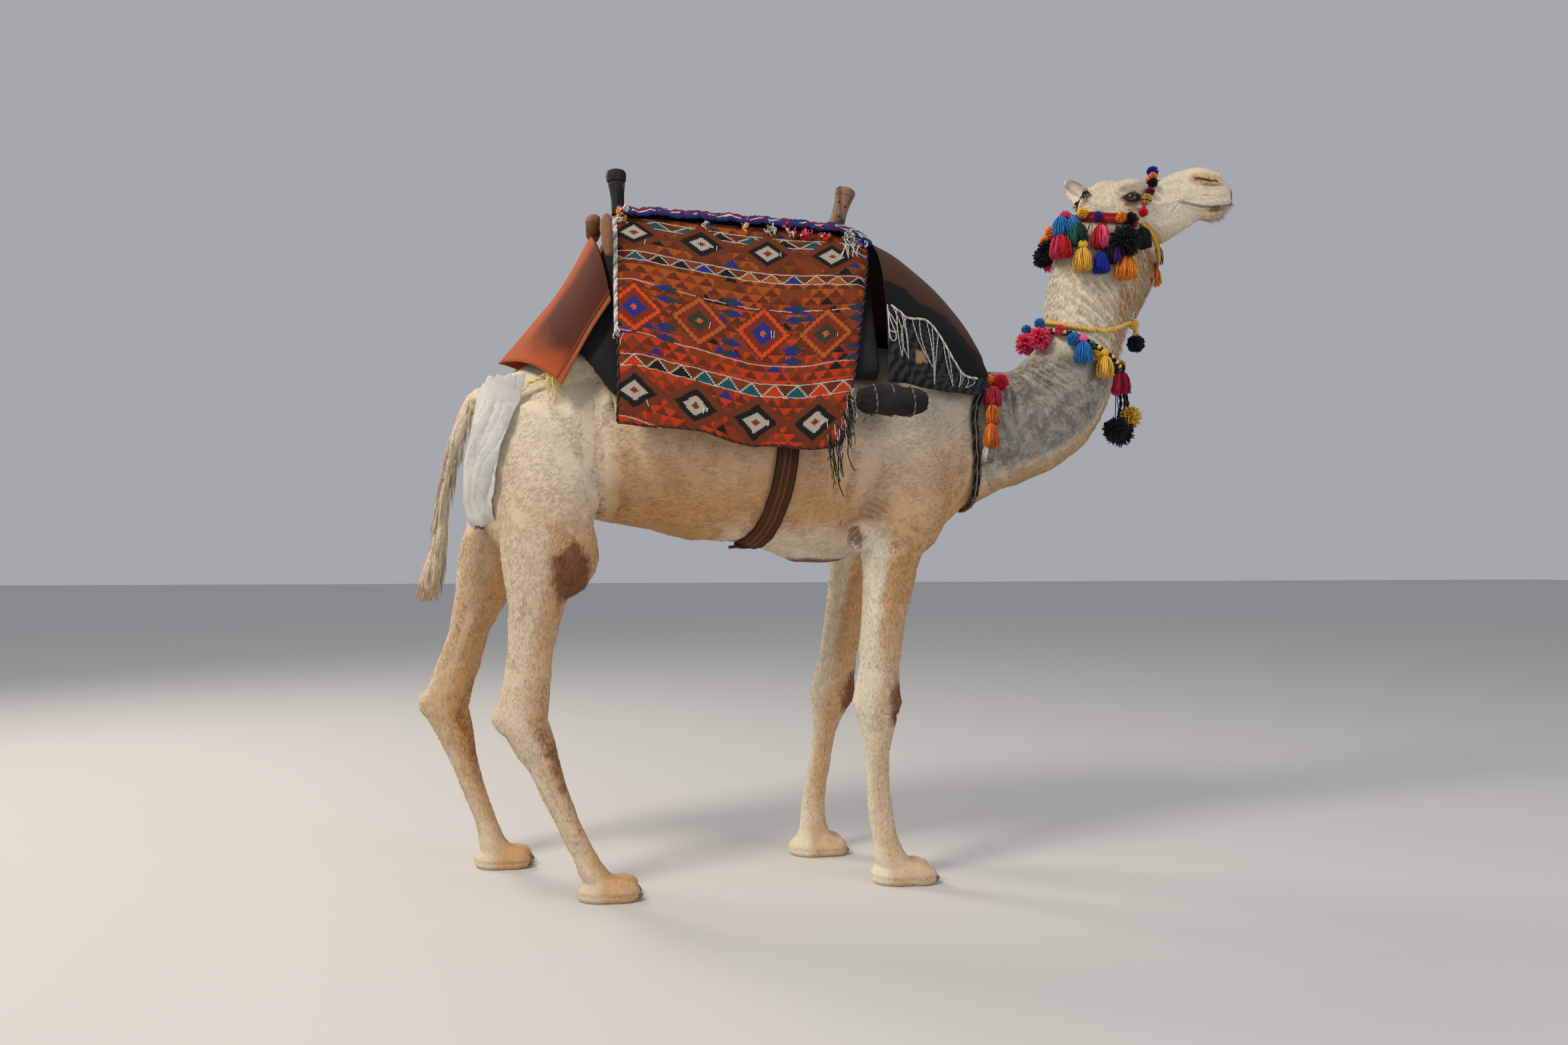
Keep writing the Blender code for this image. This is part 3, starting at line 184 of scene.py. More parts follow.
def points_of(mesh):
    out = np.empty(len(mesh.vertices) * 3)
    mesh.vertices.foreach_get("co", out)
    return out.reshape(-1, 3)


def set_points(mesh, points):
    mesh.vertices.foreach_set("co", np.ascontiguousarray(points).ravel())
    mesh.update()


def normals_of(mesh):
    out = np.empty(len(mesh.vertices) * 3, np.float32)
    mesh.vertex_normals.foreach_get("vector", out)
    return out.reshape(-1, 3).astype(float)


def between(rows, steps):
    """The rows with smooth rows added between them, by Catmull-Rom."""
    rows = np.array(rows, float)
    ends = np.vstack([rows[:1], rows, rows[-1:]])
    out = []
    for p, q, r, s in zip(ends, ends[1:], ends[2:], ends[3:]):
        for t in np.arange(steps) / steps:
            bend = (2 * p - 5 * q + 4 * r - s) * t * t
            out.append(0.5 * (2 * q + (r - p) * t + bend + (3 * q - p - 3 * r + s) * t**3))
    return np.array(out + [rows[-1]])


def loft(name, rings):
    """A skin over closed rings of equal count, capped at both ends."""
    bm = bmesh.new()
    last = None
    for ring in rings:
        verts = bmesh.ops.create_circle(bm, segments=len(ring), radius=1.0)["verts"]
        for vertex, point in zip(verts, ring):
            vertex.co = point
        edges = [e for e in bm.edges if e.verts[0] in set(verts)] if last is None else []
        edges = edges or list({e for v in verts for e in v.link_edges})
        if last is None:
            first = edges
        else:
            bmesh.ops.bridge_loops(bm, edges=last + edges)
        last = edges
    for loop in (first, last):
        bmesh.ops.contextual_create(bm, geom=loop)
    return mesh_object(name, bm)


def oval(row, sides=24):
    """A cross-section from (top x, top z, low x, low z, y, half width, fullness)."""
    tx, tz, lx, lz, y, half, full = row
    middle = np.array(((tx + lx) / 2, y, (tz + lz) / 2))
    reach = np.array((tx, y, tz)) - middle
    turn = 2 * np.pi * np.arange(sides) / sides
    width = half * (1 - full * np.cos(turn)) * np.sin(turn)
    return middle + np.cos(turn)[:, None] * reach + width[:, None] * np.array((0, 1, 0))


def body_loft(name, rows, steps=5):
    return loft(name, [oval(row) for row in between(rows, steps)])


def blob(name, centre, radii, pitch=0.0, yaw=0.0, level=4):
    """An ellipsoid: pitch lifts its +X end, yaw turns it to the left."""
    bm = bmesh.new()
    bmesh.ops.create_icosphere(bm, subdivisions=level, radius=1.0)
    turn = Matrix.Rotation(yaw, 4, "Z") @ Matrix.Rotation(-pitch, 4, "Y")
    place = Matrix.Translation(centre) @ turn @ Matrix.Diagonal((*radii, 1.0))
    bmesh.ops.transform(bm, matrix=place, verts=bm.verts)
    return mesh_object(name, bm)


def pair(name, centre, radii, pitch=0.0, yaw=0.0):
    x, y, z = centre
    return [
        blob(f"{name}_{word}", (x, side * y, z), radii, pitch, side * yaw) for word, side in SIDES.items()
    ]


def placed(piece, slot, *nodes, material=None, smooth=True):
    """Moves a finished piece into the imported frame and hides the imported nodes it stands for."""
    applied(piece)
    piece.data.transform(Matrix.Translation(ROW_SHIFT))
    if smooth:
        piece.data.shade_smooth()
    if material:
        piece.data.materials.clear()
        piece.data.materials.append(material)
    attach(piece, "root")
    if nodes:
        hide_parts(*nodes)
    return piece


def bump_up(x, low, high):
    """0 below low, 1 above high, smooth between."""
    t = np.clip((x - low) / (high - low), 0, 1)
    return t * t * (3 - 2 * t)


# The trunk and the neck, front to back along the middle plane

TRUNK = [
    (-0.940, 1.470, -0.935, 1.32, 0, 0.040, 0.0),
    (-0.905, 1.518, -0.915, 1.17, 0, 0.110, 0.0),
    (-0.830, 1.575, -0.830, 1.09, 0, 0.175, 0.0),
    (-0.700, 1.625, -0.700, 1.08, 0, 0.222, 0.0),
    (-0.570, 1.660, -0.570, 1.093, 0, 0.245, 0.1),
    (-0.440, 1.690, -0.440, 1.072, 0, 0.280, 0.15),
    (-0.300, 1.715, -0.300, 1.038, 0, 0.302, 0.15),
    (-0.140, 1.725, -0.140, 1.030, 0, 0.305, 0.15),
    (0.010, 1.720, 0.000, 0.985, 0, 0.290, 0.15),
    (0.140, 1.705, 0.130, 0.972, 0, 0.262, 0.1),
    (0.270, 1.680, 0.230, 0.990, 0, 0.235, 0.0),
    (0.410, 1.650, 0.370, 1.020, 0, 0.205, -0.05),
    (0.540, 1.622, 0.480, 1.058, 0, 0.165, -0.05),
    (0.630, 1.605, 0.565, 1.120, 0, 0.120, 0.0),
]
NECK = [
    (0.520, 1.615, 0.460, 1.080, 0, 0.150, 0.0),
    (0.650, 1.607, 0.590, 1.140, 0, 0.150, 0.0),
    (0.745, 1.606, 0.730, 1.207, 0, 0.132, 0.0),
    (0.805, 1.640, 0.890, 1.268, 0, 0.120, 0.0),
    (0.848, 1.685, 1.020, 1.363, 0, 0.112, 0.0),
    (0.872, 1.740, 1.098, 1.490, 0, 0.106, 0.0),
    (0.884, 1.805, 1.138, 1.655, 0, 0.101, 0.0),
    (0.898, 1.895, 1.182, 1.785, 0, 0.094, 0.0),
    (0.920, 1.990, 1.240, 1.875, -0.004, 0.087, 0.0),
    (0.968, 2.100, 1.262, 1.960, -0.010, 0.080, 0.0),
    (1.040, 2.190, 1.275, 2.040, -0.016, 0.070, 0.0),
]
TAIL = [
    (-0.900, 1.520, -0.930, 1.440, 0, 0.040, 0.0),
    (-0.970, 1.500, -0.950, 1.440, 0, 0.032, 0.0),
    (-1.015, 1.420, -0.972, 1.390, 0, 0.026, 0.0),
    (-1.045, 1.320, -1.003, 1.305, 0, 0.022, 0.0),
    (-1.066, 1.210, -1.024, 1.205, 0, 0.022, 0.0),
    (-1.078, 1.100, -1.030, 1.100, 0, 0.024, 0.0),
    (-1.098, 0.990, -1.040, 0.990, 0, 0.030, 0.0),
    (-1.125, 0.915, -1.052, 0.905, 0, 0.028, 0.0),
    (-1.112, 0.860, -1.075, 0.858, 0, 0.010, 0.0),
]


def trunk_masses():
    made = [
        body_loft("trunk_barrel", TRUNK),
        blob("hump", (-0.14, 0, 1.68), (0.36, 0.17, 0.25)),
        blob("chest_pad", (0.10, 0, 1.005), (0.125, 0.085, 0.038)),
        blob("breast", (0.462, 0, 1.165), (0.095, 0.120, 0.105), pitch=0.3),
    ]
    made += pair("hip_bone", (-0.635, 0.165, 1.555), (0.07, 0.05, 0.05))
    made += pair("shoulder_blade", (0.37, 0.130, 1.36), (0.13, 0.085, 0.24), pitch=-0.30)
    made += pair("upper_arm", (0.345, 0.165, 1.17), (0.140, 0.085, 0.185), pitch=0.22)
    made += pair("buttock", (-0.850, 0.10, 1.25), (0.105, 0.105, 0.25))
    return made


# The legs: each is a run of level sections hung on its own line of joints

FORE_SECTIONS = [
    (1.260, 0.280, 0.085),
    (1.140, 0.270, 0.088),
    (1.030, 0.222, 0.080),
    (0.920, 0.173, 0.068),
    (0.780, 0.147, 0.056),
    (0.655, 0.137, 0.052),
    (0.590, 0.150, 0.057),
    (0.540, 0.151, 0.058),
    (0.485, 0.124, 0.050),
    (0.410, 0.088, 0.041),
    (0.300, 0.078, 0.037),
    (0.200, 0.083, 0.041),
    (0.120, 0.090, 0.046),
    (0.065, 0.112, 0.058),
]
HIND_SECTIONS = [
    (1.440, 0.260, 0.080),
    (1.300, 0.290, 0.096),
    (1.190, 0.292, 0.098),
    (1.090, 0.285, 0.092),
    (1.020, 0.268, 0.084),
    (0.940, 0.225, 0.070),
    (0.866, 0.180, 0.058),
    (0.780, 0.148, 0.048),
    (0.675, 0.140, 0.043),
    (0.580, 0.148, 0.046),
    (0.515, 0.158, 0.050),
    (0.450, 0.138, 0.045),
    (0.370, 0.105, 0.038),
    (0.260, 0.084, 0.035),
    (0.180, 0.080, 0.037),
    (0.110, 0.082, 0.042),
    (0.065, 0.100, 0.052),
]
# Joint lines, top to bottom: (x, y, z).
LEG_LINES = {
    "fore_right": [
        (0.345, -0.150, 1.260),
        (0.309, -0.185, 1.030),
        (0.273, -0.190, 0.780),
        (0.254, -0.190, 0.560),
        (0.258, -0.190, 0.300),
        (0.268, -0.190, 0.180),
        (0.298, -0.190, 0.065),
    ],
    "fore_left": [
        (0.325, 0.150, 1.260),
        (0.290, 0.185, 1.030),
        (0.197, 0.190, 0.550),
        (0.155, 0.190, 0.300),
        (0.130, 0.190, 0.180),
        (0.134, 0.190, 0.065),
    ],
    "hind_right": [
        (-0.760, -0.120, 1.440),
        (-0.735, -0.160, 1.200),
        (-0.738, -0.185, 1.050),
        (-0.773, -0.200, 0.780),
        (-0.803, -0.212, 0.520),
        (-0.693, -0.220, 0.270),
        (-0.628, -0.222, 0.130),
        (-0.590, -0.222, 0.065),
    ],
    "hind_left": [
        (-0.780, 0.120, 1.440),
        (-0.800, 0.155, 1.200),
        (-0.878, 0.175, 1.050),
        (-0.978, 0.188, 0.780),
        (-1.062, 0.197, 0.520),
        (-0.980, 0.200, 0.270),
        (-0.927, 0.200, 0.130),
        (-0.905, 0.200, 0.065),
    ],
}
FEET = {
    "fore_right": (0.333, -0.190, 0.102, 0.078),
    "fore_left": (0.142, 0.190, 0.100, 0.078),
    "hind_right": (-0.556, -0.222, 0.092, 0.068),
    "hind_left": (-0.878, 0.200, 0.090, 0.068),
}
TOE_SPREAD = 0.52


def on_line(line, z):
    """The x and y where a joint line crosses height z."""
    for (x0, y0, z0), (x1, y1, z1) in zip(line, line[1:]):
        if z >= z1:
            t = (z0 - z) / (z0 - z1)
            return x0 + (x1 - x0) * t, y0 + (y1 - y0) * t
    return line[-1][:2]


def leg_masses(leg):
    line = LEG_LINES[leg]
    sections = FORE_SECTIONS if leg.startswith("fore") else HIND_SECTIONS
    rows = []
    for z, depth, half_width in sections:
        x, y = on_line(line, z)
        rows.append((x + depth / 2, z, x - depth / 2, z, y, half_width, 0.0))
    made = [body_loft(leg + "_column", rows)]
    x, y, length, width = FEET[leg]
    made.append(blob(leg + "_pad", (x - 0.008, y, 0.020), (length * 0.92, width * 0.96, 0.046)))
    for word, side in SIDES.items():
        toe = (x + length * 0.42, y + side * width * TOE_SPREAD, 0.026)
        made.append(blob(f"{leg}_toe_{word}", toe, (length * 0.58, width * 0.50, 0.040), yaw=-side * -0.10))
    outward = 1 if y > 0 else -1
    if leg.startswith("fore"):
        ex, ey = on_line(line, 1.05)
        made.append(blob(leg + "_elbow", (ex - 0.125, ey + outward * 0.045, 1.055), (0.045, 0.036, 0.055)))
        kx, ky = on_line(line, 0.56)
        made.append(blob(leg + "_knee", (kx + 0.038, ky, 0.550), (0.042, 0.050, 0.070)))
    else:
        sx, sy = on_line(line, 1.03)
        middle = (sx + 0.088, sy + outward * 0.01, 0.985)
        made.append(blob(leg + "_stifle", middle, (0.066, 0.066, 0.120), pitch=-0.22))
        hx, hy = on_line(line, 0.52)
        made.append(blob(leg + "_hock", (hx - 0.052, hy, 0.525), (0.036, 0.032, 0.050)))
    return made


# The head, in its own frame: +X along the muzzle from the pivot on the neck

HEAD_PIVOT = Vector((1.080, -0.012, 2.120))
HEAD_YAW = math.radians(-14)
HEAD_PLACE = Matrix.Translation(HEAD_PIVOT) @ Matrix.Rotation(HEAD_YAW, 4, "Z")
HEAD = [
    (-0.075, 0.060, -0.060, -0.030, 0, 0.045, 0.0),
    (-0.045, 0.105, -0.010, -0.085, 0, 0.068, 0.0),
    (0.005, 0.137, 0.040, -0.108, 0, 0.080, 0.0),
    (0.055, 0.132, 0.085, -0.106, 0, 0.082, 0.0),
    (0.105, 0.124, 0.125, -0.096, 0, 0.078, 0.0),
    (0.150, 0.122, 0.165, -0.082, 0, 0.066, 0.05),
    (0.200, 0.142, 0.205, -0.082, 0, 0.053, 0.05),
    (0.245, 0.162, 0.245, -0.058, 0, 0.046, 0.0),
    (0.290, 0.174, 0.290, -0.030, 0, 0.043, 0.0),
    (0.332, 0.178, 0.332, -0.002, 0, 0.045, 0.0),
    (0.366, 0.164, 0.366, -0.008, 0, 0.045, 0.0),
    (0.394, 0.142, 0.396, -0.002, 0, 0.042, 0.0),
    (0.418, 0.116, 0.418, 0.020, 0, 0.034, 0.0),
    (0.434, 0.090, 0.433, 0.048, 0, 0.020, 0.0),
]
EYE_PLACE = (0.090, 0.064, 0.056)
EYE_RADIUS = 0.021
EAR_ROOT = (-0.062, 0.056, 0.080)
EAR_LENGTH = 0.082
EAR_AIM = {"right": (-0.84, 0.34, 0.36), "left": (-0.30, 0.38, 0.87)}


def head_masses():
    made = [body_loft("head_skull", HEAD)]
    made += pair("brow", (0.088, 0.058, 0.100), (0.058, 0.026, 0.024), pitch=0.05, yaw=-0.1)
    made += pair("cheek", (0.050, 0.056, -0.030), (0.085, 0.026, 0.060), pitch=0.1)
    made += pair("cheek_bone", (0.150, 0.052, 0.035), (0.070, 0.016, 0.018), pitch=0.35, yaw=-0.25)
    made += pair("nostril_rim", (0.352, 0.030, 0.138), (0.048, 0.018, 0.022), pitch=-0.1, yaw=-0.1)
    made += pair("upper_lip", (0.376, 0.022, 0.088), (0.050, 0.026, 0.038), pitch=-0.45)
    made.append(blob("lower_lip", (0.374, 0, 0.016), (0.040, 0.034, 0.024), pitch=0.35))
    for piece in made:
        piece.matrix_world = HEAD_PLACE
    return made


# The skin: the body's masses grown together, then its finer forms worked into it

COARSE_VOXEL = 0.0107
SKIN_TRIANGLES = 186_000
LEAST_HEIGHT = 0.0012
HEAD_MATRIX = np.array(HEAD_PLACE)
TO_HEAD = np.array(HEAD_PLACE.inverted())
# One ear: (share of its length, half width, depth of the cup).
EAR_CUPS = [
    (-0.30, 0.012, 0.013), (-0.05, 0.016, 0.015), (0.15, 0.022, 0.016), (0.40, 0.0265, 0.015),
    (0.65, 0.024, 0.012), (0.85, 0.016, 0.008), (0.96, 0.009, 0.005), (1.0, 0.004, 0.003),
]
EAR_WALL = 0.0042


def on_head(points):
    points = np.atleast_2d(np.asarray(points, float))
    return points @ HEAD_MATRIX[:3, :3].T + HEAD_MATRIX[:3, 3]


def in_head(points):
    return points @ TO_HEAD[:3, :3].T + TO_HEAD[:3, 3]


def ear_frame(word, side):
    root = Vector((EAR_ROOT[0], side * EAR_ROOT[1], EAR_ROOT[2]))
    back, outward, up = EAR_AIM[word]
    along = Vector((back, side * outward, up)).normalized()
    across = Vector((0.45, side * 0.10, 0.85))
    across = (across - along * across.dot(along)).normalized()
    behind = along.cross(across).normalized() * -side
    return root, along, across, behind


def cupped_ear(word, side):
    """A leaf folded round its own line, open on the outer side."""
    root, along, across, behind = ear_frame(word, side)
    rings = []
    for t, width, cup in between(EAR_CUPS, 3):
        middle = root + along * (t * EAR_LENGTH)
        wall = min(EAR_WALL, width * 0.5, cup * 0.6)
        outer, inner = [], []
        for a in np.linspace(-1.25, 1.25, 11):
            back = cup * (math.cos(a) - 0.45)
            outer.append(middle + across * (width * math.sin(a)) + behind * back)
            within = back - wall * max(0.3, math.cos(a))
            inner.append(middle + across * ((width - wall) * math.sin(a)) + behind * within)
        rings.append(outer + inner[::-1])
    made = loft("ear_" + word, rings)
    modifier(made, "SUBSURF", levels=1, render_levels=1)
    made.matrix_world = HEAD_PLACE
    return applied(made)


def grown_body():
    pieces = trunk_masses() + [body_loft("neck_column", NECK), body_loft("tail_column", TAIL)]
    for leg in LEG_LINES:
        pieces += leg_masses(leg)
    whole = joined(pieces + head_masses(), "skin")
    modifier(whole, "REMESH", mode="VOXEL", voxel_size=COARSE_VOXEL)
    modifier(whole, "SMOOTH", factor=0.5, iterations=5)
    modifier(whole, "SUBSURF", levels=1, render_levels=1)
    return applied(whole)


def add_ears(skin):
    for word, side in SIDES.items():
        leaf = cupped_ear(word, side)
        modifier(skin, "BOOLEAN", operation="UNION", solver="MANIFOLD", object=leaf)
        applied(skin)
        bpy.data.objects.remove(leaf, do_unlink=True)


class Clay:
    """The skin's points, pushed in and out along their normals."""

    def __init__(self, skin):
        self.mesh = skin.data
        self.settle()
        bm = bmesh.new()
        bm.from_mesh(self.mesh)
        self.tree = BVHTree.FromBMesh(bm)
        bm.free()

    def settle(self):
        self.co = points_of(self.mesh)
        self.no = normals_of(self.mesh)

    def keep(self):
        set_points(self.mesh, self.co)
        self.no = normals_of(self.mesh)

    def nearest(self, points):
        return np.array([self.tree.find_nearest(Vector(p))[0] for p in np.atleast_2d(points)])

    def beside(self, points, side, y=1.0):
        """Where level lines across the body at each (x, z) first meet the skin from that side."""
        out = []
        for x, z in points:
            hit = self.tree.ray_cast(Vector((x, side * y, z)), Vector((0, -side, 0)), 2 * y)[0]
            if hit is not None:
                out.append(hit)
        return np.array(out)

    def reach(self, path, width):
        """The points near a path, with their distance to it and their place along it from 0 to 1."""
        low, high = path.min(0) - 3 * width, path.max(0) + 3 * width
        near = np.flatnonzero(((self.co > low) & (self.co < high)).all(1))
        points = self.co[near]
        best, at = np.full(len(near), np.inf), np.zeros(len(near))
        for k, (a, b) in enumerate(zip(path, path[1:])):
            line = b - a
            t = np.clip((points - a) @ line / max(line @ line, 1e-12), 0, 1)
            d = np.linalg.norm(points - a - t[:, None] * line, axis=1)
            closer = d < best
            best[closer], at[closer] = d[closer], (k + t[closer]) / (len(path) - 1)
        return near, best, at

    def stroke(self, path, width, depth, taper=0.2, ridge=0.0):
        """A groove of that depth along the path, a raised fold where it is negative; ridge lifts its lips."""
        if len(path) < 2:
            return
        path = between(path, 4)
        near, d, t = self.reach(path, width)
        fade = bump_up(t, 0, taper) * (1 - bump_up(t, 1 - taper, 1)) if taper else 1.0
        shape = np.exp(-((d / width) ** 2)) - ridge * np.exp(-(((d - 1.9 * width) / (0.9 * width)) ** 2))
        self.co[near] -= self.no[near] * (depth * shape * fade)[:, None]

    def dent(self, centre, radii, depth):
        rel = self.co - np.asarray(centre)
        r2 = ((rel / np.asarray(radii)) ** 2).sum(1)
        near = r2 < 9
        self.co[near] -= self.no[near] * (depth * np.exp(-r2[near]))[:, None]

    def soften(self, chosen, times):
        """Evens out the chosen points."""
        bm = bmesh.new()
        bm.from_mesh(self.mesh)
        bm.verts.ensure_lookup_table()
        verts = [bm.verts[i] for i in np.flatnonzero(chosen)]
        for _ in range(times):
            bmesh.ops.smooth_vert(
                bm, verts=verts, factor=0.5, use_axis_x=True, use_axis_y=True, use_axis_z=True
            )
        bm.to_mesh(self.mesh)
        bm.free()
        self.settle()

    def refine(self, chosen):
        """Halves every edge between chosen points."""
        bm = bmesh.new()
        bm.from_mesh(self.mesh)
        edges = [e for e in bm.edges if chosen[e.verts[0].index] and chosen[e.verts[1].index]]
        bmesh.ops.subdivide_edges(bm, edges=edges, cuts=1, use_grid_fill=True, smooth=0.0)
        bmesh.ops.triangulate(bm, faces=[f for f in bm.faces if len(f.verts) > 4])
        bm.to_mesh(self.mesh)
        bm.free()
        self.settle()


def waves(points, scale, seed, count=14):
    """A smooth, even-tempered field of hills about scale across, from -1 to 1 or so."""
    rng = np.random.default_rng(seed)
    way = rng.normal(size=(count, 3))
    way *= (2 * np.pi / scale * rng.uniform(0.6, 1.5, count) / np.linalg.norm(way, axis=1))[:, None]
    phase = rng.uniform(0, 2 * np.pi, count)
    return np.sin(points @ way.T + phase).sum(1) / math.sqrt(count)


def both_sides(points):
    points = np.asarray(points, float)
    return [points, points * (1, -1, 1)]


# Lines on the face, on the right side of the head's frame: points, width, depth, lip
MOUTH = [
    (0.256, -0.044, 0.046), (0.297, -0.039, 0.036), (0.341, -0.034, 0.030), (0.384, -0.036, 0.030),
    (0.415, -0.026, 0.037), (0.430, -0.010, 0.042),
]
NOSTRIL = [(0.306, -0.037, 0.127), (0.328, -0.042, 0.121), (0.348, -0.043, 0.116), (0.374, -0.040, 0.113)]
FACE_LINES = [
    (NOSTRIL, 0.0026, 0.0075, 0.55),
    ([(0.356, -0.043, 0.1155), (0.370, -0.041, 0.1135)], 0.0042, 0.0050, 0.3),
    ([(x, y, z + 0.011) for x, y, z in NOSTRIL], 0.010, -0.0040, 0.0),
    (
        [
            (0.316, -0.042, 0.106), (0.336, -0.044, 0.101), (0.362, -0.045, 0.098), (0.390, -0.038, 0.100),
            (0.404, -0.031, 0.104),
        ],
        0.0038, 0.0058, 0.5,
    ),
    ([(0.312, -0.036, 0.140), (0.340, -0.040, 0.134), (0.372, -0.038, 0.127)], 0.0048, 0.0026, 0.2),
    ([(0.300, -0.040, 0.136), (0.296, -0.040, 0.122), (0.302, -0.041, 0.110)], 0.0050, 0.0030, 0.3),
    (MOUTH, 0.0034, 0.0088, 0.35),
    ([(x, y, z + 0.014) for x, y, z in MOUTH[1:]], 0.011, -0.0035, 0.0),
    ([(0.258, -0.045, 0.046), (0.240, -0.047, 0.030), (0.226, -0.047, 0.008)], 0.0045, 0.0035, 0.4),
    ([(0.262, -0.045, 0.052), (0.244, -0.048, 0.046), (0.226, -0.050, 0.038)], 0.0045, 0.0030, 0.4),
    ([(0.250, -0.046, 0.060), (0.236, -0.050, 0.058)], 0.0040, 0.0020, 0.4),
    ([(0.322, -0.045, 0.068), (0.336, -0.045, 0.064), (0.348, -0.044, 0.066)], 0.0035, 0.0026, 0.4),
    (
        [
            (0.176, -0.056, 0.116), (0.204, -0.052, 0.112), (0.246, -0.046, 0.118), (0.262, -0.045, 0.104),
            (0.256, -0.047, 0.086),
        ],
        0.010, 0.0045, 0.25,
    ),
    (
        [(0.098, -0.075, 0.014), (0.140, -0.068, 0.026), (0.190, -0.058, 0.040), (0.226, -0.050, 0.052)],
        0.012, -0.0038, 0.0,
    ),
    (
        [
            (0.110, -0.070, -0.060), (0.165, -0.062, -0.050), (0.225, -0.050, -0.030),
            (0.262, -0.042, -0.012),
        ],
        0.014, -0.0035, 0.0,
    ),
    ([(0.040, -0.074, 0.040), (0.000, -0.078, 0.030), (-0.040, -0.070, 0.034)], 0.016, -0.0050, 0.0),
    ([(0.030, -0.074, 0.058), (-0.010, -0.074, 0.056), (-0.045, -0.064, 0.066)], 0.014, 0.0060, 0.0),
    (
        [(0.038, -0.076, 0.066), (0.054, -0.080, 0.090), (0.090, -0.082, 0.104), (0.130, -0.068, 0.112)],
        0.012, -0.0045, 0.0,
    ),
    ([(0.118, -0.076, 0.070), (0.142, -0.068, 0.076), (0.160, -0.060, 0.070)], 0.009, 0.0035, 0.2),
    (
        [(0.060, -0.082, 0.030), (0.084, -0.084, 0.022), (0.110, -0.078, 0.026), (0.126, -0.072, 0.036)],
        0.0040, 0.0022, 0.4,
    ),
    ([(0.052, -0.080, 0.026), (0.080, -0.083, 0.012), (0.112, -0.077, 0.014)], 0.0045, 0.0018, 0.4),
    ([(0.046, -0.080, 0.060), (0.034, -0.080, 0.072), (0.030, -0.078, 0.086)], 0.0040, 0.0024, 0.3),
    ([(-0.020, -0.070, -0.020), (-0.012, -0.074, -0.058), (0.020, -0.074, -0.090)], 0.018, 0.0040, 0.0),
]
LIP_CLEFT = [(0.436, 0, 0.085), (0.430, 0, 0.064), (0.436, 0, 0.048)]
# Hollows of the face, and swellings where the depth is negative: centre, radii, depth
FACE_HOLLOWS = [
    ((0.214, 0.054, 0.078), (0.036, 0.030, 0.026), 0.0075),
    ((-0.004, 0.070, 0.080), (0.030, 0.030, 0.020), 0.0060),
    ((0.372, 0.038, 0.074), (0.030, 0.022, 0.022), -0.0035),
    ((0.348, 0.030, 0.002), (0.030, 0.026, 0.018), -0.0030),
    ((0.280, 0.044, 0.078), (0.030, 0.022, 0.024), -0.0030),
    ((0.040, 0.076, -0.040), (0.060, 0.030, 0.046), -0.0040),
    ((0.132, 0.062, 0.100), (0.020, 0.016, 0.014), 0.0030),
]
# Folds of the neck and trunk on (x, z), worked into both sides: points, width, depth
NECK_FOLDS = [
    ([(0.978, 1.914), (1.012, 1.862), (1.054, 1.815), (1.091, 1.772)], 0.0080, 0.0065),
    ([(0.999, 1.919), (1.045, 1.868), (1.082, 1.820), (1.120, 1.777)], 0.0075, 0.0070),
    ([(1.045, 1.919), (1.078, 1.869), (1.111, 1.817), (1.134, 1.778)], 0.0070, 0.0060),
    ([(1.083, 1.914), (1.111, 1.873), (1.134, 1.829)], 0.0070, 0.0050),
    ([(0.956, 1.855), (1.012, 1.804), (1.068, 1.758), (1.100, 1.715)], 0.0080, 0.0060),
    ([(0.948, 1.806), (1.000, 1.760), (1.046, 1.722), (1.080, 1.690)], 0.0080, 0.0045),
    ([(1.120, 1.905), (1.145, 1.860), (1.158, 1.820)], 0.0065, 0.0040),
    ([(0.940, 1.930), (0.948, 1.870), (0.944, 1.800)], 0.0150, 0.0050),
]
NAPE_FOLDS = [
    ([(0.707, 1.588), (0.725, 1.530), (0.729, 1.474), (0.726, 1.420)], 0.0055, 0.0050),
    ([(0.684, 1.590), (0.698, 1.530), (0.700, 1.470)], 0.0055, 0.0040),
    ([(0.730, 1.592), (0.757, 1.548), (0.775, 1.500), (0.782, 1.455)], 0.0052, 0.0048),
    ([(0.753, 1.600), (0.780, 1.557), (0.800, 1.512)], 0.0050, 0.0042),
    ([(0.780, 1.614), (0.821, 1.576), (0.867, 1.546), (0.894, 1.517)], 0.0052, 0.0046),
    ([(0.800, 1.630), (0.840, 1.592), (0.880, 1.566)], 0.0048, 0.0036),
    ([(0.817, 1.640), (0.853, 1.600), (0.892, 1.566), (0.925, 1.545)], 0.0048, 0.0036),
    ([(0.836, 1.660), (0.872, 1.626), (0.905, 1.602)], 0.0045, 0.0028),
    ([(0.843, 1.502), (0.861, 1.472), (0.868, 1.440)], 0.0045, 0.0024),
    ([(0.660, 1.590), (0.668, 1.520), (0.664, 1.440)], 0.0055, 0.0030),
]
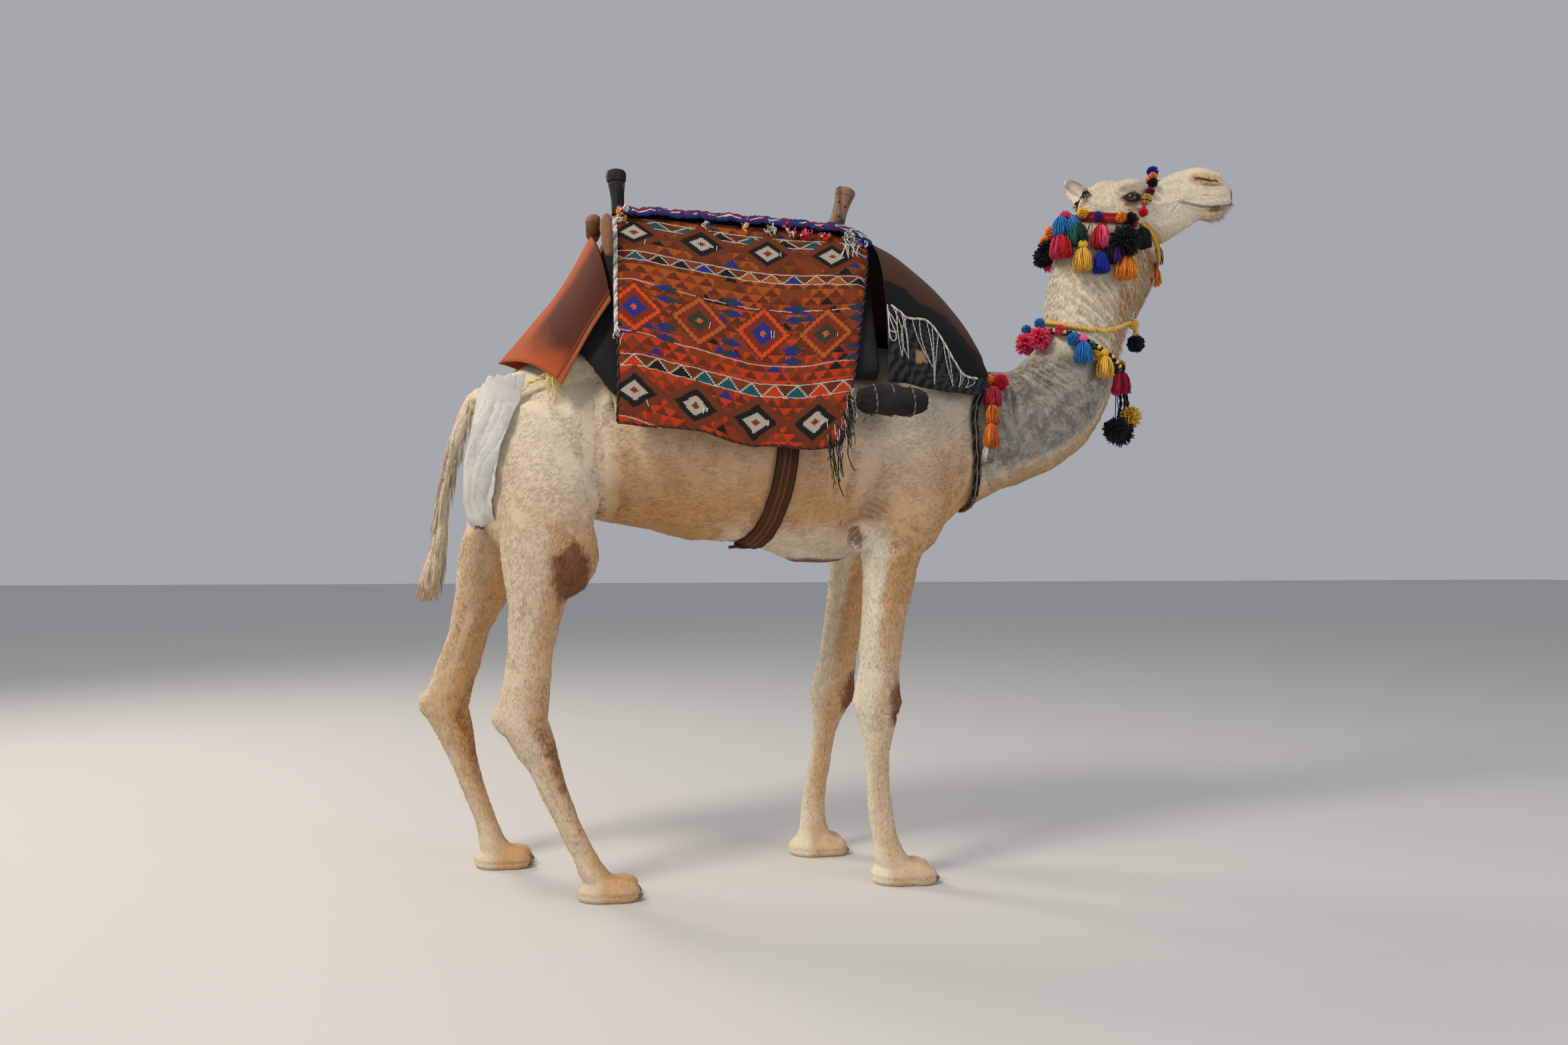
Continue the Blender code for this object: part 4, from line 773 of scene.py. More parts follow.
TRUNK_FOLDS = [
    (
        [
            (-0.609, 1.480), (-0.607, 1.400), (-0.604, 1.328), (-0.598, 1.212), (-0.590, 1.115),
            (-0.594, 1.060),
        ],
        0.0170, 0.0130,
    ),
    ([(-0.604, 1.400), (-0.602, 1.300), (-0.596, 1.200), (-0.588, 1.100)], 0.0050, 0.0050),
    ([(-0.598, 1.070), (-0.560, 1.062), (-0.480, 1.052), (-0.400, 1.045)], 0.0100, 0.0050),
    ([(-0.540, 1.300), (-0.520, 1.200), (-0.530, 1.110)], 0.0220, 0.0040),
    ([(0.176, 1.330), (0.168, 1.270), (0.160, 1.200), (0.150, 1.140)], 0.0160, 0.0110),
    ([(0.120, 1.280), (0.112, 1.200), (0.116, 1.130)], 0.0120, 0.0045),
    ([(0.592, 1.520), (0.600, 1.420), (0.600, 1.320), (0.588, 1.220), (0.560, 1.150)], 0.0140, 0.0060),
    ([(0.300, 1.100), (0.360, 1.070), (0.420, 1.050)], 0.0140, 0.0040),
]
ELBOW = (0.185, 1.054)
ELBOW_CREASES = (0.060, 0.078, 0.096, 0.116)
RIBS = 7
# Grooves down both faces of a leg: heights, how far ahead of the joint line, width, depth
FORE_GROOVES = [
    ((0.95, 0.66), -0.018, 0.012, 0.0050),
    ((0.42, 0.17), -0.016, 0.008, 0.0050),
    ((0.42, 0.17), 0.016, 0.007, 0.0018),
    ((0.98, 0.72), 0.030, 0.014, 0.0035),
]
HIND_GROOVES = [
    ((0.88, 0.60), -0.030, 0.013, 0.0085),
    ((0.44, 0.18), -0.014, 0.008, 0.0050),
    ((0.86, 0.62), 0.022, 0.012, 0.0035),
    ((0.54, 0.42), 0.020, 0.010, 0.0030),
]
# Creases above and below the knee: height, reach ahead, width, depth
KNEE_CREASES = [(0.592, 0.060, 0.012, 0.0030), (0.508, 0.058, 0.012, 0.0030)]


def shape_face(clay):
    local = in_head(clay.co)
    on_face = (local[:, 0] > -0.13) & (local[:, 2] > -0.14)
    clay.soften(on_face & (local[:, 0] < -0.02) & (np.abs(local[:, 1]) < 0.09), 2)
    local = in_head(clay.co)
    clay.refine((local[:, 0] > -0.12) & (local[:, 2] > -0.13))
    local = in_head(clay.co)
    clay.soften((local[:, 0] > -0.10) & (local[:, 2] > -0.12), 1)
    local = in_head(clay.co)
    fine = (
        (np.linalg.norm((local - np.array(EYE_PLACE) * (1, 0, 1)) * (1, 0, 1), axis=1) < 0.040)
        & (local[:, 2] > 0.0)
    )
    fine |= (local[:, 0] > 0.245) & (local[:, 2] > 0.0)
    clay.refine(fine)
    for line, width, depth, lip in FACE_LINES:
        for path in both_sides(line):
            clay.stroke(clay.nearest(on_head(path)), width, depth, ridge=lip)
        clay.keep()
    for (x, y, z), radii, depth in FACE_HOLLOWS:
        for side in (-1, 1):
            clay.dent(on_head((x, side * y, z))[0], radii, depth)
    clay.stroke(clay.nearest(on_head(LIP_CLEFT)), 0.0035, 0.0035)
    clay.keep()
    open_lids(clay)
    clay.keep()


LID = 0.0026
EYE_SLOPE = 0.08
EYE_OPENING = (0.0185, 0.0074, 0.0062)


def open_lids(clay):
    """Wraps the skin over each eyeball, parted along an almond."""
    local = in_head(clay.co)
    for side in (-1, 1):
        rel = local - np.array((EYE_PLACE[0], side * EYE_PLACE[1], EYE_PLACE[2]))
        d = np.linalg.norm(rel, axis=1)
        near = np.flatnonzero((d < 0.040) & (rel[:, 1] * side > -0.002))
        rel, d = rel[near], d[near]
        u = rel[:, 0] / EYE_OPENING[0]
        w = rel[:, 2] - EYE_SLOPE * rel[:, 0]
        edge = np.where(w > 0, EYE_OPENING[1], EYE_OPENING[2]) * np.sqrt(np.clip(1 - u * u, 0, 1)) ** 1.2
        past = np.where(np.abs(u) < 1, np.abs(w) - edge, np.hypot((np.abs(u) - 1) * EYE_OPENING[0], w))
        within = (past < 0) & (np.abs(u) < 1)
        rim = EYE_RADIUS + LID + 0.0012 * np.exp(-((past / 0.0030) ** 2))
        wanted = np.where(within, EYE_RADIUS - 0.006, np.maximum(d, rim))
        wanted = np.where(within, np.minimum(d, wanted), wanted)
        fold = np.exp(-(((past - 0.0075) / 0.0022) ** 2)) * (w > 0) * (np.abs(u) < 1.25)
        wanted = np.where(within, wanted, wanted - 0.0020 * fold)
        local[near] = (
            rel * (wanted / d)[:, None] + np.array((EYE_PLACE[0], side * EYE_PLACE[1], EYE_PLACE[2]))
        )
    clay.co = on_head(local)


def shape_trunk(clay):
    for folds, gain, lip in ((NECK_FOLDS, 1.6, 0.6), (NAPE_FOLDS, 1.4, 0.6), (TRUNK_FOLDS, 1.0, 0.2)):
        for line, width, depth in folds:
            for side in (-1, 1):
                clay.stroke(clay.beside(line, side), width, depth * gain, ridge=lip)
        clay.keep()
    for side in (-1, 1):
        ring = clay.beside(
            [
                (ELBOW[0] + 0.034 * math.cos(a), ELBOW[1] + 0.040 * math.sin(a))
                for a in np.linspace(-2.6, 2.6, 15)
            ],
            side,
        )
        clay.stroke(ring, 0.0050, 0.0050, ridge=0.3)
        for k, r in enumerate(ELBOW_CREASES):
            arc = [
                (ELBOW[0] + 0.012 + r * math.cos(a), ELBOW[1] + 0.004 + r * math.sin(a))
                for a in np.linspace(0.35 + 0.06 * k, 2.5 - 0.1 * k, 9)
            ]
            clay.stroke(clay.beside(arc, side), 0.0048, 0.0042, ridge=0.6)
    clay.keep()
    for k in range(RIBS):
        x = 0.05 - 0.105 * k
        for side in (-1, 1):
            rib = [(x + 0.020, 1.42), (x - 0.010, 1.30), (x - 0.030, 1.20), (x - 0.030, 1.12)]
            clay.stroke(clay.beside(rib, side), 0.020, 0.0022)
    clay.keep()
    swell = waves(clay.co, 0.11, 3) * 0.0014 + waves(clay.co, 0.045, 4) * 0.0006
    local = in_head(clay.co)
    face = (local[:, 0] > -0.05) & (local[:, 2] > -0.10)
    clay.co += clay.no * (swell * np.where(face, 0.35, 1.0))[:, None]
    clay.keep()


def groove_leg(clay, leg, grooves):
    """Long grooves between the muscles and tendons, on both faces of a leg."""
    for face in (-1, 1):
        for (high, low), dx, wide, deep in grooves:
            path = []
            for z in np.linspace(high, low, 9):
                jx, jy = on_line(LEG_LINES[leg], z)
                start = Vector((jx + dx, jy + face * 0.14, z))
                hit = clay.tree.ray_cast(start, Vector((0, -face, 0)), 0.2)[0]
                if hit is not None:
                    path.append(hit)
            clay.stroke(np.array(path), wide, deep)


def crease_knee(clay, leg):
    kx, ky = on_line(LEG_LINES[leg], 0.54)
    for z, dx, wide, deep in KNEE_CREASES:
        arc = []
        for a in np.linspace(-1.4, 1.4, 9):
            guess = Vector((kx + dx * math.cos(a), ky + 0.062 * math.sin(a), z + 0.012 * abs(math.sin(a))))
            arc.append(clay.tree.find_nearest(guess)[0])
        clay.stroke(np.array(arc), wide * 0.45, deep, ridge=0.5)


def split_foot(clay, leg):
    """The cleft between the toes, and the groove round the edge of the pad."""
    x, y, length, _ = FEET[leg]
    cleft = []
    for share in np.linspace(0.15, 1.35, 9):
        start = Vector((x + length * (share - 0.1), y, 0.3))
        hit = clay.tree.ray_cast(start, Vector((0, 0, -1)), 0.32)[0]
        if hit is not None and hit.z > 0.002:
            cleft.append(hit)
    tip = clay.tree.ray_cast(Vector((x + 0.3, y, 0.022)), Vector((-1, 0, 0)), 0.4)[0]
    if tip:
        cleft.append(tip)
    clay.stroke(np.array(cleft), 0.0065, 0.0120, taper=0.12, ridge=0.15)
    rim = []
    middle = Vector((x - 0.01, y, 0.020))
    for a in np.linspace(0, 2 * math.pi, 25):
        far = Vector((x - 0.01 + 0.2 * math.cos(a), y + 0.2 * math.sin(a), 0.020))
        hit = clay.tree.ray_cast(far, (middle - far).normalized(), 0.25)[0]
        if hit is not None:
            rim.append(hit)
    clay.stroke(np.array(rim), 0.0050, 0.0028, taper=0, ridge=0.3)


def shape_legs(clay):
    for leg in FEET:
        fore = leg.startswith("fore")
        groove_leg(clay, leg, FORE_GROOVES if fore else HIND_GROOVES)
        if fore:
            crease_knee(clay, leg)
        clay.keep()
        split_foot(clay, leg)
        clay.keep()


def coat_depth(points):
    """How far the skin lies below the tips of the coat."""
    local = in_head(points)
    head = bump_up(local[:, 0], -0.10, -0.02) * bump_up(local[:, 2], -0.14, -0.10)
    depth = np.where(points[:, 2] < 1.0, 0.0028, 0.0040)
    depth = depth * bump_up(points[:, 2], 0.02, 0.15) + 0.0008
    depth = depth * (1 - head) + 0.0016 * head
    on_crown = (local[:, 0] < -0.03) & (local[:, 2] > 0.09) & (head > 0)
    return np.where(on_crown | (on_ears(local)[:, 0] < 9), 0.0003, depth)


def thin_out(skin, co):
    """Cuts the skin to its budget of triangles, with the most kept round the eyes, then the face and neck."""
    bm = bmesh.new()
    bm.from_mesh(skin.data)
    bmesh.ops.triangulate(bm, faces=bm.faces)
    bm.to_mesh(skin.data)
    bm.free()
    local = in_head(co)
    weight = np.ones(len(co))
    weight[co[:, 2] < 0.16] = 0.7
    weight[(co[:, 0] > 0.62) & (co[:, 2] > 1.3)] = 0.5
    weight[(local[:, 0] > -0.10) & (local[:, 2] > -0.12)] = 0.22
    weight[np.linalg.norm((np.abs(local) - np.array(EYE_PLACE)), axis=1) < 0.034] = 0.03
    group = skin.vertex_groups.new(name="coarse")
    for level in np.unique(weight):
        group.add(np.flatnonzero(weight == level).tolist(), float(level), "REPLACE")
    ratio = SKIN_TRIANGLES / len(skin.data.polygons)
    modifier(skin, "DECIMATE", ratio=ratio, vertex_group="coarse", vertex_group_factor=1.0)
    applied(skin)
    skin.vertex_groups.clear()


def build_skin():
    skin = grown_body()
    add_ears(skin)
    clay = Clay(skin)
    shape_face(clay)
    shape_trunk(clay)
    shape_legs(clay)
    clay.co = clay.co - clay.no * coat_depth(clay.co)[:, None]
    clay.co[:, 2] = np.maximum(clay.co[:, 2], LEAST_HEIGHT)
    clay.keep()
    thin_out(skin, clay.co)
    return skin


# Paint: short ways to write a material's nodes


class Field:
    """A number that the nodes work out, with plain arithmetic."""

    def __init__(self, paint, socket):
        self.paint, self.socket = paint, socket

    def __add__(self, other):
        return self.paint.math("ADD", self, other)

    def __sub__(self, other):
        return self.paint.math("SUBTRACT", self, other)

    def __rsub__(self, other):
        return self.paint.math("SUBTRACT", other, self)

    def __mul__(self, other):
        return self.paint.math("MULTIPLY", self, other)

    def __truediv__(self, other):
        return self.paint.math("DIVIDE", self, other)

    def __abs__(self):
        return self.paint.math("ABSOLUTE", self)

    __radd__, __rmul__ = __add__, __mul__


class Paint:
    """A material built on one Principled shader."""

    def __init__(self, name, roughness=0.8, **constants):
        self.material = bpy.data.materials.new(name)
        self.material.use_nodes = True
        self.tree = self.material.node_tree
        self.shader = self.tree.nodes["Principled BSDF"]
        self.shader.inputs["Roughness"].default_value = roughness
        self.shader.inputs["Specular IOR Level"].default_value = 0.07
        for key, value in constants.items():
            self.shader.inputs[key.replace("_", " ")].default_value = value

    def node(self, kind, **settings):
        made = self.tree.nodes.new(kind)
        for key, value in settings.items():
            setattr(made, key, value)
        return made

    def feed(self, socket, value):
        if isinstance(value, Field):
            value = value.socket
        if isinstance(value, bpy.types.NodeSocket):
            self.tree.links.new(value, socket)
        elif value is not None:
            if socket.type == "RGBA" and len(value) == 3:
                value = (*value, 1.0)
            socket.default_value = value

    def math(self, operation, *values):
        made = self.node("ShaderNodeMath", operation=operation)
        for socket, value in zip(made.inputs, values):
            self.feed(socket, value)
        return Field(self, made.outputs[0])

    def least(self, a, b):
        return self.math("MINIMUM", a, b)

    def most(self, a, b):
        return self.math("MAXIMUM", a, b)

    def below(self, a, b):
        return self.math("LESS_THAN", a, b)

    def object_point(self, scale=(1, 1, 1)):
        made = self.node("ShaderNodeMapping")
        made.inputs["Scale"].default_value = scale
        self.feed(made.inputs["Vector"], self.node("ShaderNodeTexCoord").outputs["Object"])
        return made.outputs["Vector"]

    def parts(self, vector):
        made = self.node("ShaderNodeSeparateXYZ")
        self.feed(made.inputs[0], vector)
        return [Field(self, s) for s in made.outputs]

    def point(self, x, y, z=0.0):
        made = self.node("ShaderNodeCombineXYZ")
        for socket, value in zip(made.inputs, (x, y, z)):
            self.feed(socket, value)
        return made.outputs[0]

    def uv(self):
        return self.parts(self.node("ShaderNodeUVMap", uv_map="place").outputs["UV"])[:2]

    def attribute(self, name):
        return self.node("ShaderNodeAttribute", attribute_name=name)

    def noise(self, scale, detail=3.0, rough=0.55, vector=None):
        made = self.node("ShaderNodeTexNoise")
        made.inputs["Scale"].default_value = scale
        made.inputs["Detail"].default_value = detail
        made.inputs["Roughness"].default_value = rough
        self.feed(made.inputs["Vector"], vector if vector is not None else self.object_point())
        return Field(self, made.outputs["Fac"])

    def cells(self, scale):
        made = self.node("ShaderNodeTexVoronoi", feature="F1")
        made.inputs["Scale"].default_value = scale
        self.feed(made.inputs["Vector"], self.object_point())
        return Field(self, made.outputs["Distance"])

    def ramp(self, value, low, high, out_low=0.0, out_high=1.0):
        made = self.node("ShaderNodeMapRange", interpolation_type="SMOOTHSTEP")
        for socket, given in zip(list(made.inputs)[:5], (value, low, high, out_low, out_high)):
            self.feed(socket, given)
        return Field(self, made.outputs[0])

    def mix(self, first, second, factor):
        made = self.node("ShaderNodeMix", data_type="RGBA", blend_type="MIX")
        self.feed(made.inputs[0], factor)
        self.feed(made.inputs[6], first)
        self.feed(made.inputs[7], second)
        return made.outputs[2]

    def vary(self, colour, amount, field):
        """The colour made lighter and darker by the field about its middle."""
        made = self.node("ShaderNodeHueSaturation")
        self.feed(made.inputs["Value"], (field - 0.5) * amount + 1.0)
        self.feed(made.inputs["Color"], colour)
        return made.outputs["Color"]

    def bump(self, height, distance, strength):
        made = self.node("ShaderNodeBump")
        made.inputs["Distance"].default_value = distance
        made.inputs["Strength"].default_value = strength
        self.feed(made.inputs["Height"], height)
        self.feed(self.shader.inputs["Normal"], made.outputs[0])

    def done(self, colour=None, roughness=None):
        self.feed(self.shader.inputs["Base Color"], colour)
        self.feed(self.shader.inputs["Roughness"], roughness)
        return self.material


# The coat's colours, with painted shade and light among them: one rule for the skin and for every tuft that
# grows on it

NECK_BELOW = np.array([
    (0.46, 1.08), (0.59, 1.14), (0.73, 1.207), (0.89, 1.268), (1.02, 1.363), (1.098, 1.49), (1.138, 1.655),
    (1.182, 1.785),
])


def patch(points, centre, radii):
    """1 in the middle of an ellipsoid on either side of the body, 0 outside it."""
    rel = (points * (1, 0, 1) + np.abs(points) * (0, 1, 0) - np.array(centre)) / np.array(radii)
    return 1 - bump_up((rel**2).sum(1), 0.25, 1.3)


def from_leg_line(points):
    """For each point: which leg is nearest, how far ahead of its joint line it is and how far outward."""
    ahead, outward = np.zeros(len(points)), np.zeros(len(points))
    best = np.full(len(points), 9.0)
    which = np.zeros(len(points), int)
    for k, line in enumerate(LEG_LINES.values()):
        heights = [row[2] for row in line][::-1]
        jx = np.interp(points[:, 2], heights, [row[0] for row in line][::-1])
        jy = np.interp(points[:, 2], heights, [row[1] for row in line][::-1])
        d = np.hypot(points[:, 0] - jx, points[:, 1] - jy)
        closer = d < best
        best[closer], which[closer] = d[closer], k
        ahead[closer] = (points[:, 0] - jx)[closer]
        outward[closer] = ((points[:, 1] - jy) * (1 if line[0][1] > 0 else -1))[closer]
    return which, ahead, outward


def mark_trunk(points, trunk, tan, grey):
    x, y, z = points.T
    flank = bump_up(x, -0.66, -0.50) * (1 - bump_up(x, 0.10, 0.22))
    tan += trunk * flank * (0.48 + 0.50 * (1 - bump_up(z, 1.04, 1.46)))
    shoulder = trunk * bump_up(x, 0.08, 0.22)
    front = 0.22 * bump_up(x, 0.34, 0.54) * (1 - bump_up(z, 1.26, 1.48))
    tan += shoulder * (0.34 + 0.42 * (1 - bump_up(z, 1.00, 1.48)) + front)
    # Grey rising towards the top of the shoulder is painted shade.
    grey += shoulder * (0.08 + 0.36 * bump_up(z, 1.08, 1.50))
    thigh = trunk * (1 - bump_up(x, -0.66, -0.56))
    grey += thigh * 0.22 * bump_up(np.abs(y), 0.06, 0.20) * (1 - bump_up(z, 1.38, 1.5))
    tan += thigh * (0.26 + 0.34 * (1 - bump_up(z, 0.98, 1.30)))


def mark_neck(points, neck, tan, grey):
    x, _, z = points.T
    under = z - np.interp(x, NECK_BELOW[:, 0], NECK_BELOW[:, 1])
    low_neck = neck * (1 - bump_up(z + 0.25 * (x - 1.0), 1.57, 1.70))
    grey += low_neck * (0.25 + 0.75 * bump_up(under, 0.04, 0.13))
    tan += low_neck * 0.78 * (1 - bump_up(under, 0.02, 0.12))
    high_neck = neck - low_neck
    # Tan on the front of the upper neck: partly its tan hair, partly painted shade.
    front = bump_up(x - np.interp(z, [1.6, 1.8, 2.0], [1.02, 1.06, 1.12]), 0.0, 0.07)
    tan += high_neck * (0.12 + 0.50 * front)
    grey += high_neck * 0.10


def mark_legs(points, legs, tan, grey, stain_and_shade):
    z = points[:, 2]
    which, ahead, outward = from_leg_line(points)
    fore, hind = legs * (which < 2), legs * (which >= 2)
    # Tan on the fronts of the legs and cream on their rear edges: partly the coat's own tones, partly painted
    # sunlight on the rear edges and painted shade on the fronts.
    tan += fore * (0.55 + 0.35 * bump_up(z, 0.60, 0.95)) * bump_up(ahead, -0.045, -0.005)
    tan += hind * (0.36 + 0.40 * bump_up(ahead, -0.02, 0.04))
    # Tan on the inner faces of the legs is painted warm light bounced up from the ground.
    tan += legs * 0.22 * (1 - bump_up(outward, -0.035, 0.0)) * bump_up(z, 0.12, 0.3)
    grey += legs * 0.20 * (1 - bump_up(np.abs(z - 0.72), 0.08, 0.25))
    stain_and_shade += fore * bump_up(ahead, 0.018, 0.05) * 0.72 * (1 - bump_up(np.abs(z - 0.545), 0.035, 0.10))
    stain_and_shade += fore * 0.34 * (1 - bump_up(np.abs(z - 0.53), 0.02, 0.09)) * bump_up(ahead, -0.01, 0.03)
    stain_and_shade += hind * bump_up(ahead, 0.006, 0.030) * 0.62 * (1 - bump_up(np.abs(z - 0.40), 0.08, 0.17))
    stain_and_shade += hind * 0.45 * (1 - bump_up(np.abs(z - 0.58), 0.02, 0.06)) * bump_up(ahead, 0.02, 0.05)
    stain_and_shade += 0.30 * (1 - bump_up(z, 0.0, 0.04))


# Brown stains on the body: how strong, where and how far they reach
STAINS = (
    (0.95, (-0.665, 0.230, 0.945), (0.066, 0.08, 0.115)),
    (0.85, (ELBOW[0] - 0.006, 0.245, ELBOW[1] - 0.004), (0.034, 0.05, 0.040)),
    (0.90, (0.10, 0, 0.968), (0.150, 0.10, 0.030)),
    (0.40, (0.490, 0.150, 1.255), (0.060, 0.08, 0.060)),
    (0.30, (0.400, 0.230, 0.930), (0.050, 0.06, 0.100)),
    (0.35, (0.315, 0.200, 0.860), (0.045, 0.06, 0.100)),
)


def mark_face(local, head, tan, stain_and_shade, bare):
    """The lids, the nostrils, the lips and the face's own stains, with painted shade round the eyes, behind
    the ears and in the creases of the nostrils and mouth.
    """
    lx, ly, lz = local.T
    eye = np.array(EYE_PLACE)
    to_eye = np.hypot((lx - eye[0]) / 1.9, lz - eye[2] - EYE_SLOPE * (lx - eye[0]))
    lids = (np.abs(ly) > 0.045) * head
    # The dark ring round each eye is dark lid skin widened by painted shade of the brow and lashes.
    bare += (1 - bump_up(to_eye, 0.0110, 0.0205)) * lids
    stain_and_shade += 0.62 * (1 - bump_up(to_eye, 0.015, 0.033)) * lids
    # Painted shadow behind each ear, at its base.
    stain_and_shade += 0.28 * patch(local, (-0.050, 0.058, 0.045), (0.035, 0.03, 0.035)) * head
    stain_and_shade += 0.46 * patch(local, (0.088, 0.080, 0.020), (0.040, 0.03, 0.022))
    # Painted shade at the front corner of each eye, going on from the dark ring.
    stain_and_shade += 0.40 * patch(local, (0.128, 0.072, 0.058), (0.022, 0.03, 0.013))
    bare += 0.92 * path_near(local, NOSTRIL, 0.0026) + 0.62 * path_near(local, MOUTH, 0.0036)
    # Brown and ochre bands along the nostrils and the mouth: painted shade of their creases, with some darker
    # lip skin along the mouth.
    stain_and_shade += 0.42 * path_near(local, NOSTRIL, 0.0080) + 0.40 * path_near(local, MOUTH, 0.0085)
    tan += 0.45 * path_near(local, NOSTRIL, 0.0150) * head
    muzzle = 0.25 * (1 - bump_up(np.abs(lx - 0.36), 0.03, 0.07)) * (1 - bump_up(lz, 0.01, 0.04))
    tan += head * (0.15 + 0.30 * (1 - bump_up(lz, -0.08, 0.0)) + muzzle)
    bare += 0.75 * bump_up(lx, 0.405, 0.436) * (1 - bump_up(lz, 0.085, 0.115)) * head
    stain_and_shade += 0.45 * head * (1 - bump_up(np.abs(lx - 0.385), 0.02, 0.05)) * (1 - bump_up(lz, 0.018, 0.034))


def markings_and_painted_light(points):
    """Shares of tan, grey, brown staining and bare dark skin at each point; painted shade and painted bounce
    light are worked into them too.
    """
    x, y, z = points.T
    local = in_head(points)
    on_neck = bump_up(x, 0.56, 0.70) * bump_up(z, 1.10, 1.16)
    head = bump_up(local[:, 0], -0.10, 0.0) * bump_up(local[:, 2], -0.13, -0.08) * on_neck
    legs = (1 - bump_up(z, 1.00, 1.14)) * (1 - on_neck)
    tan, grey, stain_and_shade, bare = np.zeros((4, len(points)))
    mark_trunk(points, (1 - legs) * (1 - on_neck), tan, grey)
    mark_neck(points, on_neck * (1 - head), tan, grey)
    mark_legs(points, legs, tan, grey, stain_and_shade)
    mark_face(local, head, tan, stain_and_shade, bare)
    for strength, centre, reach in STAINS:
        stain_and_shade += strength * patch(points, centre, reach)
    cup = in_ear_cup(local)
    # Grey and brown in the hollow of each ear are painted shade of the cup.
    grey += 0.38 * cup
    stain_and_shade += 0.08 * cup
    tail = (x < -0.98) & (np.abs(y) < 0.07) & (z > 0.80)
    tan = np.where(tail, 0.20 + 0.30 * (1 - bump_up(z, 0.90, 1.05)), tan)
    grey = np.where(tail, 0.02, grey)
    stain_and_shade = np.where(tail, 0.0, stain_and_shade)
    return np.clip(np.stack([tan, grey, stain_and_shade, bare], 1), 0, 1).astype(np.float32)


def on_ears(local):
    """Each point's share of the way along its ear, and its place across and behind it; 9 off the ears."""
    place = np.full((len(local), 3), 9.0)
    for word, side in SIDES.items():
        root, along, across, behind = (np.array(v) for v in ear_frame(word, side))
        rel = local - root
        at = np.stack([rel @ along / EAR_LENGTH, rel @ across, rel @ behind], 1)
        close = (
            (at[:, 0] > 0.04) & (at[:, 0] < 1.2) & (np.abs(at[:, 1:]) < (0.034, 0.030)).all(1)
            & (local[:, 1] * side > 0.03)
        )
        place[close] = at[close]
    return place


def in_ear_cup(local):
    """1 in the hollow of an ear."""
    t, w, c = on_ears(local).T
    within = bump_up(t, 0.10, 0.30) * (1 - bump_up(t, 0.88, 1.0)) * (1 - bump_up(np.abs(w), 0.016, 0.023))
    return within * (1 - bump_up(c, 0.001, 0.0050))


def path_near(local, path, width):
    """1 on a line of the face, on both sides of it, falling to 0 away from it."""
    path = between(path, 3)
    mirror = local * (1, -1, 1)
    mirror[:, 1] = -np.abs(local[:, 1])
    near = np.flatnonzero((np.abs(mirror - path.mean(0)) < np.ptp(path, axis=0) / 2 + 4 * width).all(1))
    out = np.zeros(len(local))
    if len(near):
        d = np.min([np.linalg.norm(mirror[near] - p, axis=1) for p in path], axis=0)
        out[near] = 1 - bump_up(d, width * 0.7, width * 2.2)
    return out


def mark(mesh, roots, tone):
    """Stores the coat's colour shares, with their painted shade and light, at each point's root, and its own
    tone.
    """
    marks_and_painted_light = mesh.attributes.new("marks_and_painted_light", "FLOAT_COLOR", "POINT")
    marks_and_painted_light.data.foreach_set("color", markings_and_painted_light(roots).ravel())
    tones = mesh.attributes.new("tone", "FLOAT", "POINT")
    tones.data.foreach_set("value", np.broadcast_to(tone, (len(roots),)).astype(np.float32))


def paint_coat():
    paint = Paint("camel_coat", 0.78, Sheen_Weight=0.03, Sheen_Roughness=0.45)
    marks_and_painted_light = paint.attribute("marks_and_painted_light")
    # These shares carry painted shade and painted bounce light as well as the coat's own colours.
    tan, grey, stain_and_shade = paint.parts(marks_and_painted_light.outputs["Color"])
    bare = Field(paint, marks_and_painted_light.outputs["Alpha"])
    tone = Field(paint, paint.attribute("tone").outputs["Fac"])
    broad = paint.noise(7.0, 4.0)
    blotch = paint.noise(24.0, 5.0, 0.62)
    fine = paint.noise(90.0, 3.0)
    hair = paint.noise(420.0, 2.0)
    wobble = (broad - 0.5) * 0.7 + (blotch - 0.5) * 0.6
    tan_share = paint.ramp(tan + wobble * 0.72, 0.02, 0.98)
    grey_share = paint.ramp(grey + wobble * 0.50, 0.06, 0.85)
    stain_share = paint.ramp(stain_and_shade + (blotch - 0.5) * 0.9 + (fine - 0.5) * 0.6, 0.18, 0.88)
    cream = paint.mix((0.74, 0.645, 0.49), (0.80, 0.725, 0.58), broad)
    warm = paint.mix((0.60, 0.315, 0.125), (0.54, 0.325, 0.155), blotch)
    cloud = paint.ramp(blotch + (fine - 0.5) * 0.35, 0.38, 0.60)
    slate = paint.mix((0.185, 0.166, 0.148), (0.38, 0.342, 0.290), cloud)
    pale_slate = paint.mix(slate, (0.50, 0.44, 0.355), 1.0 - grey_share * 0.85)
    colour = paint.mix(cream, warm, tan_share)
    colour = paint.mix(colour, pale_slate, paint.ramp(grey_share, 0.0, 0.8))
    colour = paint.mix(
        colour, paint.mix((0.115, 0.036, 0.015), (0.24, 0.095, 0.040), fine), stain_share * 0.92
    )
    colour = paint.mix(colour, (0.018, 0.014, 0.013), paint.ramp(bare, 0.25, 0.75) * 0.94)
    colour = paint.vary(colour, 0.30, fine * 0.35 + hair * 0.25 + tone * 0.40)
    paint.bump(hair * 0.5 + fine * 1.0 + blotch * 0.5, 0.0022, 0.55)
    return paint.done(colour)


COAT = paint_coat()


# Strands: many thin tapered hairs or threads in one mesh


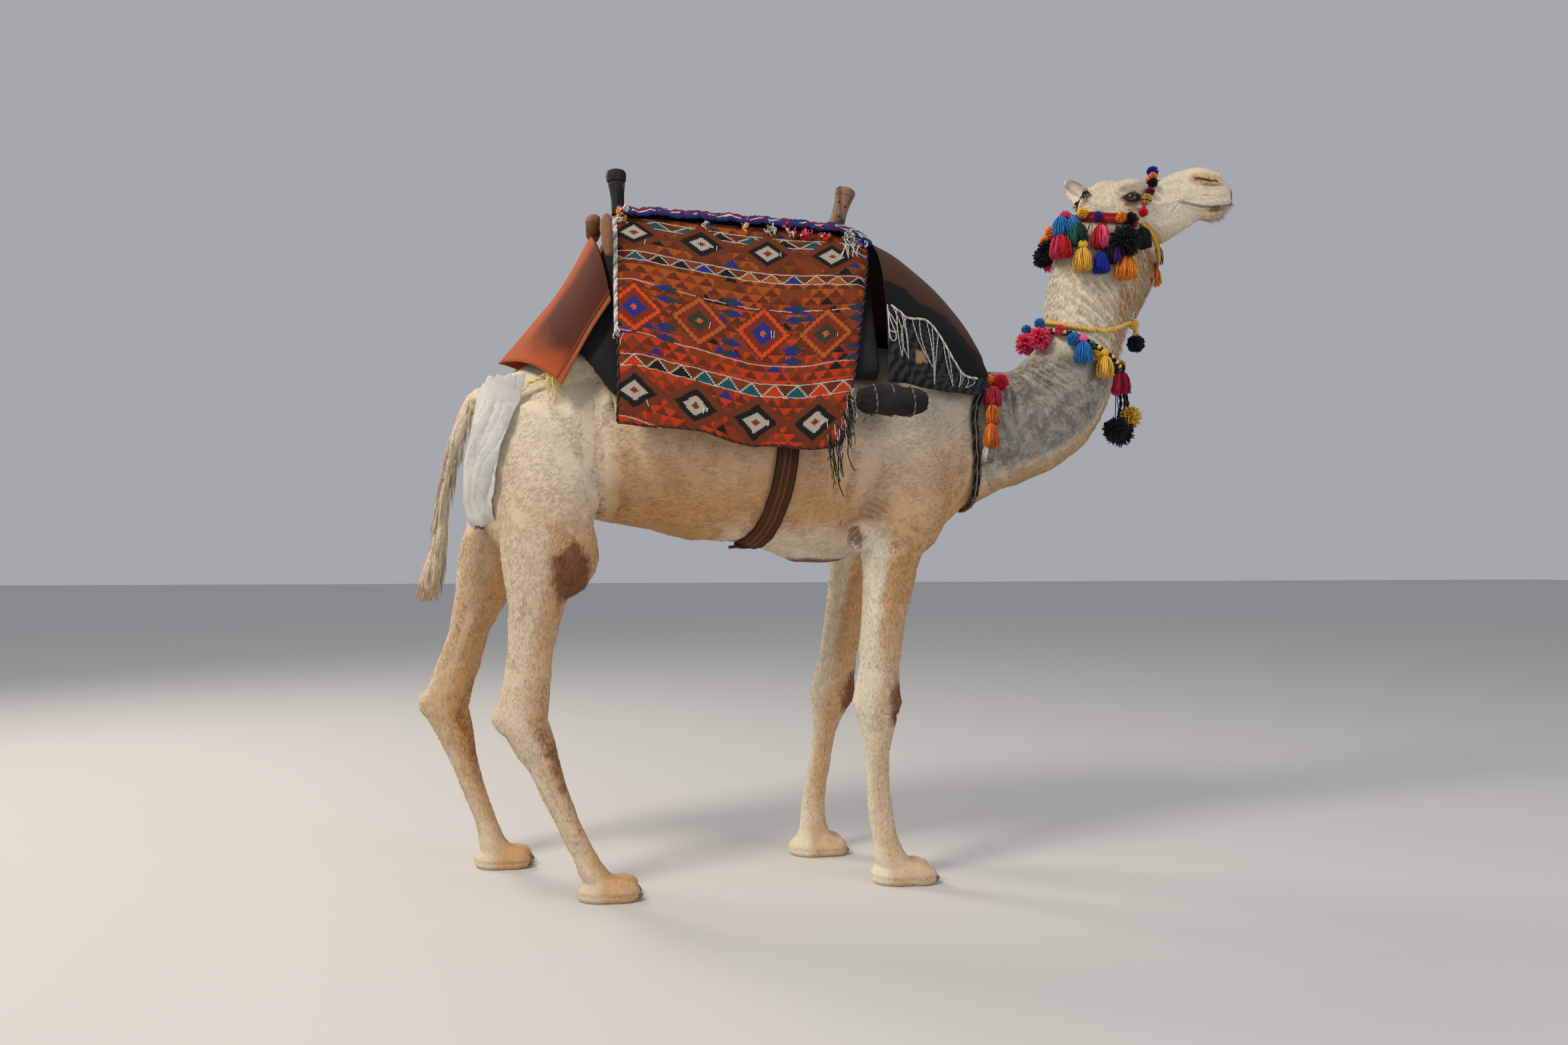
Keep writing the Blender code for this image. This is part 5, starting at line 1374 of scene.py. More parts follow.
def strand_mesh(name, paths, across, above, half_width, thickness, taper=None):
    """A three-sided strand on each path (strands x points x 3), widest at its root, closed at both ends."""
    count, steps, _ = paths.shape
    share = np.linspace(0, 1, steps)[:-1] if taper is None else None
    size = (1 - share**2.0) * 0.75 + 0.25 if taper is None else np.asarray(taper, float)[:-1]
    half = (np.broadcast_to(half_width, (count,))[:, None] * size)[..., None]
    deep = (np.broadcast_to(thickness, (count,))[:, None] * size)[..., None]
    body = paths[:, :-1]
    corners = np.stack([body - across * half, body + across * half, body + above * deep], axis=2)
    per = (steps - 1) * 3 + 1
    points = np.concatenate([corners.reshape(count, -1, 3), paths[:, -1:]], axis=1).reshape(-1, 3)
    faces = [(0, 1, 2)]
    for k in range(steps - 2):
        for i, j in ((0, 1), (1, 2), (2, 0)):
            a, b, c, d = 3 * k + i, 3 * k + j, 3 * k + 3 + j, 3 * k + 3 + i
            faces += [(a, c, b), (a, d, c)]
    last = 3 * (steps - 2)
    faces += [(last + j, last + i, per - 1) for i, j in ((0, 1), (1, 2), (2, 0))]
    faces = (np.array(faces)[None] + per * np.arange(count)[:, None, None]).reshape(-1, 3)
    return triangle_object(name, points, faces), per


def unit(v):
    return v / np.maximum(np.linalg.norm(v, axis=-1, keepdims=True), 1e-9)


# The coat: where it grows, how long it is and which way it lies

TUFT_PATCH = 0.003
# The front of the throat and the back of the nape, as (z, x).
THROAT_FRONT = [(1.5, 1.06), (1.66, 1.10), (1.79, 1.14), (1.9, 1.17), (2.0, 1.20)]
NAPE_BACK = [(1.7, 0.87), (1.8, 0.885), (1.9, 0.90), (2.0, 0.93), (2.1, 0.97)]


def lie_of(points):
    """The way the hair lies at each point, before it is laid along the skin."""
    x, _, z = points.T
    local = in_head(points)
    on_neck = bump_up(x, 0.56, 0.72) * bump_up(z, 1.12, 1.2)
    head = bump_up(local[:, 0], -0.08, 0.02) * bump_up(local[:, 2], -0.12, -0.06) * on_neck
    legs = 1 - bump_up(z, 0.95, 1.15)
    trunk = np.stack([-np.ones_like(x), 0 * x, -0.30 - 0.5 * bump_up(-x, 0.6, 0.85)], 1)
    neck = np.stack(
        [-0.35 - 0.45 * (1 - bump_up(z, 1.5, 1.75)), 0 * x, -1.0 + 0.5 * (1 - bump_up(z, 1.4, 1.7))], 1
    )
    back = np.array(HEAD_MATRIX[:3, :3]) @ np.array((-1.0, 0.0, -0.25))
    way = trunk * (1 - on_neck)[:, None] + neck * (on_neck * (1 - head))[:, None] + back * head[:, None]
    way = way * (1 - legs)[:, None] + np.array((-0.12, 0, -1.0)) * legs[:, None]
    return unit(way)


def hair_length(points):
    x, _, z = points.T
    local = in_head(points)
    lx, _, lz = local.T
    on_neck = bump_up(x, 0.56, 0.72) * bump_up(z, 1.12, 1.2)
    head = bump_up(lx, -0.06, 0.04) * bump_up(lz, -0.12, -0.06) * on_neck
    length = 0.013 - 0.0045 * (1 - bump_up(z, 0.5, 1.1)) - 0.004 * (1 - bump_up(z, 0.04, 0.25))
    length = length * (1 - on_neck) + on_neck * 0.0145
    from_throat = x - np.interp(z, *np.transpose(THROAT_FRONT))
    from_nape = x - np.interp(z, *np.transpose(NAPE_BACK))
    throat = on_neck * bump_up(from_throat, -0.03, 0.02) * bump_up(z, 1.68, 1.76)
    length += throat * 0.012
    length += on_neck * 0.008 * (1 - bump_up(from_nape, 0.0, 0.05)) * bump_up(z, 1.68, 1.74)
    face = 0.0042 + 0.006 * (1 - bump_up(lx, 0.05, 0.22)) + 0.004 * (1 - bump_up(lz, -0.08, -0.02))
    face = np.where(on_ears(local)[:, 0] < 9, 0.0034, face)
    return length * (1 - head) + face * head


def coat_region(points):
    """0 head, 1 neck, 2 trunk, 3 forelegs, 4 hind legs, 5 tail."""
    x, y, z = points.T
    local = in_head(points)
    region = np.full(len(points), 2)
    region[(x > 0.56) & (z > 1.10)] = 1
    region[(local[:, 0] > -0.10) & (local[:, 2] > -0.12) & (x > 0.7)] = 0
    region[(z < 1.06) & (x > -0.1) & (region == 2)] = 3
    region[(z < 1.10) & (x < -0.3) & (region == 2)] = 4
    region[(x < -0.985) & (np.abs(y) < 0.05) & (z > 0.83)] = 5
    return region


def unwrapped(points, region):
    """Each root's place on a plain unwrap round its own part of the body."""
    x, y, z = points.T
    local = in_head(points)
    which, ahead, outward = from_leg_line(points)
    if region == 0:
        turn, run = np.arctan2(local[:, 1], local[:, 2] - 0.04), (local[:, 0] + 0.14) / 0.60
    elif region == 1:
        middle = np.interp(z, [1.2, 1.4, 1.6, 1.8, 2.0], [0.70, 0.85, 0.98, 1.03, 1.10])
        turn, run = np.arctan2(y, x - middle), (z + 0.35 * x - 1.25) / 1.35
    elif region in (2, 5):
        turn, run = np.arctan2(y, z - 1.33), (x + 1.15) / 1.85
    else:
        turn, run = np.arctan2(outward, ahead), z / 1.15
    share = turn / (2 * np.pi) + 0.5
    if region in (3, 4):
        share = (share + (which % 2)) / 2
    return np.clip(np.stack([share, run], 1), 0.004, 0.992)


REGION_NAMES = ("head", "neck", "trunk", "forelegs", "hind_legs", "tail")
TUFTS_PER_M2 = (180_000, 48_000, 25_500, 32_000, 32_000, 40_000)
MOST_TUFTS, FEWEST_TUFTS = 49_500, 10
COVERING = (
    "saddle_pad", "saddle_kilim", "saddle_skirt", "saddle_front_blanket", "rump_bag", "girth_strap",
    "breast_strap",
)


def hidden_under_tack(points, normals):
    """Which points lie close under a cloth or strap of the tack."""
    bm = bmesh.new()
    for node in COVERING:
        bm.from_mesh(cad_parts[node].data)
    tree = BVHTree.FromBMesh(bm)
    bm.free()
    shift = np.array(ROW_SHIFT)
    out = np.zeros(len(points), bool)
    for k, (p, n) in enumerate(zip(points, normals)):
        if p[2] < 0.94 or p[0] > 0.72:
            continue
        out[k] = tree.ray_cast(Vector(p + shift), Vector(n), 0.10)[0] is not None
    return out


def tufts_wanted(middle, facing, area):
    """How many tufts each face of the skin has room for: none on eyes, ears, soles or under the tack."""
    rate = np.array(TUFTS_PER_M2)[coat_region(middle)] * area
    local = in_head(middle)
    eye = np.abs(local) - np.array(EYE_PLACE)
    rate[np.hypot(eye[:, 0] / 1.6, eye[:, 2]) < np.where(np.abs(local[:, 1]) > 0.05, 0.014, 0)] = 0
    rate[middle[:, 2] < 0.012] = 0
    rate[on_ears(local)[:, 0] < 9] = 0
    open_to_air = ~hidden_under_tack(middle[rate > 0], facing[rate > 0])
    shown = np.zeros(len(middle), bool)
    shown[np.flatnonzero(rate > 0)[open_to_air]] = True
    rate[~shown] = 0
    return rate


def grow_coat(skin):
    """Tufts over the whole skin, part by part. The skin's mesh is in the body's own frame."""
    mesh = skin.data
    co, no = points_of(mesh), normals_of(mesh)
    faces = np.empty(len(mesh.polygons) * 3, np.int32)
    mesh.polygons.foreach_get("vertices", faces)
    faces = faces.reshape(-1, 3)
    corners = co[faces]
    doubled = np.cross(corners[:, 1] - corners[:, 0], corners[:, 2] - corners[:, 0])
    middle = corners.mean(1)
    rate = tufts_wanted(middle, unit(no[faces].mean(1)), np.linalg.norm(doubled, axis=1) / 2)
    region = coat_region(middle)
    for number, word in enumerate(REGION_NAMES):
        chance = np.where(region == number, rate, 0)
        count = int(chance.sum())
        if count < FEWEST_TUFTS:
            continue
        count = min(count, MOST_TUFTS)
        picked = RNG.choice(len(faces), count, p=chance / chance.sum())
        a, b = RNG.random((2, count, 1))
        over = a + b > 1
        a, b = np.where(over, 1 - a, a), np.where(over, 1 - b, b)
        three = corners[picked]
        root = three[:, 0] + a * (three[:, 1] - three[:, 0]) + b * (three[:, 2] - three[:, 0])
        grow_tufts(word, number, root, unit(no[faces[picked]].mean(1)))


def grow_tufts(word, number, root, out):
    """One part's tufts, from their roots on the skin; out is the skin's own direction there."""
    count = len(root)
    way = lie_of(root) + RNG.normal(0, 0.20, (count, 3))
    way = unit(way - out * (way * out).sum(1, keepdims=True))
    side = np.cross(way, out)
    length = hair_length(root) * RNG.uniform(0.75, 1.25, count)
    rise = length * 0.10 + np.maximum(0, length - 0.016) * 0.35 + RNG.normal(0, 0.0003, count)
    tip = root + way * length[:, None] + out * (rise + 0.0006)[:, None]
    paths = np.stack([root - out * 0.0008, tip], 1)
    half_width = length * 0.085 + 0.0002
    coat, per = strand_mesh(
        "coat_" + word, paths, side[:, None], out[:, None], half_width, 0.0014, (1.0, 0.0)
    )
    mark(coat.data, np.repeat(root, per, axis=0), np.repeat(RNG.random(count), per))
    wander = np.repeat(RNG.normal(0, 0.16, (count, 3)), per, axis=0)
    coat.data.shade_smooth()
    coat.data.normals_split_custom_set_from_vertices(unit(np.repeat(out, per, axis=0) + wander).tolist())
    bake_map(coat.data, np.repeat(unwrapped(root, number), per, axis=0), per)
    placed(coat, "coat", material=COAT, smooth=False)


def bake_map(mesh, where, per):
    """The OFBake map: each tuft is one small patch at its root's place."""
    corner = np.empty(len(mesh.loops), np.int32)
    mesh.loops.foreach_get("vertex_index", corner)
    nth = corner % per
    spread = np.stack([np.cos(nth * 2.4), np.sin(nth * 2.4)], 1) * TUFT_PATCH / 2
    layer = mesh.uv_layers.new(name="OFBake")
    layer.data.foreach_set("uv", (where[corner] + spread).astype(np.float32).ravel())


# Where the tack lies: the same lines as its solids

SEAT_LINE = [
    (-0.66, 1.79), (-0.60, 1.90), (-0.56, 2.035), (-0.45, 2.040), (-0.25, 2.035), (0.10, 2.022),
    (0.20, 2.012), (0.26, 1.975),
]
KILIM_HEM = [(-0.54, 1.362), (-0.42, 1.360), (-0.30, 1.342), (-0.15, 1.306), (0.00, 1.300), (0.25, 1.330)]
KILIM_REAR = -0.538
KILIM_FRONT = 0.252
KILIM_TAPER = 0.142
SEAT_HALF = 0.100
HEM_HALF = 0.375
SEAT_SHARE = 0.14
SKIRT_RIDGE = [(-0.612, 0, 1.985), (-0.700, 0, 1.822), (-0.788, 0, 1.705), (-0.888, 0, 1.580)]
SKIRT_EDGE = [(-0.556, 0.250, 1.735), (-0.605, 0.262, 1.655), (-0.650, 0.268, 1.570), (-0.695, 0.272, 1.482)]
FLAP_RIDGE = [
    (0.268, 0, 1.990), (0.355, 0, 1.947), (0.489, 0, 1.848), (0.585, 0, 1.745), (0.632, 0, 1.668),
    (0.645, 0, 1.618),
]
FLAP_EDGE = [
    (0.268, 0.300, 1.515), (0.340, 0.285, 1.515), (0.430, 0.250, 1.500), (0.530, 0.205, 1.500),
    (0.600, 0.160, 1.510), (0.640, 0.125, 1.540),
]
BREAST_LINE = [
    (0.622, -0.112, 1.520),
    (0.590, -0.135, 1.450),
    (0.585, -0.148, 1.360),
    (0.596, -0.138, 1.290),
    (0.602, -0.120, 1.230),
    (0.602, -0.090, 1.180),
    (0.600, -0.045, 1.152),
    (0.598, 0, 1.146),
]
BAG_REAR = [(1.07, -0.966), (1.15, -0.988), (1.27, -0.986), (1.37, -0.965), (1.45, -0.953), (1.53, -0.940)]
BAG_EDGE = [
    (1.07, -0.888), (1.12, -0.878), (1.17, -0.868), (1.26, -0.861), (1.38, -0.828), (1.45, -0.814),
    (1.53, -0.800),
]
NOSEBAND_LINE = [
    (0.118, -0.075, -0.004),
    (0.126, -0.072, 0.036),
    (0.144, -0.059, 0.068),
    (0.158, -0.045, 0.096),
    (0.168, -0.022, 0.124),
    (0.170, 0, 0.132),
]
HEADBAND_LINE = [
    (0.104, -0.076, -0.030),
    (0.070, -0.080, -0.021),
    (0.006, -0.076, -0.014),
    (-0.035, -0.066, -0.006),
    (-0.075, -0.055, 0.002),
    (-0.112, -0.030, 0.008),
    (-0.122, 0, 0.010),
]
THROAT_LINE = [
    (0.122, -0.078, -0.034),
    (0.146, -0.068, -0.050),
    (0.172, -0.052, -0.090),
    (0.186, -0.030, -0.140),
    (0.188, 0, -0.158),
]
ROPE_LINE = [
    (1.172, 0, 1.785),
    (1.150, -0.050, 1.768),
    (1.080, -0.085, 1.738),
    (1.010, -0.098, 1.731),
    (0.950, -0.088, 1.740),
    (0.900, -0.055, 1.757),
    (0.880, 0, 1.768),
]
BRAID_LINE = [
    (1.135, 0, 1.610),
    (1.110, -0.050, 1.625),
    (1.060, -0.088, 1.652),
    (1.000, -0.102, 1.684),
    (0.945, -0.094, 1.712),
    (0.890, -0.060, 1.730),
    (0.864, 0, 1.728),
]


# Laying the tack on the skin


def smooth_path(points, steps=8):
    return between([tuple(p) for p in points], steps)


def mirrored(points):
    """The run of points followed by its mirror image, from the right side round to the left."""
    return list(points) + [(x, -y, z) for x, y, z in reversed([p for p in points if abs(p[1]) > 1e-6])]


def ring_path(points, steps=8):
    """A smooth closed run through half a ring's points and their mirror images, ending where it starts."""
    ring = list(points) + [(x, -y, z) for x, y, z in reversed(points[1:-1])]
    looped = between(ring[-2:] + ring + ring[:3], steps)
    return looped[2 * steps : (2 + len(ring)) * steps + 1]


def even(path, step):
    """The same run with points at equal distances."""
    path = np.asarray(path, float)
    run = np.concatenate([[0], np.cumsum(np.linalg.norm(np.diff(path, axis=0), axis=1))])
    at = np.linspace(0, run[-1], max(3, int(run[-1] / step) + 1))
    return np.stack([np.interp(at, run, path[:, k]) for k in range(3)], 1)


class Rest:
    """The skin, to rest things on."""

    def __init__(self, skin):
        bm = bmesh.new()
        bm.from_mesh(skin.data)
        self.tree = BVHTree.FromBMesh(bm)
        bm.free()

    def normal(self, point):
        return self.tree.find_nearest(Vector(point))[1]

    def above(self, point, lift):
        """The point itself, or one lifted off the skin if it is nearer than lift."""
        point = Vector(point)
        foot, normal, _, _ = self.tree.find_nearest(point)
        return foot + normal * lift if (point - foot).dot(normal) < lift else point

    def snug(self, point, lift):
        """The nearest place at exactly this height over the skin."""
        foot, normal, _, _ = self.tree.find_nearest(Vector(point))
        return foot + normal * lift

    def outward(self, point, centre, lift):
        """Moves a point away from the centre until the skin on that line is lift below it."""
        line = point - centre
        reach = line.length
        line.normalize()
        hit, _, _, _ = self.tree.ray_cast(centre + line * 1.5, -line, 1.5)
        return point if hit is None else centre + line * max(reach, (hit - centre).length + lift)


def cloth(name, place, columns, rows, thickness):
    """A cloth through place(u, v), with its UV map keeping u and v, and its thickness on the inner side."""
    bm = bmesh.new()
    bmesh.ops.create_grid(bm, x_segments=columns, y_segments=rows, size=0.5)
    layer = bm.loops.layers.uv.new("place")
    for face in bm.faces:
        for loop in face.loops:
            loop[layer].uv = (loop.vert.co.x + 0.5, loop.vert.co.y + 0.5)
    for vertex in bm.verts:
        vertex.co = place(vertex.co.x + 0.5, vertex.co.y + 0.5)
    made = mesh_object(name, bm, recalc=False)
    modifier(made, "SOLIDIFY", thickness=thickness, offset=-1.0, use_even_offset=False)
    return made


def strap(name, path, rest, width, thickness, crown=0.0):
    """A flat strap along the path, its face turned from the skin; u runs along it in metres, v across it."""
    path = even(path, 0.006)
    run = np.concatenate([[0], np.cumsum(np.linalg.norm(np.diff(path, axis=0), axis=1))])
    along = unit(np.gradient(path, axis=0))
    up = unit(np.array([rest.normal(p) for p in path]))
    for _ in range(3):
        up[1:-1] = unit(up[:-2] + 2 * up[1:-1] + up[2:])
    across = unit(np.cross(up, along))
    up = np.cross(along, across)
    bm = bmesh.new()
    columns = 6
    bmesh.ops.create_grid(bm, x_segments=len(path) - 1, y_segments=columns, size=0.5)
    layer = bm.loops.layers.uv.new("place")
    for face in bm.faces:
        for loop in face.loops:
            loop[layer].uv = ((loop.vert.co.x + 0.5) * run[-1], loop.vert.co.y + 0.5)
    for vertex in bm.verts:
        k = round((vertex.co.x + 0.5) * (len(path) - 1))
        s = vertex.co.y
        vertex.co = path[k] + across[k] * (s * width) + up[k] * (thickness / 2 + crown * (1 - 4 * s * s))
    made = mesh_object(name, bm, recalc=False)
    modifier(made, "SOLIDIFY", thickness=thickness, offset=-1.0)
    return made


# Yarn: many threads, balls and cords in one mesh, each with its own colour

YARN = {
    "pink": (0.85, 0.10, 0.25),
    "rose": (0.80, 0.045, 0.13),
    "yellow": (0.88, 0.52, 0.07),
    "gold": (0.66, 0.40, 0.05),
    "purple": (0.085, 0.035, 0.30),
    "orange": (0.92, 0.27, 0.035),
    "black": (0.012, 0.012, 0.015),
    "blue": (0.035, 0.21, 0.56),
    "deep_blue": (0.022, 0.030, 0.40),
    "green": (0.018, 0.17, 0.105),
    "dark_green": (0.012, 0.045, 0.040),
    "red": (0.66, 0.020, 0.028),
    "crimson": (0.46, 0.020, 0.060),
    "rust": (0.60, 0.14, 0.03),
    "white": (0.70, 0.67, 0.60),
    "grey": (0.30, 0.29, 0.26),
    "brown": (0.10, 0.055, 0.035),
    "rope": (0.70, 0.43, 0.11),
    "pale_rope": (0.80, 0.68, 0.30),
    "hemp": (0.40, 0.36, 0.25),
}


def dye(*words):
    return np.array([YARN[w] for w in words])


def tint_points(mesh, colours):
    """Stores a colour at each point of the mesh, for the yarn's material to read."""
    tint = mesh.attributes.new("tint", "FLOAT_COLOR", "POINT")
    opaque = np.concatenate([colours, np.ones((len(colours), 1))], 1)
    tint.data.foreach_set("color", opaque.astype(np.float32).ravel())


class Bunch:
    """Yarn, wool and cord gathered into one mesh, each point with its own colour."""

    def __init__(self):
        self.points, self.faces, self.tints, self.count = [], [], [], 0

    def add(self, points, faces, colours):
        self.points.append(points)
        self.faces.append(faces + self.count)
        self.tints.append(np.broadcast_to(colours, (len(points), 3)))
        self.count += len(points)

    def tubes(self, paths, radius, colours, sides=3, taper=None):
        """Round threads on paths (threads x points x 3), with a radius and a colour, closed at both ends."""
        paths = np.asarray(paths, float)
        count, steps, _ = paths.shape
        along = unit(np.gradient(paths, axis=1))
        spread = np.abs(along).mean((0, 1))
        guide = np.eye(3)[int(np.argmin(spread))]
        side = unit(np.cross(along, guide))
        up = np.cross(along, side)
        size = np.ones(steps) if taper is None else np.asarray(taper, float)
        reach = (np.broadcast_to(radius, (count,))[:, None] * size)[..., None, None]
        turn = 2 * np.pi * np.arange(sides) / sides
        ring = np.cos(turn)[:, None] * side[:, :, None] + np.sin(turn)[:, None] * up[:, :, None]
        points = (paths[:, :, None] + ring * reach).reshape(-1, 3)
        faces = []
        for k in range(steps - 1):
            for i in range(sides):
                j = (i + 1) % sides
                a, b = k * sides + i, k * sides + j
                faces += [(a, b, b + sides), (a, b + sides, a + sides)]
        for i in range(1, sides - 1):
            last = (steps - 1) * sides
            faces += [(0, i + 1, i), (last, last + i, last + i + 1)]
        faces = (
            np.array(faces)[None, :, ::-1] + steps * sides * np.arange(count)[:, None, None]
        ).reshape(-1, 3)
        colours = np.broadcast_to(colours, (count, 3))
        self.add(points, faces, np.repeat(colours, steps * sides, axis=0))

    def ball(self, centre, radii, colours):
        """A knotted ball, lumpy, its colours in patches."""
        bm = bmesh.new()
        bmesh.ops.create_icosphere(bm, subdivisions=2, radius=1.0)
        points = np.array([v.co for v in bm.verts])
        faces = np.array([[v.index for v in f.verts] for f in bm.faces])
        bm.free()
        colours = np.atleast_2d(colours)
        pick = RNG.integers(0, len(colours), len(points))
        lumps = 1 + RNG.uniform(-0.05, 0.05, len(points))[:, None]
        self.add(np.asarray(centre) + points * lumps * np.asarray(radii), faces, colours[pick])

    def pompom(self, centre, radius, colours, threads=None, shag=0.10):
        """A ball of cut yarn ends: every thread grows outward, and the colours lie in sectors."""
        threads = threads or int(min(420, 120 + 60000 * radius * radius * 4))
        centre, colours = np.asarray(centre, float), np.atleast_2d(colours)
        k = np.arange(threads)
        z = 1 - 2 * (k + 0.5) / threads
        turn = k * 2.39996
        ways = np.stack([np.sqrt(1 - z * z) * np.cos(turn), np.sqrt(1 - z * z) * np.sin(turn), z], 1)
        ways = unit(ways + RNG.normal(0, 0.14, ways.shape))
        length = radius * (1 + RNG.uniform(-1.2, 1.0, threads) * shag)
        share = np.linspace(0.45, 1, 3)[None, :, None]
        paths = ways[:, None] * share * length[:, None, None]
        paths += RNG.normal(0, radius * 0.05, paths.shape) * (share - 0.45)
        paths[..., 2] -= radius * 0.10 * share[..., 0] ** 2
        sector = ((turn + 6 * z) / 2.1).astype(int) % len(colours)
        light = RNG.uniform(0.72, 1.18, threads)[:, None]
        width = min(0.0026, radius * 0.085)
        widths = RNG.uniform(0.8, 1.2, threads) * width
        self.tubes(centre + paths, widths, colours[sector] * light, taper=(1.0, 1.15, 0.75))
        # The core ball, the pompom's own colours at under half their brightness, is painted shade deep among
        # the threads.
        self.ball(centre, (radius * 0.66,) * 3, colours * 0.45)

    def tassel(self, top, length, width, colour, knob, threads):
        """A hanging tassel: a knob, a bound neck and a full skirt of yarns."""
        top, colour = np.asarray(top, float), np.atleast_2d(colour)
        neck = width * 0.20
        if knob is not None:
            self.ball(top + (0, 0, neck * 0.9), (neck * 1.25,) * 3, knob)
        round_neck = neck * 0.92
        turns = np.arange(0, 8 * math.pi, 0.7)
        wound = [
            top + (math.cos(a) * round_neck, math.sin(a) * round_neck, -0.0012 * a / math.pi) for a in turns
        ]
        self.tubes([wound], 0.0012, (0.02, 0.02, 0.02) if knob is not None else colour[0] * 0.5, sides=4)
        turn = RNG.uniform(0, 2 * np.pi, threads)
        out = np.sqrt(RNG.uniform(0.05, 1, threads))
        t = np.array((0.0, 0.16, 0.42, 0.75, 1.0))[None]
        swell = np.interp(t[0], (0, 0.16, 0.42, 0.75, 1.0), (0.32, 0.68, 0.93, 1.02, 1.0))[None]
        reach = out[:, None] * swell * width / 2 * (1 + RNG.normal(0, 0.05, (threads, 5)) * t)
        drop = t * (length * (1 - RNG.uniform(0, 0.13, threads) * (out**2))[:, None])
        wave = RNG.normal(0, 0.0028, (threads, 5, 3)) * t[..., None]
        paths = np.stack([np.cos(turn)[:, None] * reach, np.sin(turn)[:, None] * reach, -drop], 2) + wave
        light = RNG.uniform(0.70, 1.20, threads)[:, None]
        pick = (turn / 2.1).astype(int) % len(colour)
        widths = RNG.uniform(0.0013, 0.0021, threads)
        self.tubes(top + paths, widths, colour[pick] * light, taper=(0.9, 1.1, 1.1, 1.0, 0.8))
        # The dark ball inside the skirt of yarns is painted shade among the threads.
        self.ball(top + (0, 0, -length * 0.48), (width * 0.36, width * 0.36, length * 0.42), colour * 0.4)

    def twisted(self, path, radius, colours, plies=3, pitch=9.0, sides=6):
        """A rope of plies wound round each other along the path."""
        step = radius * 1.5
        path = even(path, step)
        run = np.arange(len(path)) * step
        along = unit(np.gradient(path, axis=0))
        guide = np.eye(3)[int(np.argmin(np.abs(along).mean(0)))]
        side = unit(np.cross(along, guide))
        up = np.cross(along, side)
        colours = np.atleast_2d(colours)
        for ply in range(plies):
            turn = 2 * math.pi * (run / (pitch * radius) + ply / plies)
            line = path + (np.cos(turn)[:, None] * side + np.sin(turn)[:, None] * up) * radius * 0.52
            self.tubes([line], radius * 0.56, colours[ply % len(colours)], sides=sides)

    def tangle(self, centre, radius, colours, threads, thickness, hang=0.0):
        """Loose knotted threads about a point."""
        colours = np.atleast_2d(colours)
        steps = RNG.normal(0, 1, (threads, 6, 3)).cumsum(1)
        steps = steps / np.maximum(np.linalg.norm(steps, axis=2).max(1), 1e-6)[:, None, None] * radius
        start = RNG.normal(0, radius * 0.35, (threads, 1, 3))
        paths = np.asarray(centre) + start + steps
        paths[..., 2] -= hang * np.linspace(0, 1, 6)[None] ** 1.5 * RNG.uniform(0.2, 1, (threads, 1))
        fine = np.stack([between(p, 3) for p in paths])
        widths = RNG.uniform(0.6, 1.2, threads) * thickness
        self.tubes(fine, widths, colours[RNG.integers(0, len(colours), threads)], sides=4)

    def made(self, name):
        made = triangle_object(name, np.concatenate(self.points), np.concatenate(self.faces))
        tint_points(made.data, np.clip(np.concatenate(self.tints), 0, 1))
        return made


# Materials of the tack


def paint_yarn():
    paint = Paint("dyed_yarn", 0.85, Sheen_Weight=0.06, Sheen_Roughness=0.5)
    tint = paint.attribute("tint").outputs["Color"]
    fibre = paint.noise(900.0, 2.0)
    clump = paint.noise(160.0, 2.0)
    paint.bump(fibre * 0.6 + clump * 0.6, 0.0012, 0.5)
    return paint.done(paint.vary(tint, 0.55, fibre * 0.5 + clump * 0.5))


KILIM_LONG, KILIM_DROP = 0.79, 0.76
KILIM_REPEAT = 0.207
KILIM_WARP, KILIM_WEFT = 0.0062, 0.0045
BROWN, INK = (0.125, 0.030, 0.017), (0.016, 0.015, 0.015)


class Weave:
    """The kilim's places, along it and down it in metres, raw and in whole stitches."""

    def __init__(self, paint):
        u, v = paint.uv()
        down = (abs(v * 2.0 - 1.0) - SEAT_SHARE) / (1 - SEAT_SHARE)
        off = (u - 0.62) / 0.5
        self.paint = paint
        self.sag = (1.0 - off * off) * 0.045
        self.raw_x = u * KILIM_LONG + paint.below(v, 0.5) * 0.031
        self.raw_y = (down - paint.most(self.sag, -0.01)) * KILIM_DROP
        self.worn = paint.noise(55.0, 3.0)
        self.slack = (self.worn - 0.5) * 0.010
        self.x = paint.math("FLOOR", self.raw_x / KILIM_WARP) * KILIM_WARP + KILIM_WARP / 2
        self.y = paint.math("FLOOR", self.raw_y / KILIM_WEFT + (self.worn - 0.5) * 1.2) * KILIM_WEFT

    def share(self, value, size):
        return self.paint.math("FRACT", value / size)

    def whole(self, value, size):
        return self.paint.math("FLOOR", value / size)

    def chance(self, a, b, seed):
        """A random value of its own for each pair of whole numbers."""
        made = self.paint.node("ShaderNodeTexWhiteNoise", noise_dimensions="3D")
        self.paint.feed(made.inputs["Vector"], self.paint.point(a, b, seed))
        return Field(self.paint, made.outputs["Value"])


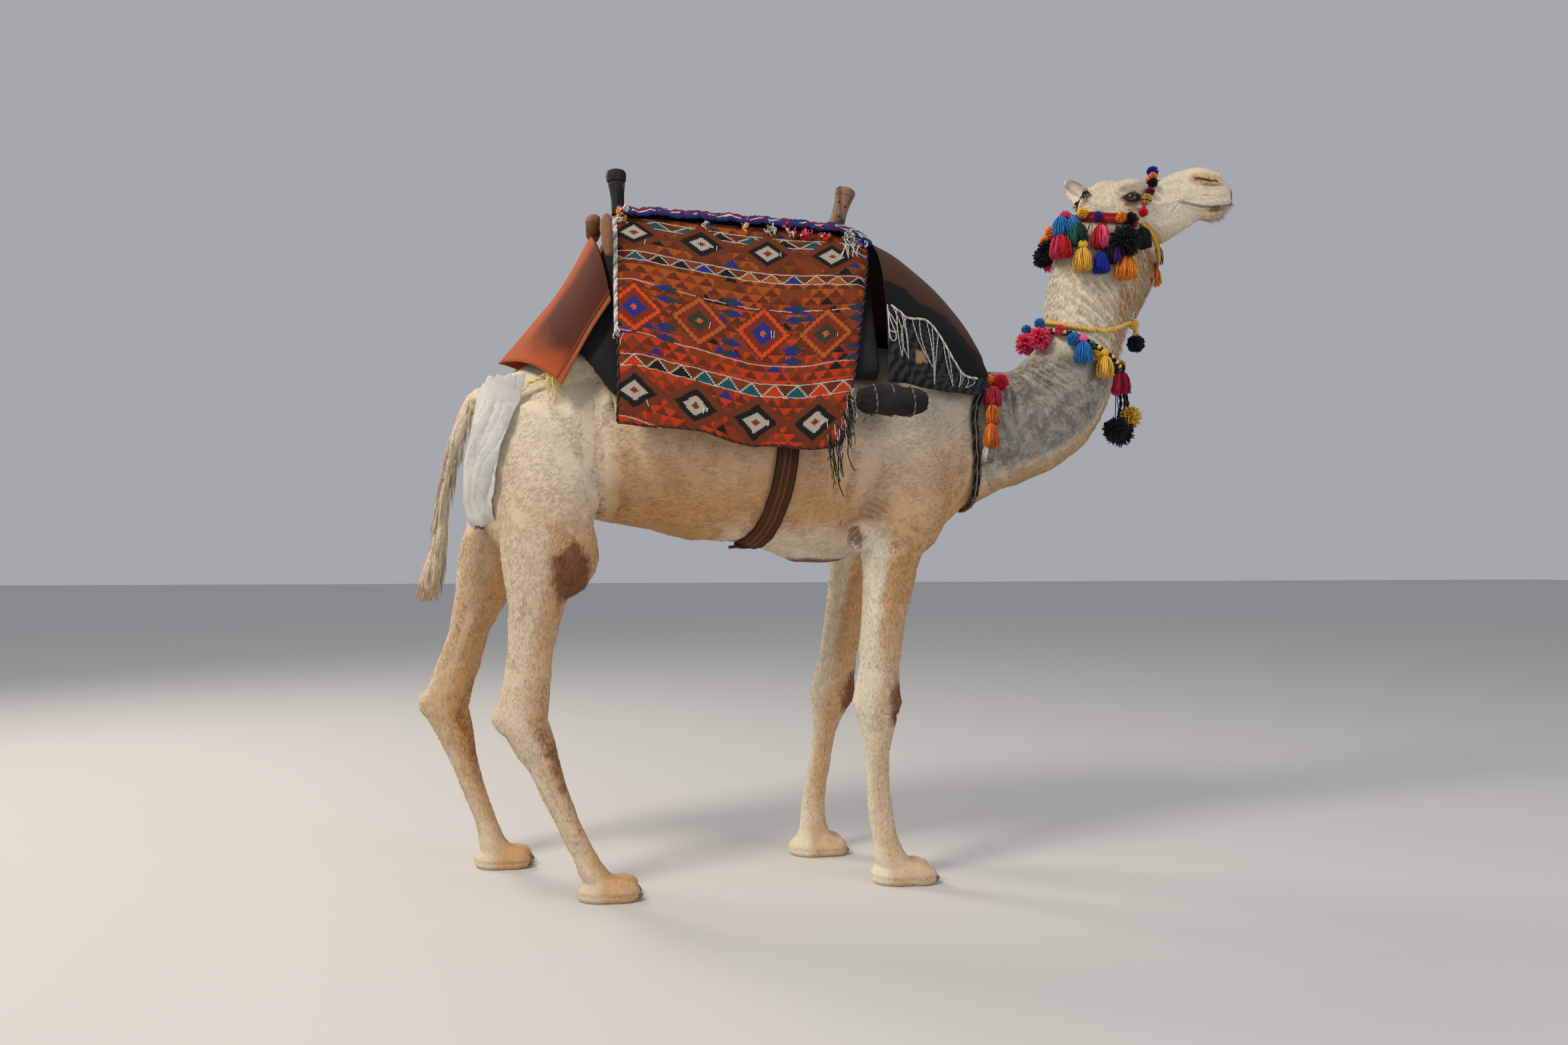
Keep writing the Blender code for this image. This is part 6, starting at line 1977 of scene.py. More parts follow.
def paint_triangles(paint, weave):
    """The ground of small triangles; returns its colour, its dark shade and its orange shade."""
    wide, tall = KILIM_REPEAT / 4, 0.0290
    row = weave.whole(weave.y + 1.0, tall)
    shift = paint.math("MODULO", row, 2.0) * 0.5
    column = paint.math("FLOOR", weave.x / wide + shift + 8.0)
    across = abs(paint.math("FRACT", weave.x / wide + shift + 8.0) - 0.5) * 2.0
    up = paint.below(across, weave.share(weave.y + 1.0, tall))
    lower = paint.ramp(weave.y, 0.10, 0.50)
    orange = paint.mix((0.35, 0.088, 0.017), (0.50, 0.046, 0.013), lower)
    rust = paint.mix((0.19, 0.050, 0.015), (0.29, 0.034, 0.013), lower)
    luck, other = weave.chance(column, row, 1.0), weave.chance(column, row, 7.0)
    ground = paint.mix(orange, rust, paint.below(luck, 0.46))
    dark = paint.mix(BROWN, (0.20, 0.046, 0.018), paint.below(other, 0.35))
    colour = paint.mix(ground, dark, up)
    blue = paint.mix((0.024, 0.034, 0.17), INK, paint.below(other, 0.45))
    return paint.mix(colour, blue, up * paint.below(luck, 0.17)), dark, orange


def paint_band(paint, weave, colour, shades, middle, half, period, seed):
    """A band of triangles between two pale zigzag lines."""
    dark, orange = shades
    at = weave.raw_y - middle * KILIM_DROP - weave.slack
    inside = paint.below(abs(at), half)
    peak = abs(weave.share(weave.x + 3.0, period) - 0.5) * 2.0
    height = (at + half) / (2 * half)
    pick = weave.chance(weave.whole(weave.x + 3.0, period), seed, 3.0)
    fill = paint.mix((0.022, 0.034, 0.20), (0.018, 0.085, 0.105), paint.below(pick, 0.5))
    fill = paint.mix(fill, INK, paint.below(pick, 0.22))
    fill = paint.mix(fill, orange, paint.below(0.74, pick))
    under = paint.below(peak, height)
    colour = paint.mix(colour, paint.mix(dark, fill, under), inside)
    thread = paint.below(abs(peak - height), 0.075) * inside
    edge = paint.below(abs(abs(at) - half), KILIM_LINE)
    return paint.mix(colour, (0.50, 0.44, 0.36), paint.most(thread, edge))


def paint_small_diamonds(paint, weave, colour, far):
    """Dark diamonds with a flecked pale ring, far being 1 on their rim."""
    tooth = (weave.share(weave.raw_x, 2 * KILIM_WARP) - 0.5) * 0.12
    colour = paint.mix(colour, (0.150, 0.038, 0.017), paint.below(far + tooth, 1.50))
    colour = paint.mix(colour, INK, paint.below(far, 1.0))
    fleck = paint.below(weave.share(weave.raw_x + weave.raw_y * 0.5, 0.0050), 0.42)
    ring = paint.mix((0.52, 0.46, 0.38), (0.30, 0.26, 0.22), fleck)
    colour = paint.mix(colour, ring, paint.below(far, 0.60))
    return paint.mix(colour, (0.21, 0.036, 0.020), paint.below(far, 0.20))


def paint_large_diamonds(paint, weave, colour, dx, every_other):
    """The middle row: large bright diamonds with small ones between their corners."""
    dy = abs(weave.y - LARGE_DIAMONDS * KILIM_DROP)
    corner = abs(dx - KILIM_REPEAT / 2)
    for high in (0.052, 0.092):
        small = paint.below(corner / 0.040 + abs(dy - high) / 0.017, 1.0)
        small = small * paint.below(dy, high + 0.012)
        shade = paint.mix((0.022, 0.032, 0.19), (0.03, 0.045, 0.060), every_other)
        colour = paint.mix(colour, shade, small)
    far = dx / 0.088 + dy / 0.088
    tooth = (weave.share(weave.raw_x, 2 * KILIM_WARP) - 0.5) * 0.08
    bright = paint.mix((0.66, 0.072, 0.018), (0.46, 0.105, 0.020), every_other)
    colour = paint.mix(colour, BROWN, paint.below(far, 1.12))
    colour = paint.mix(colour, bright, paint.below(far + tooth, 1.0))
    colour = paint.mix(colour, (0.20, 0.032, 0.018), paint.below(far + tooth, 0.80))
    inner = paint.mix((0.024, 0.034, 0.22), (0.040, 0.048, 0.026), every_other)
    colour = paint.mix(colour, inner, paint.below(far, 0.46))
    return paint.mix(colour, (0.58, 0.115, 0.030), paint.below(far, 0.14))


# Rows of the kilim as shares of its drop: bands with their half height, period and seed, then
# plain lines, then small diamonds with their half width and half height
BANDS = ((0.030, 0.015, 0.100, 1.0), (0.205, 0.016, 0.071, 2.0), (0.715, 0.021, 0.078, 3.0))
LINES = (0.335, 0.585, 0.985)
SMALL_DIAMONDS = ((0.083, 0.067, 0.048), (0.853, 0.075, 0.060))
LARGE_DIAMONDS = 0.46
KILIM_LINE = 0.0016
KILIM_START = 0.0845


def paint_kilim():
    """Flat weave: rows of stepped diamonds on a ground of triangles, crossed by bands and fine pale lines."""
    paint = Paint("kilim_weave", 0.92)
    weave = Weave(paint)
    colour, *shades = paint_triangles(paint, weave)
    for band in BANDS:
        colour = paint_band(paint, weave, colour, shades, *band)
    for middle in LINES:
        at = weave.raw_y - middle * KILIM_DROP - weave.slack - weave.sag * 0.35
        colour = paint.mix(colour, (0.55, 0.40, 0.32), paint.below(abs(at), KILIM_LINE))
    # Ten more repeats keep the places above 0.
    along = weave.x - KILIM_START + KILIM_REPEAT / 2 + KILIM_REPEAT * 10
    dx = abs(weave.share(along, KILIM_REPEAT) * KILIM_REPEAT - KILIM_REPEAT / 2)
    every_other = paint.below(0.5, paint.math("MODULO", weave.whole(along, KILIM_REPEAT), 2.0))
    for middle, wide, tall in SMALL_DIAMONDS:
        far = dx / wide + abs(weave.y - middle * KILIM_DROP) / tall
        colour = paint_small_diamonds(paint, weave, colour, far)
    colour = paint_large_diamonds(paint, weave, colour, dx, every_other)
    corner = paint.below(weave.raw_x, 0.022) * paint.below(weave.raw_y, 0.16)
    colour = paint.mix(colour, (0.74, 0.13, 0.028), corner)
    rib = paint.math("SINE", weave.raw_x * (2 * math.pi / KILIM_WARP))
    weft = paint.math("SINE", weave.raw_y * (2 * math.pi / 0.0030))
    fine = paint.noise(380.0, 2.0)
    paint.bump(rib * 0.55 + weft * 0.18 + fine * 0.6, 0.0012, 0.75)
    return paint.done(paint.vary(colour, 0.42, fine * 0.45 + weave.worn * 0.45 + rib * 0.05))


def paint_stripes():
    """The seat blanket: lengthwise stripes, broken and rubbed."""
    paint = Paint("striped_blanket", 0.92)
    u, v = paint.uv()
    wobble = paint.noise(30.0, 3.0)
    fine = paint.noise(300.0, 2.0)
    lane = abs(v - 0.5) * 2.0 + (wobble - 0.5) * 0.10
    colour = paint.mix((0.018, 0.026, 0.120), (0.026, 0.050, 0.21), wobble)
    lanes = (
        (0.16, 0.22, (0.55, 0.52, 0.50)),
        (0.34, 0.42, (0.24, 0.014, 0.020)),
        (0.50, 0.56, (0.50, 0.47, 0.44)),
        (0.60, 0.70, (0.015, 0.015, 0.020)),
        (0.70, 0.75, (0.55, 0.52, 0.50)),
        (0.79, 0.86, (0.27, 0.016, 0.030)),
        (0.88, 0.92, (0.56, 0.52, 0.48)),
        (0.93, 0.99, (0.10, 0.012, 0.028)),
    )
    for low, high, tone in lanes:
        broken = paint.below(paint.noise(2.2, 3.0, vector=paint.point(u * 9.0, v * 2.0, low * 9.0)), 0.53)
        colour = paint.mix(colour, tone, paint.below(abs(lane - (low + high) / 2), (high - low) / 2) * broken)
    paint.bump(paint.math("SINE", u * (2 * math.pi * 150)) * 0.3 + fine * 0.8 + wobble * 1.5, 0.002, 0.7)
    return paint.done(paint.vary(colour, 0.5, fine))


def paint_leather(name, tan, dark, rough=0.52):
    paint = Paint(name, rough)
    cloudy, grain = paint.noise(9.0, 4.0), paint.noise(240.0, 3.0)
    crease = paint.cells(95.0)
    colour = paint.mix(tan, dark, paint.ramp(cloudy, 0.30, 0.72))
    paint.bump(grain * 0.5 + crease * 0.35, 0.0010, 0.5)
    return paint.done(paint.vary(colour, 0.20, grain), rough + (grain - 0.5) * 0.15)


def paint_skirt():
    """Tan hide with a stitched seam all round, darker under the seat and away from its edges: painted shade
    of the seat mixed with wear.
    """
    paint = Paint("skirt_hide", 0.68)
    u, v = paint.uv()
    cloudy, grain, crease = paint.noise(7.0, 4.0), paint.noise(240.0, 3.0), paint.cells(110.0)
    up = 1.0 - paint.ramp(u + (cloudy - 0.5) * 0.30, 0.66, 0.95)
    inward = paint.ramp(abs(v - 0.5) * 2.0 + (cloudy - 0.5) * 0.25, 0.08, 0.38)
    # Painted shade of the seat, mixed with wear, darkens the hide under the seat.
    colour = paint.mix((0.36, 0.070, 0.016), (0.055, 0.011, 0.006), up * inward * 0.95)
    rim = paint.least(paint.least(v, 1.0 - v) * 0.62, 1.0 - u)
    seam = paint.below(abs(rim - 0.022), 0.0035)
    colour = paint.mix(colour, (0.14, 0.035, 0.018), seam)
    colour = paint.mix(colour, (0.30, 0.085, 0.030), paint.below(rim, 0.012))
    paint.bump(grain * 0.35 + crease * 0.3 - seam * 1.5 + cloudy * 1.0, 0.0012, 0.55)
    return paint.done(paint.vary(colour, 0.16, grain))


def paint_cloth(name, base, other, weave=0.0016, creases=0.0, sheen=0.0, big=6.0):
    """A plain woven or felted cloth, its two tones in clouds."""
    paint = Paint(name, 0.9, Sheen_Weight=sheen)
    cloud, fine = paint.noise(big, 4.0), paint.noise(340.0, 2.0)
    x, y, z = paint.parts(paint.object_point())
    warp = paint.math("SINE", z * (2 * math.pi / weave)) * 0.25
    threads = warp + paint.math("SINE", (x + y) * (2 * math.pi / weave)) * 0.25
    height = threads + fine * 0.7
    if creases:
        fold = abs(paint.noise(5.5, 3.0, vector=paint.object_point((1.0, 1.0, 0.42))) - 0.5) * 2.0
        wrinkle = abs(paint.noise(17.0, 3.0, vector=paint.object_point((1.3, 1.3, 0.6))) - 0.5) * 2.0
        height = height + (fold + wrinkle * 0.5) * (-creases)
    paint.bump(height, 0.0016 if not creases else 0.003, 0.6)
    return paint.done(paint.vary(paint.mix(base, other, paint.ramp(cloud, 0.35, 0.65)), 0.35, fine))


def paint_webbing(name, base, edge, lines):
    """Woven tape: lengthwise lines, darker at its edges. v runs across it."""
    paint = Paint(name, 0.85)
    u, v = paint.uv()
    off = abs(v - 0.5) * 2.0
    fine, cloud = paint.noise(420.0, 2.0), paint.noise(20.0, 3.0)
    colour = paint.mix(base, tuple(c * 0.55 for c in base), cloud)
    for low, high, tone in lines:
        colour = paint.mix(colour, tone, paint.below(abs(off - (low + high) / 2), (high - low) / 2))
    colour = paint.mix(colour, edge, paint.below(0.86, off))
    chevron = paint.math("SINE", (u + off * 0.004) * (2 * math.pi / 0.0032))
    paint.bump(chevron * 0.5 + fine * 0.7 + paint.math("COSINE", off * 12.0) * 0.5, 0.0012, 0.7)
    return paint.done(paint.vary(colour, 0.35, fine * 0.6 + cloud * 0.4))


def paint_wood(name, pale, dark, worn):
    paint = Paint(name, 0.5)
    grain = paint.noise(14.0, 5.0, 0.6, vector=paint.object_point((3.0, 3.0, 0.35)))
    pores = paint.noise(220.0, 2.0, vector=paint.object_point((1.0, 1.0, 0.12)))
    rub = paint.noise(26.0, 4.0)
    colour = paint.mix(pale, dark, paint.ramp(grain, 0.35, 0.65))
    colour = paint.mix(colour, worn, paint.ramp(rub, 0.56, 0.70))
    paint.bump(grain * 0.7 + pores * 0.6 + rub * 0.4, 0.0015, 0.6)
    return paint.done(paint.vary(colour, 0.3, pores), 0.42 + rub * 0.3)


YARN_LOOK = paint_yarn()
BLACK_CLOTH = paint_cloth("black_wool_cloth", (0.016, 0.016, 0.018), (0.032, 0.029, 0.029), sheen=0.03)


# Wearing it: each piece of the tack laid on the body, its head pieces in the head's own frame


def from_cad(name, node, voxel, smoothing):
    """A soft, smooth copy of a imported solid."""
    bm = bmesh.new()
    bm.from_mesh(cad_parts[node].data)
    bmesh.ops.remove_doubles(bm, verts=bm.verts, dist=0.0002)
    bmesh.ops.transform(bm, matrix=Matrix.Translation(-ROW_SHIFT), verts=bm.verts)
    made = mesh_object(name, bm, recalc=False)
    modifier(made, "REMESH", mode="VOXEL", voxel_size=voxel)
    modifier(made, "SMOOTH", factor=0.5, iterations=smoothing)
    return applied(made)


def ripple(x, y, seed):
    """A smooth wandering value near -1 to 1."""
    return (
        math.sin(x * 5.1 + seed) * 0.5 + math.sin(x * 11.3 + y * 7.7 + seed * 2.3) * 0.3
        + math.sin(y * 13.1 - x * 3.7 + seed * 0.7) * 0.2
    )


def saddle_side(q, top, hem, rest, x, lift):
    """A place on the saddle's surface at x; q runs from -1 at the right hem to 1 at the left hem."""
    side = -1 if q < 0 else 1
    q = abs(q)
    if q < SEAT_SHARE:
        y, z = SEAT_HALF * q / SEAT_SHARE, top - 0.012 * (q / SEAT_SHARE) ** 2
    else:
        t = (q - SEAT_SHARE) / (1 - SEAT_SHARE)
        y = SEAT_HALF + (HEM_HALF - SEAT_HALF) * t**0.85
        z = top - 0.012 + (hem - top + 0.012) * t
    centre = Vector((x, 0, 1.30))
    return rest.outward(Vector((x, side * y, z)), centre, lift)


def read(table, x):
    return float(np.interp(x, [row[0] for row in table], [row[1] for row in table]))


def kilim_place(rest):
    def place(u, v):
        q = 2 * v - 1
        drop = max(0.0, (abs(q) - SEAT_SHARE) / (1 - SEAT_SHARE))
        front = KILIM_FRONT - KILIM_TAPER * drop**1.2
        x = KILIM_REAR + (front - KILIM_REAR) * u + 0.003 * drop * math.sin(9 * drop + 1.3)
        point = saddle_side(q, read(SEAT_LINE, x), read(KILIM_HEM, x), rest, x, 0.037)
        centre = Vector((x, 0, 1.30))
        way = (point - centre).normalized()
        wave = 0.0032 * drop * ripple(u * 3.0, drop * 1.4, 1.0 if q < 0 else 4.0)
        curl = -0.004 * max(0.0, (drop - 0.96) / 0.04) - 0.003 * max(0.0, (abs(2 * u - 1) - 0.96) / 0.04)
        point += way * (wave + curl - 0.002)
        point.z += 0.004 * drop * math.sin(u * 17 + (2 if q < 0 else 0)) * max(0.0, drop - 0.9) * 10
        return point

    return place


def seat_place(u, v):
    x = -0.532 + (0.262 + 0.532) * u
    y = (2 * v - 1) * 0.124
    top = read(SEAT_LINE, x) + 0.026
    lump = (
        0.0045 * ripple(u * 9, v * 3, 0.4) + 0.0028 * math.sin(u * 61) * math.sin(v * 19)
        + 0.002 * ripple(u * 40, v * 9, 1.4)
    )
    return Vector((x, y, top + lump - 0.030 * max(0.0, (abs(y) - 0.085) / 0.039) ** 1.5))


def turned(name, foot, head, profile):
    """A turned post: (share of its length, radius) rows spun about its own line."""
    foot, head = Vector(foot), Vector(head)
    length = (head - foot).length
    rows = between([(r, share * length, 0) for share, r in profile], 4)
    bm = bmesh.new()
    run = bmesh.ops.create_grid(bm, x_segments=len(rows) - 1, y_segments=1, size=0.5)["verts"]
    edge = sorted((v for v in run if v.co.y < 0), key=lambda v: v.co.x)
    bmesh.ops.delete(bm, geom=[v for v in run if v.co.y > 0], context="VERTS")
    for vertex, (r, z, _) in zip(edge, rows):
        vertex.co = (max(r, 0.0003), 0, z)
    outline = list(bm.verts) + list(bm.edges)
    full = {"cent": (0, 0, 0), "axis": (0, 0, 1), "dvec": (0, 0, 0), "angle": 2 * math.pi, "steps": 40}
    bmesh.ops.spin(bm, geom=outline, **full)
    bmesh.ops.remove_doubles(bm, verts=bm.verts, dist=0.00005)
    for loop in (0.0, length):
        rim = [v for v in bm.verts if abs(v.co.z - loop) < 1e-5]
        bmesh.ops.contextual_create(bm, geom=rim)
    turn = (head - foot).to_track_quat("Z", "Y").to_matrix().to_4x4()
    bmesh.ops.transform(bm, matrix=Matrix.Translation(foot) @ turn, verts=bm.verts)
    return mesh_object(name, bm)


def at_share(path, t):
    """The point a share t of the way through the path's points."""
    k = min(t, 1.0) * (len(path) - 1)
    low = min(int(k), len(path) - 2)
    return Vector(path[low]).lerp(Vector(path[low + 1]), k - low)


def skirt_place(rest):
    ridge_path, edge_path = smooth_path(SKIRT_RIDGE, 6), smooth_path(SKIRT_EDGE, 6)

    def place(u, v):
        w = 2 * v - 1
        side = -1 if w < 0 else 1
        ridge, edge = at_share(ridge_path, u), at_share(edge_path, u)
        point = ridge.lerp(edge, abs(w))
        point.z += 0.040 * math.sin(math.pi * abs(w)) ** 0.8 * (1 - 0.3 * u)
        point.y = side * (point.y + 0.012 * math.sin(math.pi * abs(w)))
        wave = 0.003 * ripple(u * 1.6, w * 1.3, 2.0)
        return rest.outward(point, Vector((point.x, 0, 1.30)), 0.014 + wave)

    return place


PLEATS = 9
CORD_LINE = [
    (0.215, 1.759), (0.280, 1.749), (0.309, 1.730), (0.334, 1.713), (0.400, 1.712), (0.446, 1.668),
    (0.489, 1.602), (0.530, 1.555), (0.584, 1.550), (0.640, 1.560),
]
BROWN_LINE = [
    (0.215, 1.850), (0.265, 1.838), (0.329, 1.812), (0.382, 1.768), (0.425, 1.755), (0.468, 1.744),
    (0.500, 1.716), (0.560, 1.660), (0.640, 1.610),
]


def flap_place(rest):
    ridge_path, edge_path = smooth_path(FLAP_RIDGE, 6), smooth_path(FLAP_EDGE, 6)

    def place(u, v):
        w = 2 * v - 1
        side = -1 if w < 0 else 1
        ridge, edge = at_share(ridge_path, u), at_share(edge_path, u)
        turn = abs(w) * math.pi / 2
        point = Vector((
            ridge.x + (edge.x - ridge.x) * abs(w),
            side * edge.y * math.sin(turn) ** 0.9,
            edge.z + (ridge.z - edge.z) * math.cos(turn) ** 0.9,
        ))
        centre = Vector((point.x, 0, 1.25))
        layers = 0.006 * float(bump_up(point.z - read(CORD_LINE, point.x), -0.003, 0.004))
        layers += 0.005 * float(bump_up(point.z - read(BROWN_LINE, point.x), -0.003, 0.003))
        fold = 0.005 * abs(w) * ripple(u * 2.6, w, 3.0 + side)
        made = rest.outward(point, centre, 0.014 + layers + fold)
        return made + (made - centre).normalized() * (layers + fold - 0.004)

    return place


def flap_tints(points):
    """The front blanket: a dark blue ridge, a brown strip, a black flap and a checked cloth below."""
    x, z = points[:, 0], points[:, 2]
    cord = np.interp(x, [p[0] for p in CORD_LINE], [p[1] for p in CORD_LINE])
    brown = np.interp(x, [p[0] for p in BROWN_LINE], [p[1] for p in BROWN_LINE])
    ridge = np.interp(x, [p[0] for p in FLAP_RIDGE], [p[2] for p in FLAP_RIDGE])
    check = ((np.floor(x / 0.016 + z / 0.022) + np.floor(z / 0.013)) % 2)[:, None]
    out = np.where(check > 0, (0.040, 0.041, 0.043), (0.010, 0.010, 0.011))
    tan_patch = ((np.abs(x - 0.375) < 0.020) & (np.abs(z - 1.597) < 0.018))[:, None]
    strap = (np.abs(x - 0.240 - (1.60 - z) * 0.12) < 0.009)[:, None] & (z < 1.70)[:, None]
    out = np.where(tan_patch, (0.33, 0.21, 0.12), out)
    out = np.where(strap, (0.32, 0.36, 0.30), out)
    out = np.where((z > cord)[:, None], (0.007, 0.007, 0.008), out)
    out = np.where((z > brown)[:, None], (0.060, 0.025, 0.014), out)
    return np.where((z > ridge - 0.005)[:, None], (0.018, 0.026, 0.105), out)


def sack(name, path, radii, seed, sides=28, flat=1.0):
    """A slack stuffed roll along the path, gathered at its ends."""
    path = between(path, 10)
    share = np.linspace(0, 1, len(path))
    size = np.interp(share, np.linspace(0, 1, len(radii)), radii)
    size = np.maximum(np.convolve(np.pad(size, 2, "edge"), np.ones(5) / 5, "valid"), 0.002)
    along = unit(np.gradient(path, axis=0))
    guide = np.eye(3)[int(np.argmin(np.abs(along).mean(0)))]
    side = unit(np.cross(along, guide))
    up = np.cross(along, side)
    rings = []
    for k, middle in enumerate(path):
        near_end = 1 - min(1.0, min(share[k], 1 - share[k]) / 0.22)
        turn = 2 * np.pi * np.arange(sides) / sides
        crease = 1 + 0.11 * near_end * np.cos(PLEATS * turn + seed)
        crease = crease + 0.05 * np.sin(3 * turn + 7 * share[k] + seed)
        crease = crease + 0.045 * np.sin(23 * share[k] + seed + 1.5 * np.sin(turn))
        reach = size[k] * crease
        rise = (np.sin(turn) * reach * flat)[:, None] * up[k]
        rings.append(middle + (np.cos(turn) * reach)[:, None] * side[k] + rise)
    return loft(name, rings)


# Turned horns: (share of the length, radius), from the saddle up
REAR_HORN = [
    (0, 0.022), (0.15, 0.0212), (0.30, 0.0205), (0.42, 0.0215), (0.55, 0.0235), (0.68, 0.0262),
    (0.715, 0.0245),
    (0.735, 0.0285), (0.78, 0.0305), (0.88, 0.0318), (0.95, 0.0290), (0.985, 0.020), (1.0, 0.006),
]
FRONT_HORN = [
    (0, 0.028), (0.2, 0.0262), (0.4, 0.0240), (0.55, 0.0248), (0.68, 0.0268), (0.76, 0.0292), (0.775, 0.0268),
    (0.80, 0.0298), (0.88, 0.0325), (0.95, 0.0312), (0.985, 0.022), (1.0, 0.006),
]
REAR_HORN_ENDS = (Vector((-0.527, 0, 2.060)), Vector((-0.537, 0, 2.204)))
FRONT_HORN_ENDS = (Vector((0.166, 0, 2.044)), Vector((0.206, 0, 2.186)))
# Studs in the front horn: share of its length, angle round it
STUDS = [(0.30, -1.7), (0.55, -1.2), (0.62, -2.2), (0.45, 1.6), (0.66, 0.9)]
STUD_REACH, STUD_RADIUS = 0.0245, 0.0045


def build_seat(rest):
    """The pad with its kilim and the striped blanket on them."""
    pad = from_cad("saddle_pad_felt", "saddle_pad", 0.0128, 8)
    placed(pad, "black_wool", "saddle_pad", material=BLACK_CLOTH)
    kilim = cloth("kilim", kilim_place(rest), 90, 180, 0.0065)
    placed(kilim, "kilim", "saddle_kilim", material=paint_kilim())
    seat = cloth("seat_blanket", seat_place, 150, 48, 0.008)
    placed(seat, "blanket", "saddle_seat_blanket", material=paint_stripes())
    return pad


def build_horns():
    dark = paint_wood("dark_wood", (0.040, 0.034, 0.036), (0.014, 0.013, 0.015), (0.16, 0.115, 0.10))
    pale = paint_wood("worn_wood", (0.30, 0.180, 0.115), (0.13, 0.070, 0.048), (0.075, 0.045, 0.042))
    placed(turned("horn_rear", *REAR_HORN_ENDS, REAR_HORN), "dark_wood", "saddle_horn_rear", material=dark)
    foot, head = FRONT_HORN_ENDS
    placed(turned("horn_front", foot, head, FRONT_HORN), "wood", "saddle_horn_front", material=pale)
    studs = []
    axis = (head - foot).normalized()
    for k, (share, turn) in enumerate(STUDS):
        level_way = Vector((math.cos(turn), math.sin(turn), 0))
        out = (level_way - axis * level_way.dot(axis)).normalized()
        place = foot + axis * (0.147 * share) + out * STUD_REACH
        studs.append(blob(f"stud_{k}", place, (STUD_RADIUS,) * 3, level=2))
    iron = Paint("nail_iron", 0.55, Metallic=0.7)
    rusty = iron.mix((0.05, 0.042, 0.040), (0.12, 0.06, 0.04), iron.noise(300.0))
    placed(joined(studs, "horn_studs"), "wood", material=iron.done(rusty))


def build_skirt_and_flap(rest):
    """The hide skirt behind the seat and the folded blanket before it."""
    skirt = cloth("rear_skirt", skirt_place(rest), 64, 110, 0.004)
    placed(skirt, "tan_leather", "saddle_skirt", material=paint_skirt())
    flap = cloth("front_blanket", flap_place(rest), 70, 144, 0.006)
    tint_points(flap.data, flap_tints(points_of(flap.data)))
    on_flap = Rest(flap)
    placed(flap, "black_wool", "saddle_front_blanket", material=YARN_LOOK)
    return on_flap


# Slack rolls: points of the right one's middle line, radii along it
REAR_ROLL = [
    (-0.603, -0.122, 2.010), (-0.606, -0.06, 2.018), (-0.604, 0, 2.016), (-0.606, 0.06, 2.018),
    (-0.603, 0.122, 2.010),
]
REAR_ROLL_RADII = (0.010, 0.022, 0.024, 0.0235, 0.024, 0.022, 0.010)
SIDE_ROLL = [(-0.566, 0.160, 2.006), (-0.569, 0.182, 1.978), (-0.568, 0.200, 1.935), (-0.562, 0.217, 1.878)]
SIDE_ROLL_RADII = (0.012, 0.017, 0.0185, 0.0185, 0.016, 0.008)
BUNDLE = [(0.160, 0.350, 1.452), (0.23, 0.348, 1.449), (0.30, 0.338, 1.450), (0.368, 0.330, 1.452)]
BUNDLE_RADII = (0.026, 0.043, 0.0465, 0.0465, 0.0455, 0.042, 0.024)
BUNDLE_TIES = (0.205, 0.262, 0.322)


def build_rolls():
    pale_hide = paint_leather("pale_hide", (0.27, 0.135, 0.075), (0.15, 0.068, 0.040), rough=0.7)
    roll = sack("roll_rear", REAR_ROLL, REAR_ROLL_RADII, 1.0)
    placed(roll, "pale_leather", "saddle_roll_rear", material=pale_hide)
    for word, side in SIDES.items():
        made = sack("roll_" + word, [(x, side * y, z) for x, y, z in SIDE_ROLL], SIDE_ROLL_RADII, 2.0 + side)
        placed(made, "pale_leather", "saddle_roll_" + word, material=pale_hide)
        path = [(x, side * y, z) for x, y, z in BUNDLE]
        bundle = sack("bundle_" + word, path, BUNDLE_RADII, 4.0 + side, sides=40, flat=0.96)
        placed(bundle, "black_wool", "saddle_bundle_" + word, material=BLACK_CLOTH)
        ties = Bunch()
        for x in BUNDLE_TIES:
            turn = np.linspace(0, 2 * np.pi, 40)
            middle = np.array((x, side * np.interp(x, (0.160, 0.368), (0.350, 0.330)), 1.450))
            loop = np.stack([0.003 * np.sin(2 * turn), np.cos(turn) * 0.0475, np.sin(turn) * 0.0455], 1)
            ties.twisted(middle + loop, 0.0026, dye("grey", "brown"), plies=2)
        placed(ties.made("bundle_ties_" + word), "black_wool", material=YARN_LOOK)


# Tufts along the kilim's upper edge: u, share of the width from the middle, colours, size, threads
KNOTS = [
    (0.02, 0.075, ("white", "white", "orange"), 0.022, 16),
    (0.35, 0.082, ("white", "grey", "deep_blue"), 0.016, 10),
    (0.50, 0.080, ("orange", "white"), 0.014, 9),
    (0.60, 0.084, ("white", "white", "grey"), 0.018, 12),
    (0.68, 0.082, ("rose", "white"), 0.018, 11),
    (0.75, 0.084, ("red", "white", "rose"), 0.020, 13),
    (0.82, 0.082, ("white", "red"), 0.020, 13),
    (0.93, 0.084, ("white", "white", "grey"), 0.026, 20),
    (0.97, 0.078, ("red", "deep_blue", "white"), 0.020, 12),
]


def bind_kilim_edges(trims, on_kilim):
    """Cords along the rear, the hem and the front of one side of the kilim."""
    edge = [on_kilim(0.004, q) + (-0.006, 0, 0) for q in np.linspace(0.075, 0.32, 26)]
    trims.twisted(edge, 0.0072, dye("white", "white", "grey"), plies=3, pitch=7.0)
    lower = [on_kilim(0.004, q) + (-0.003, 0, 0) for q in np.linspace(0.32, 0.497, 20)]
    trims.twisted(lower, 0.0040, dye("black", "brown"), plies=2)
    return edge[-1]


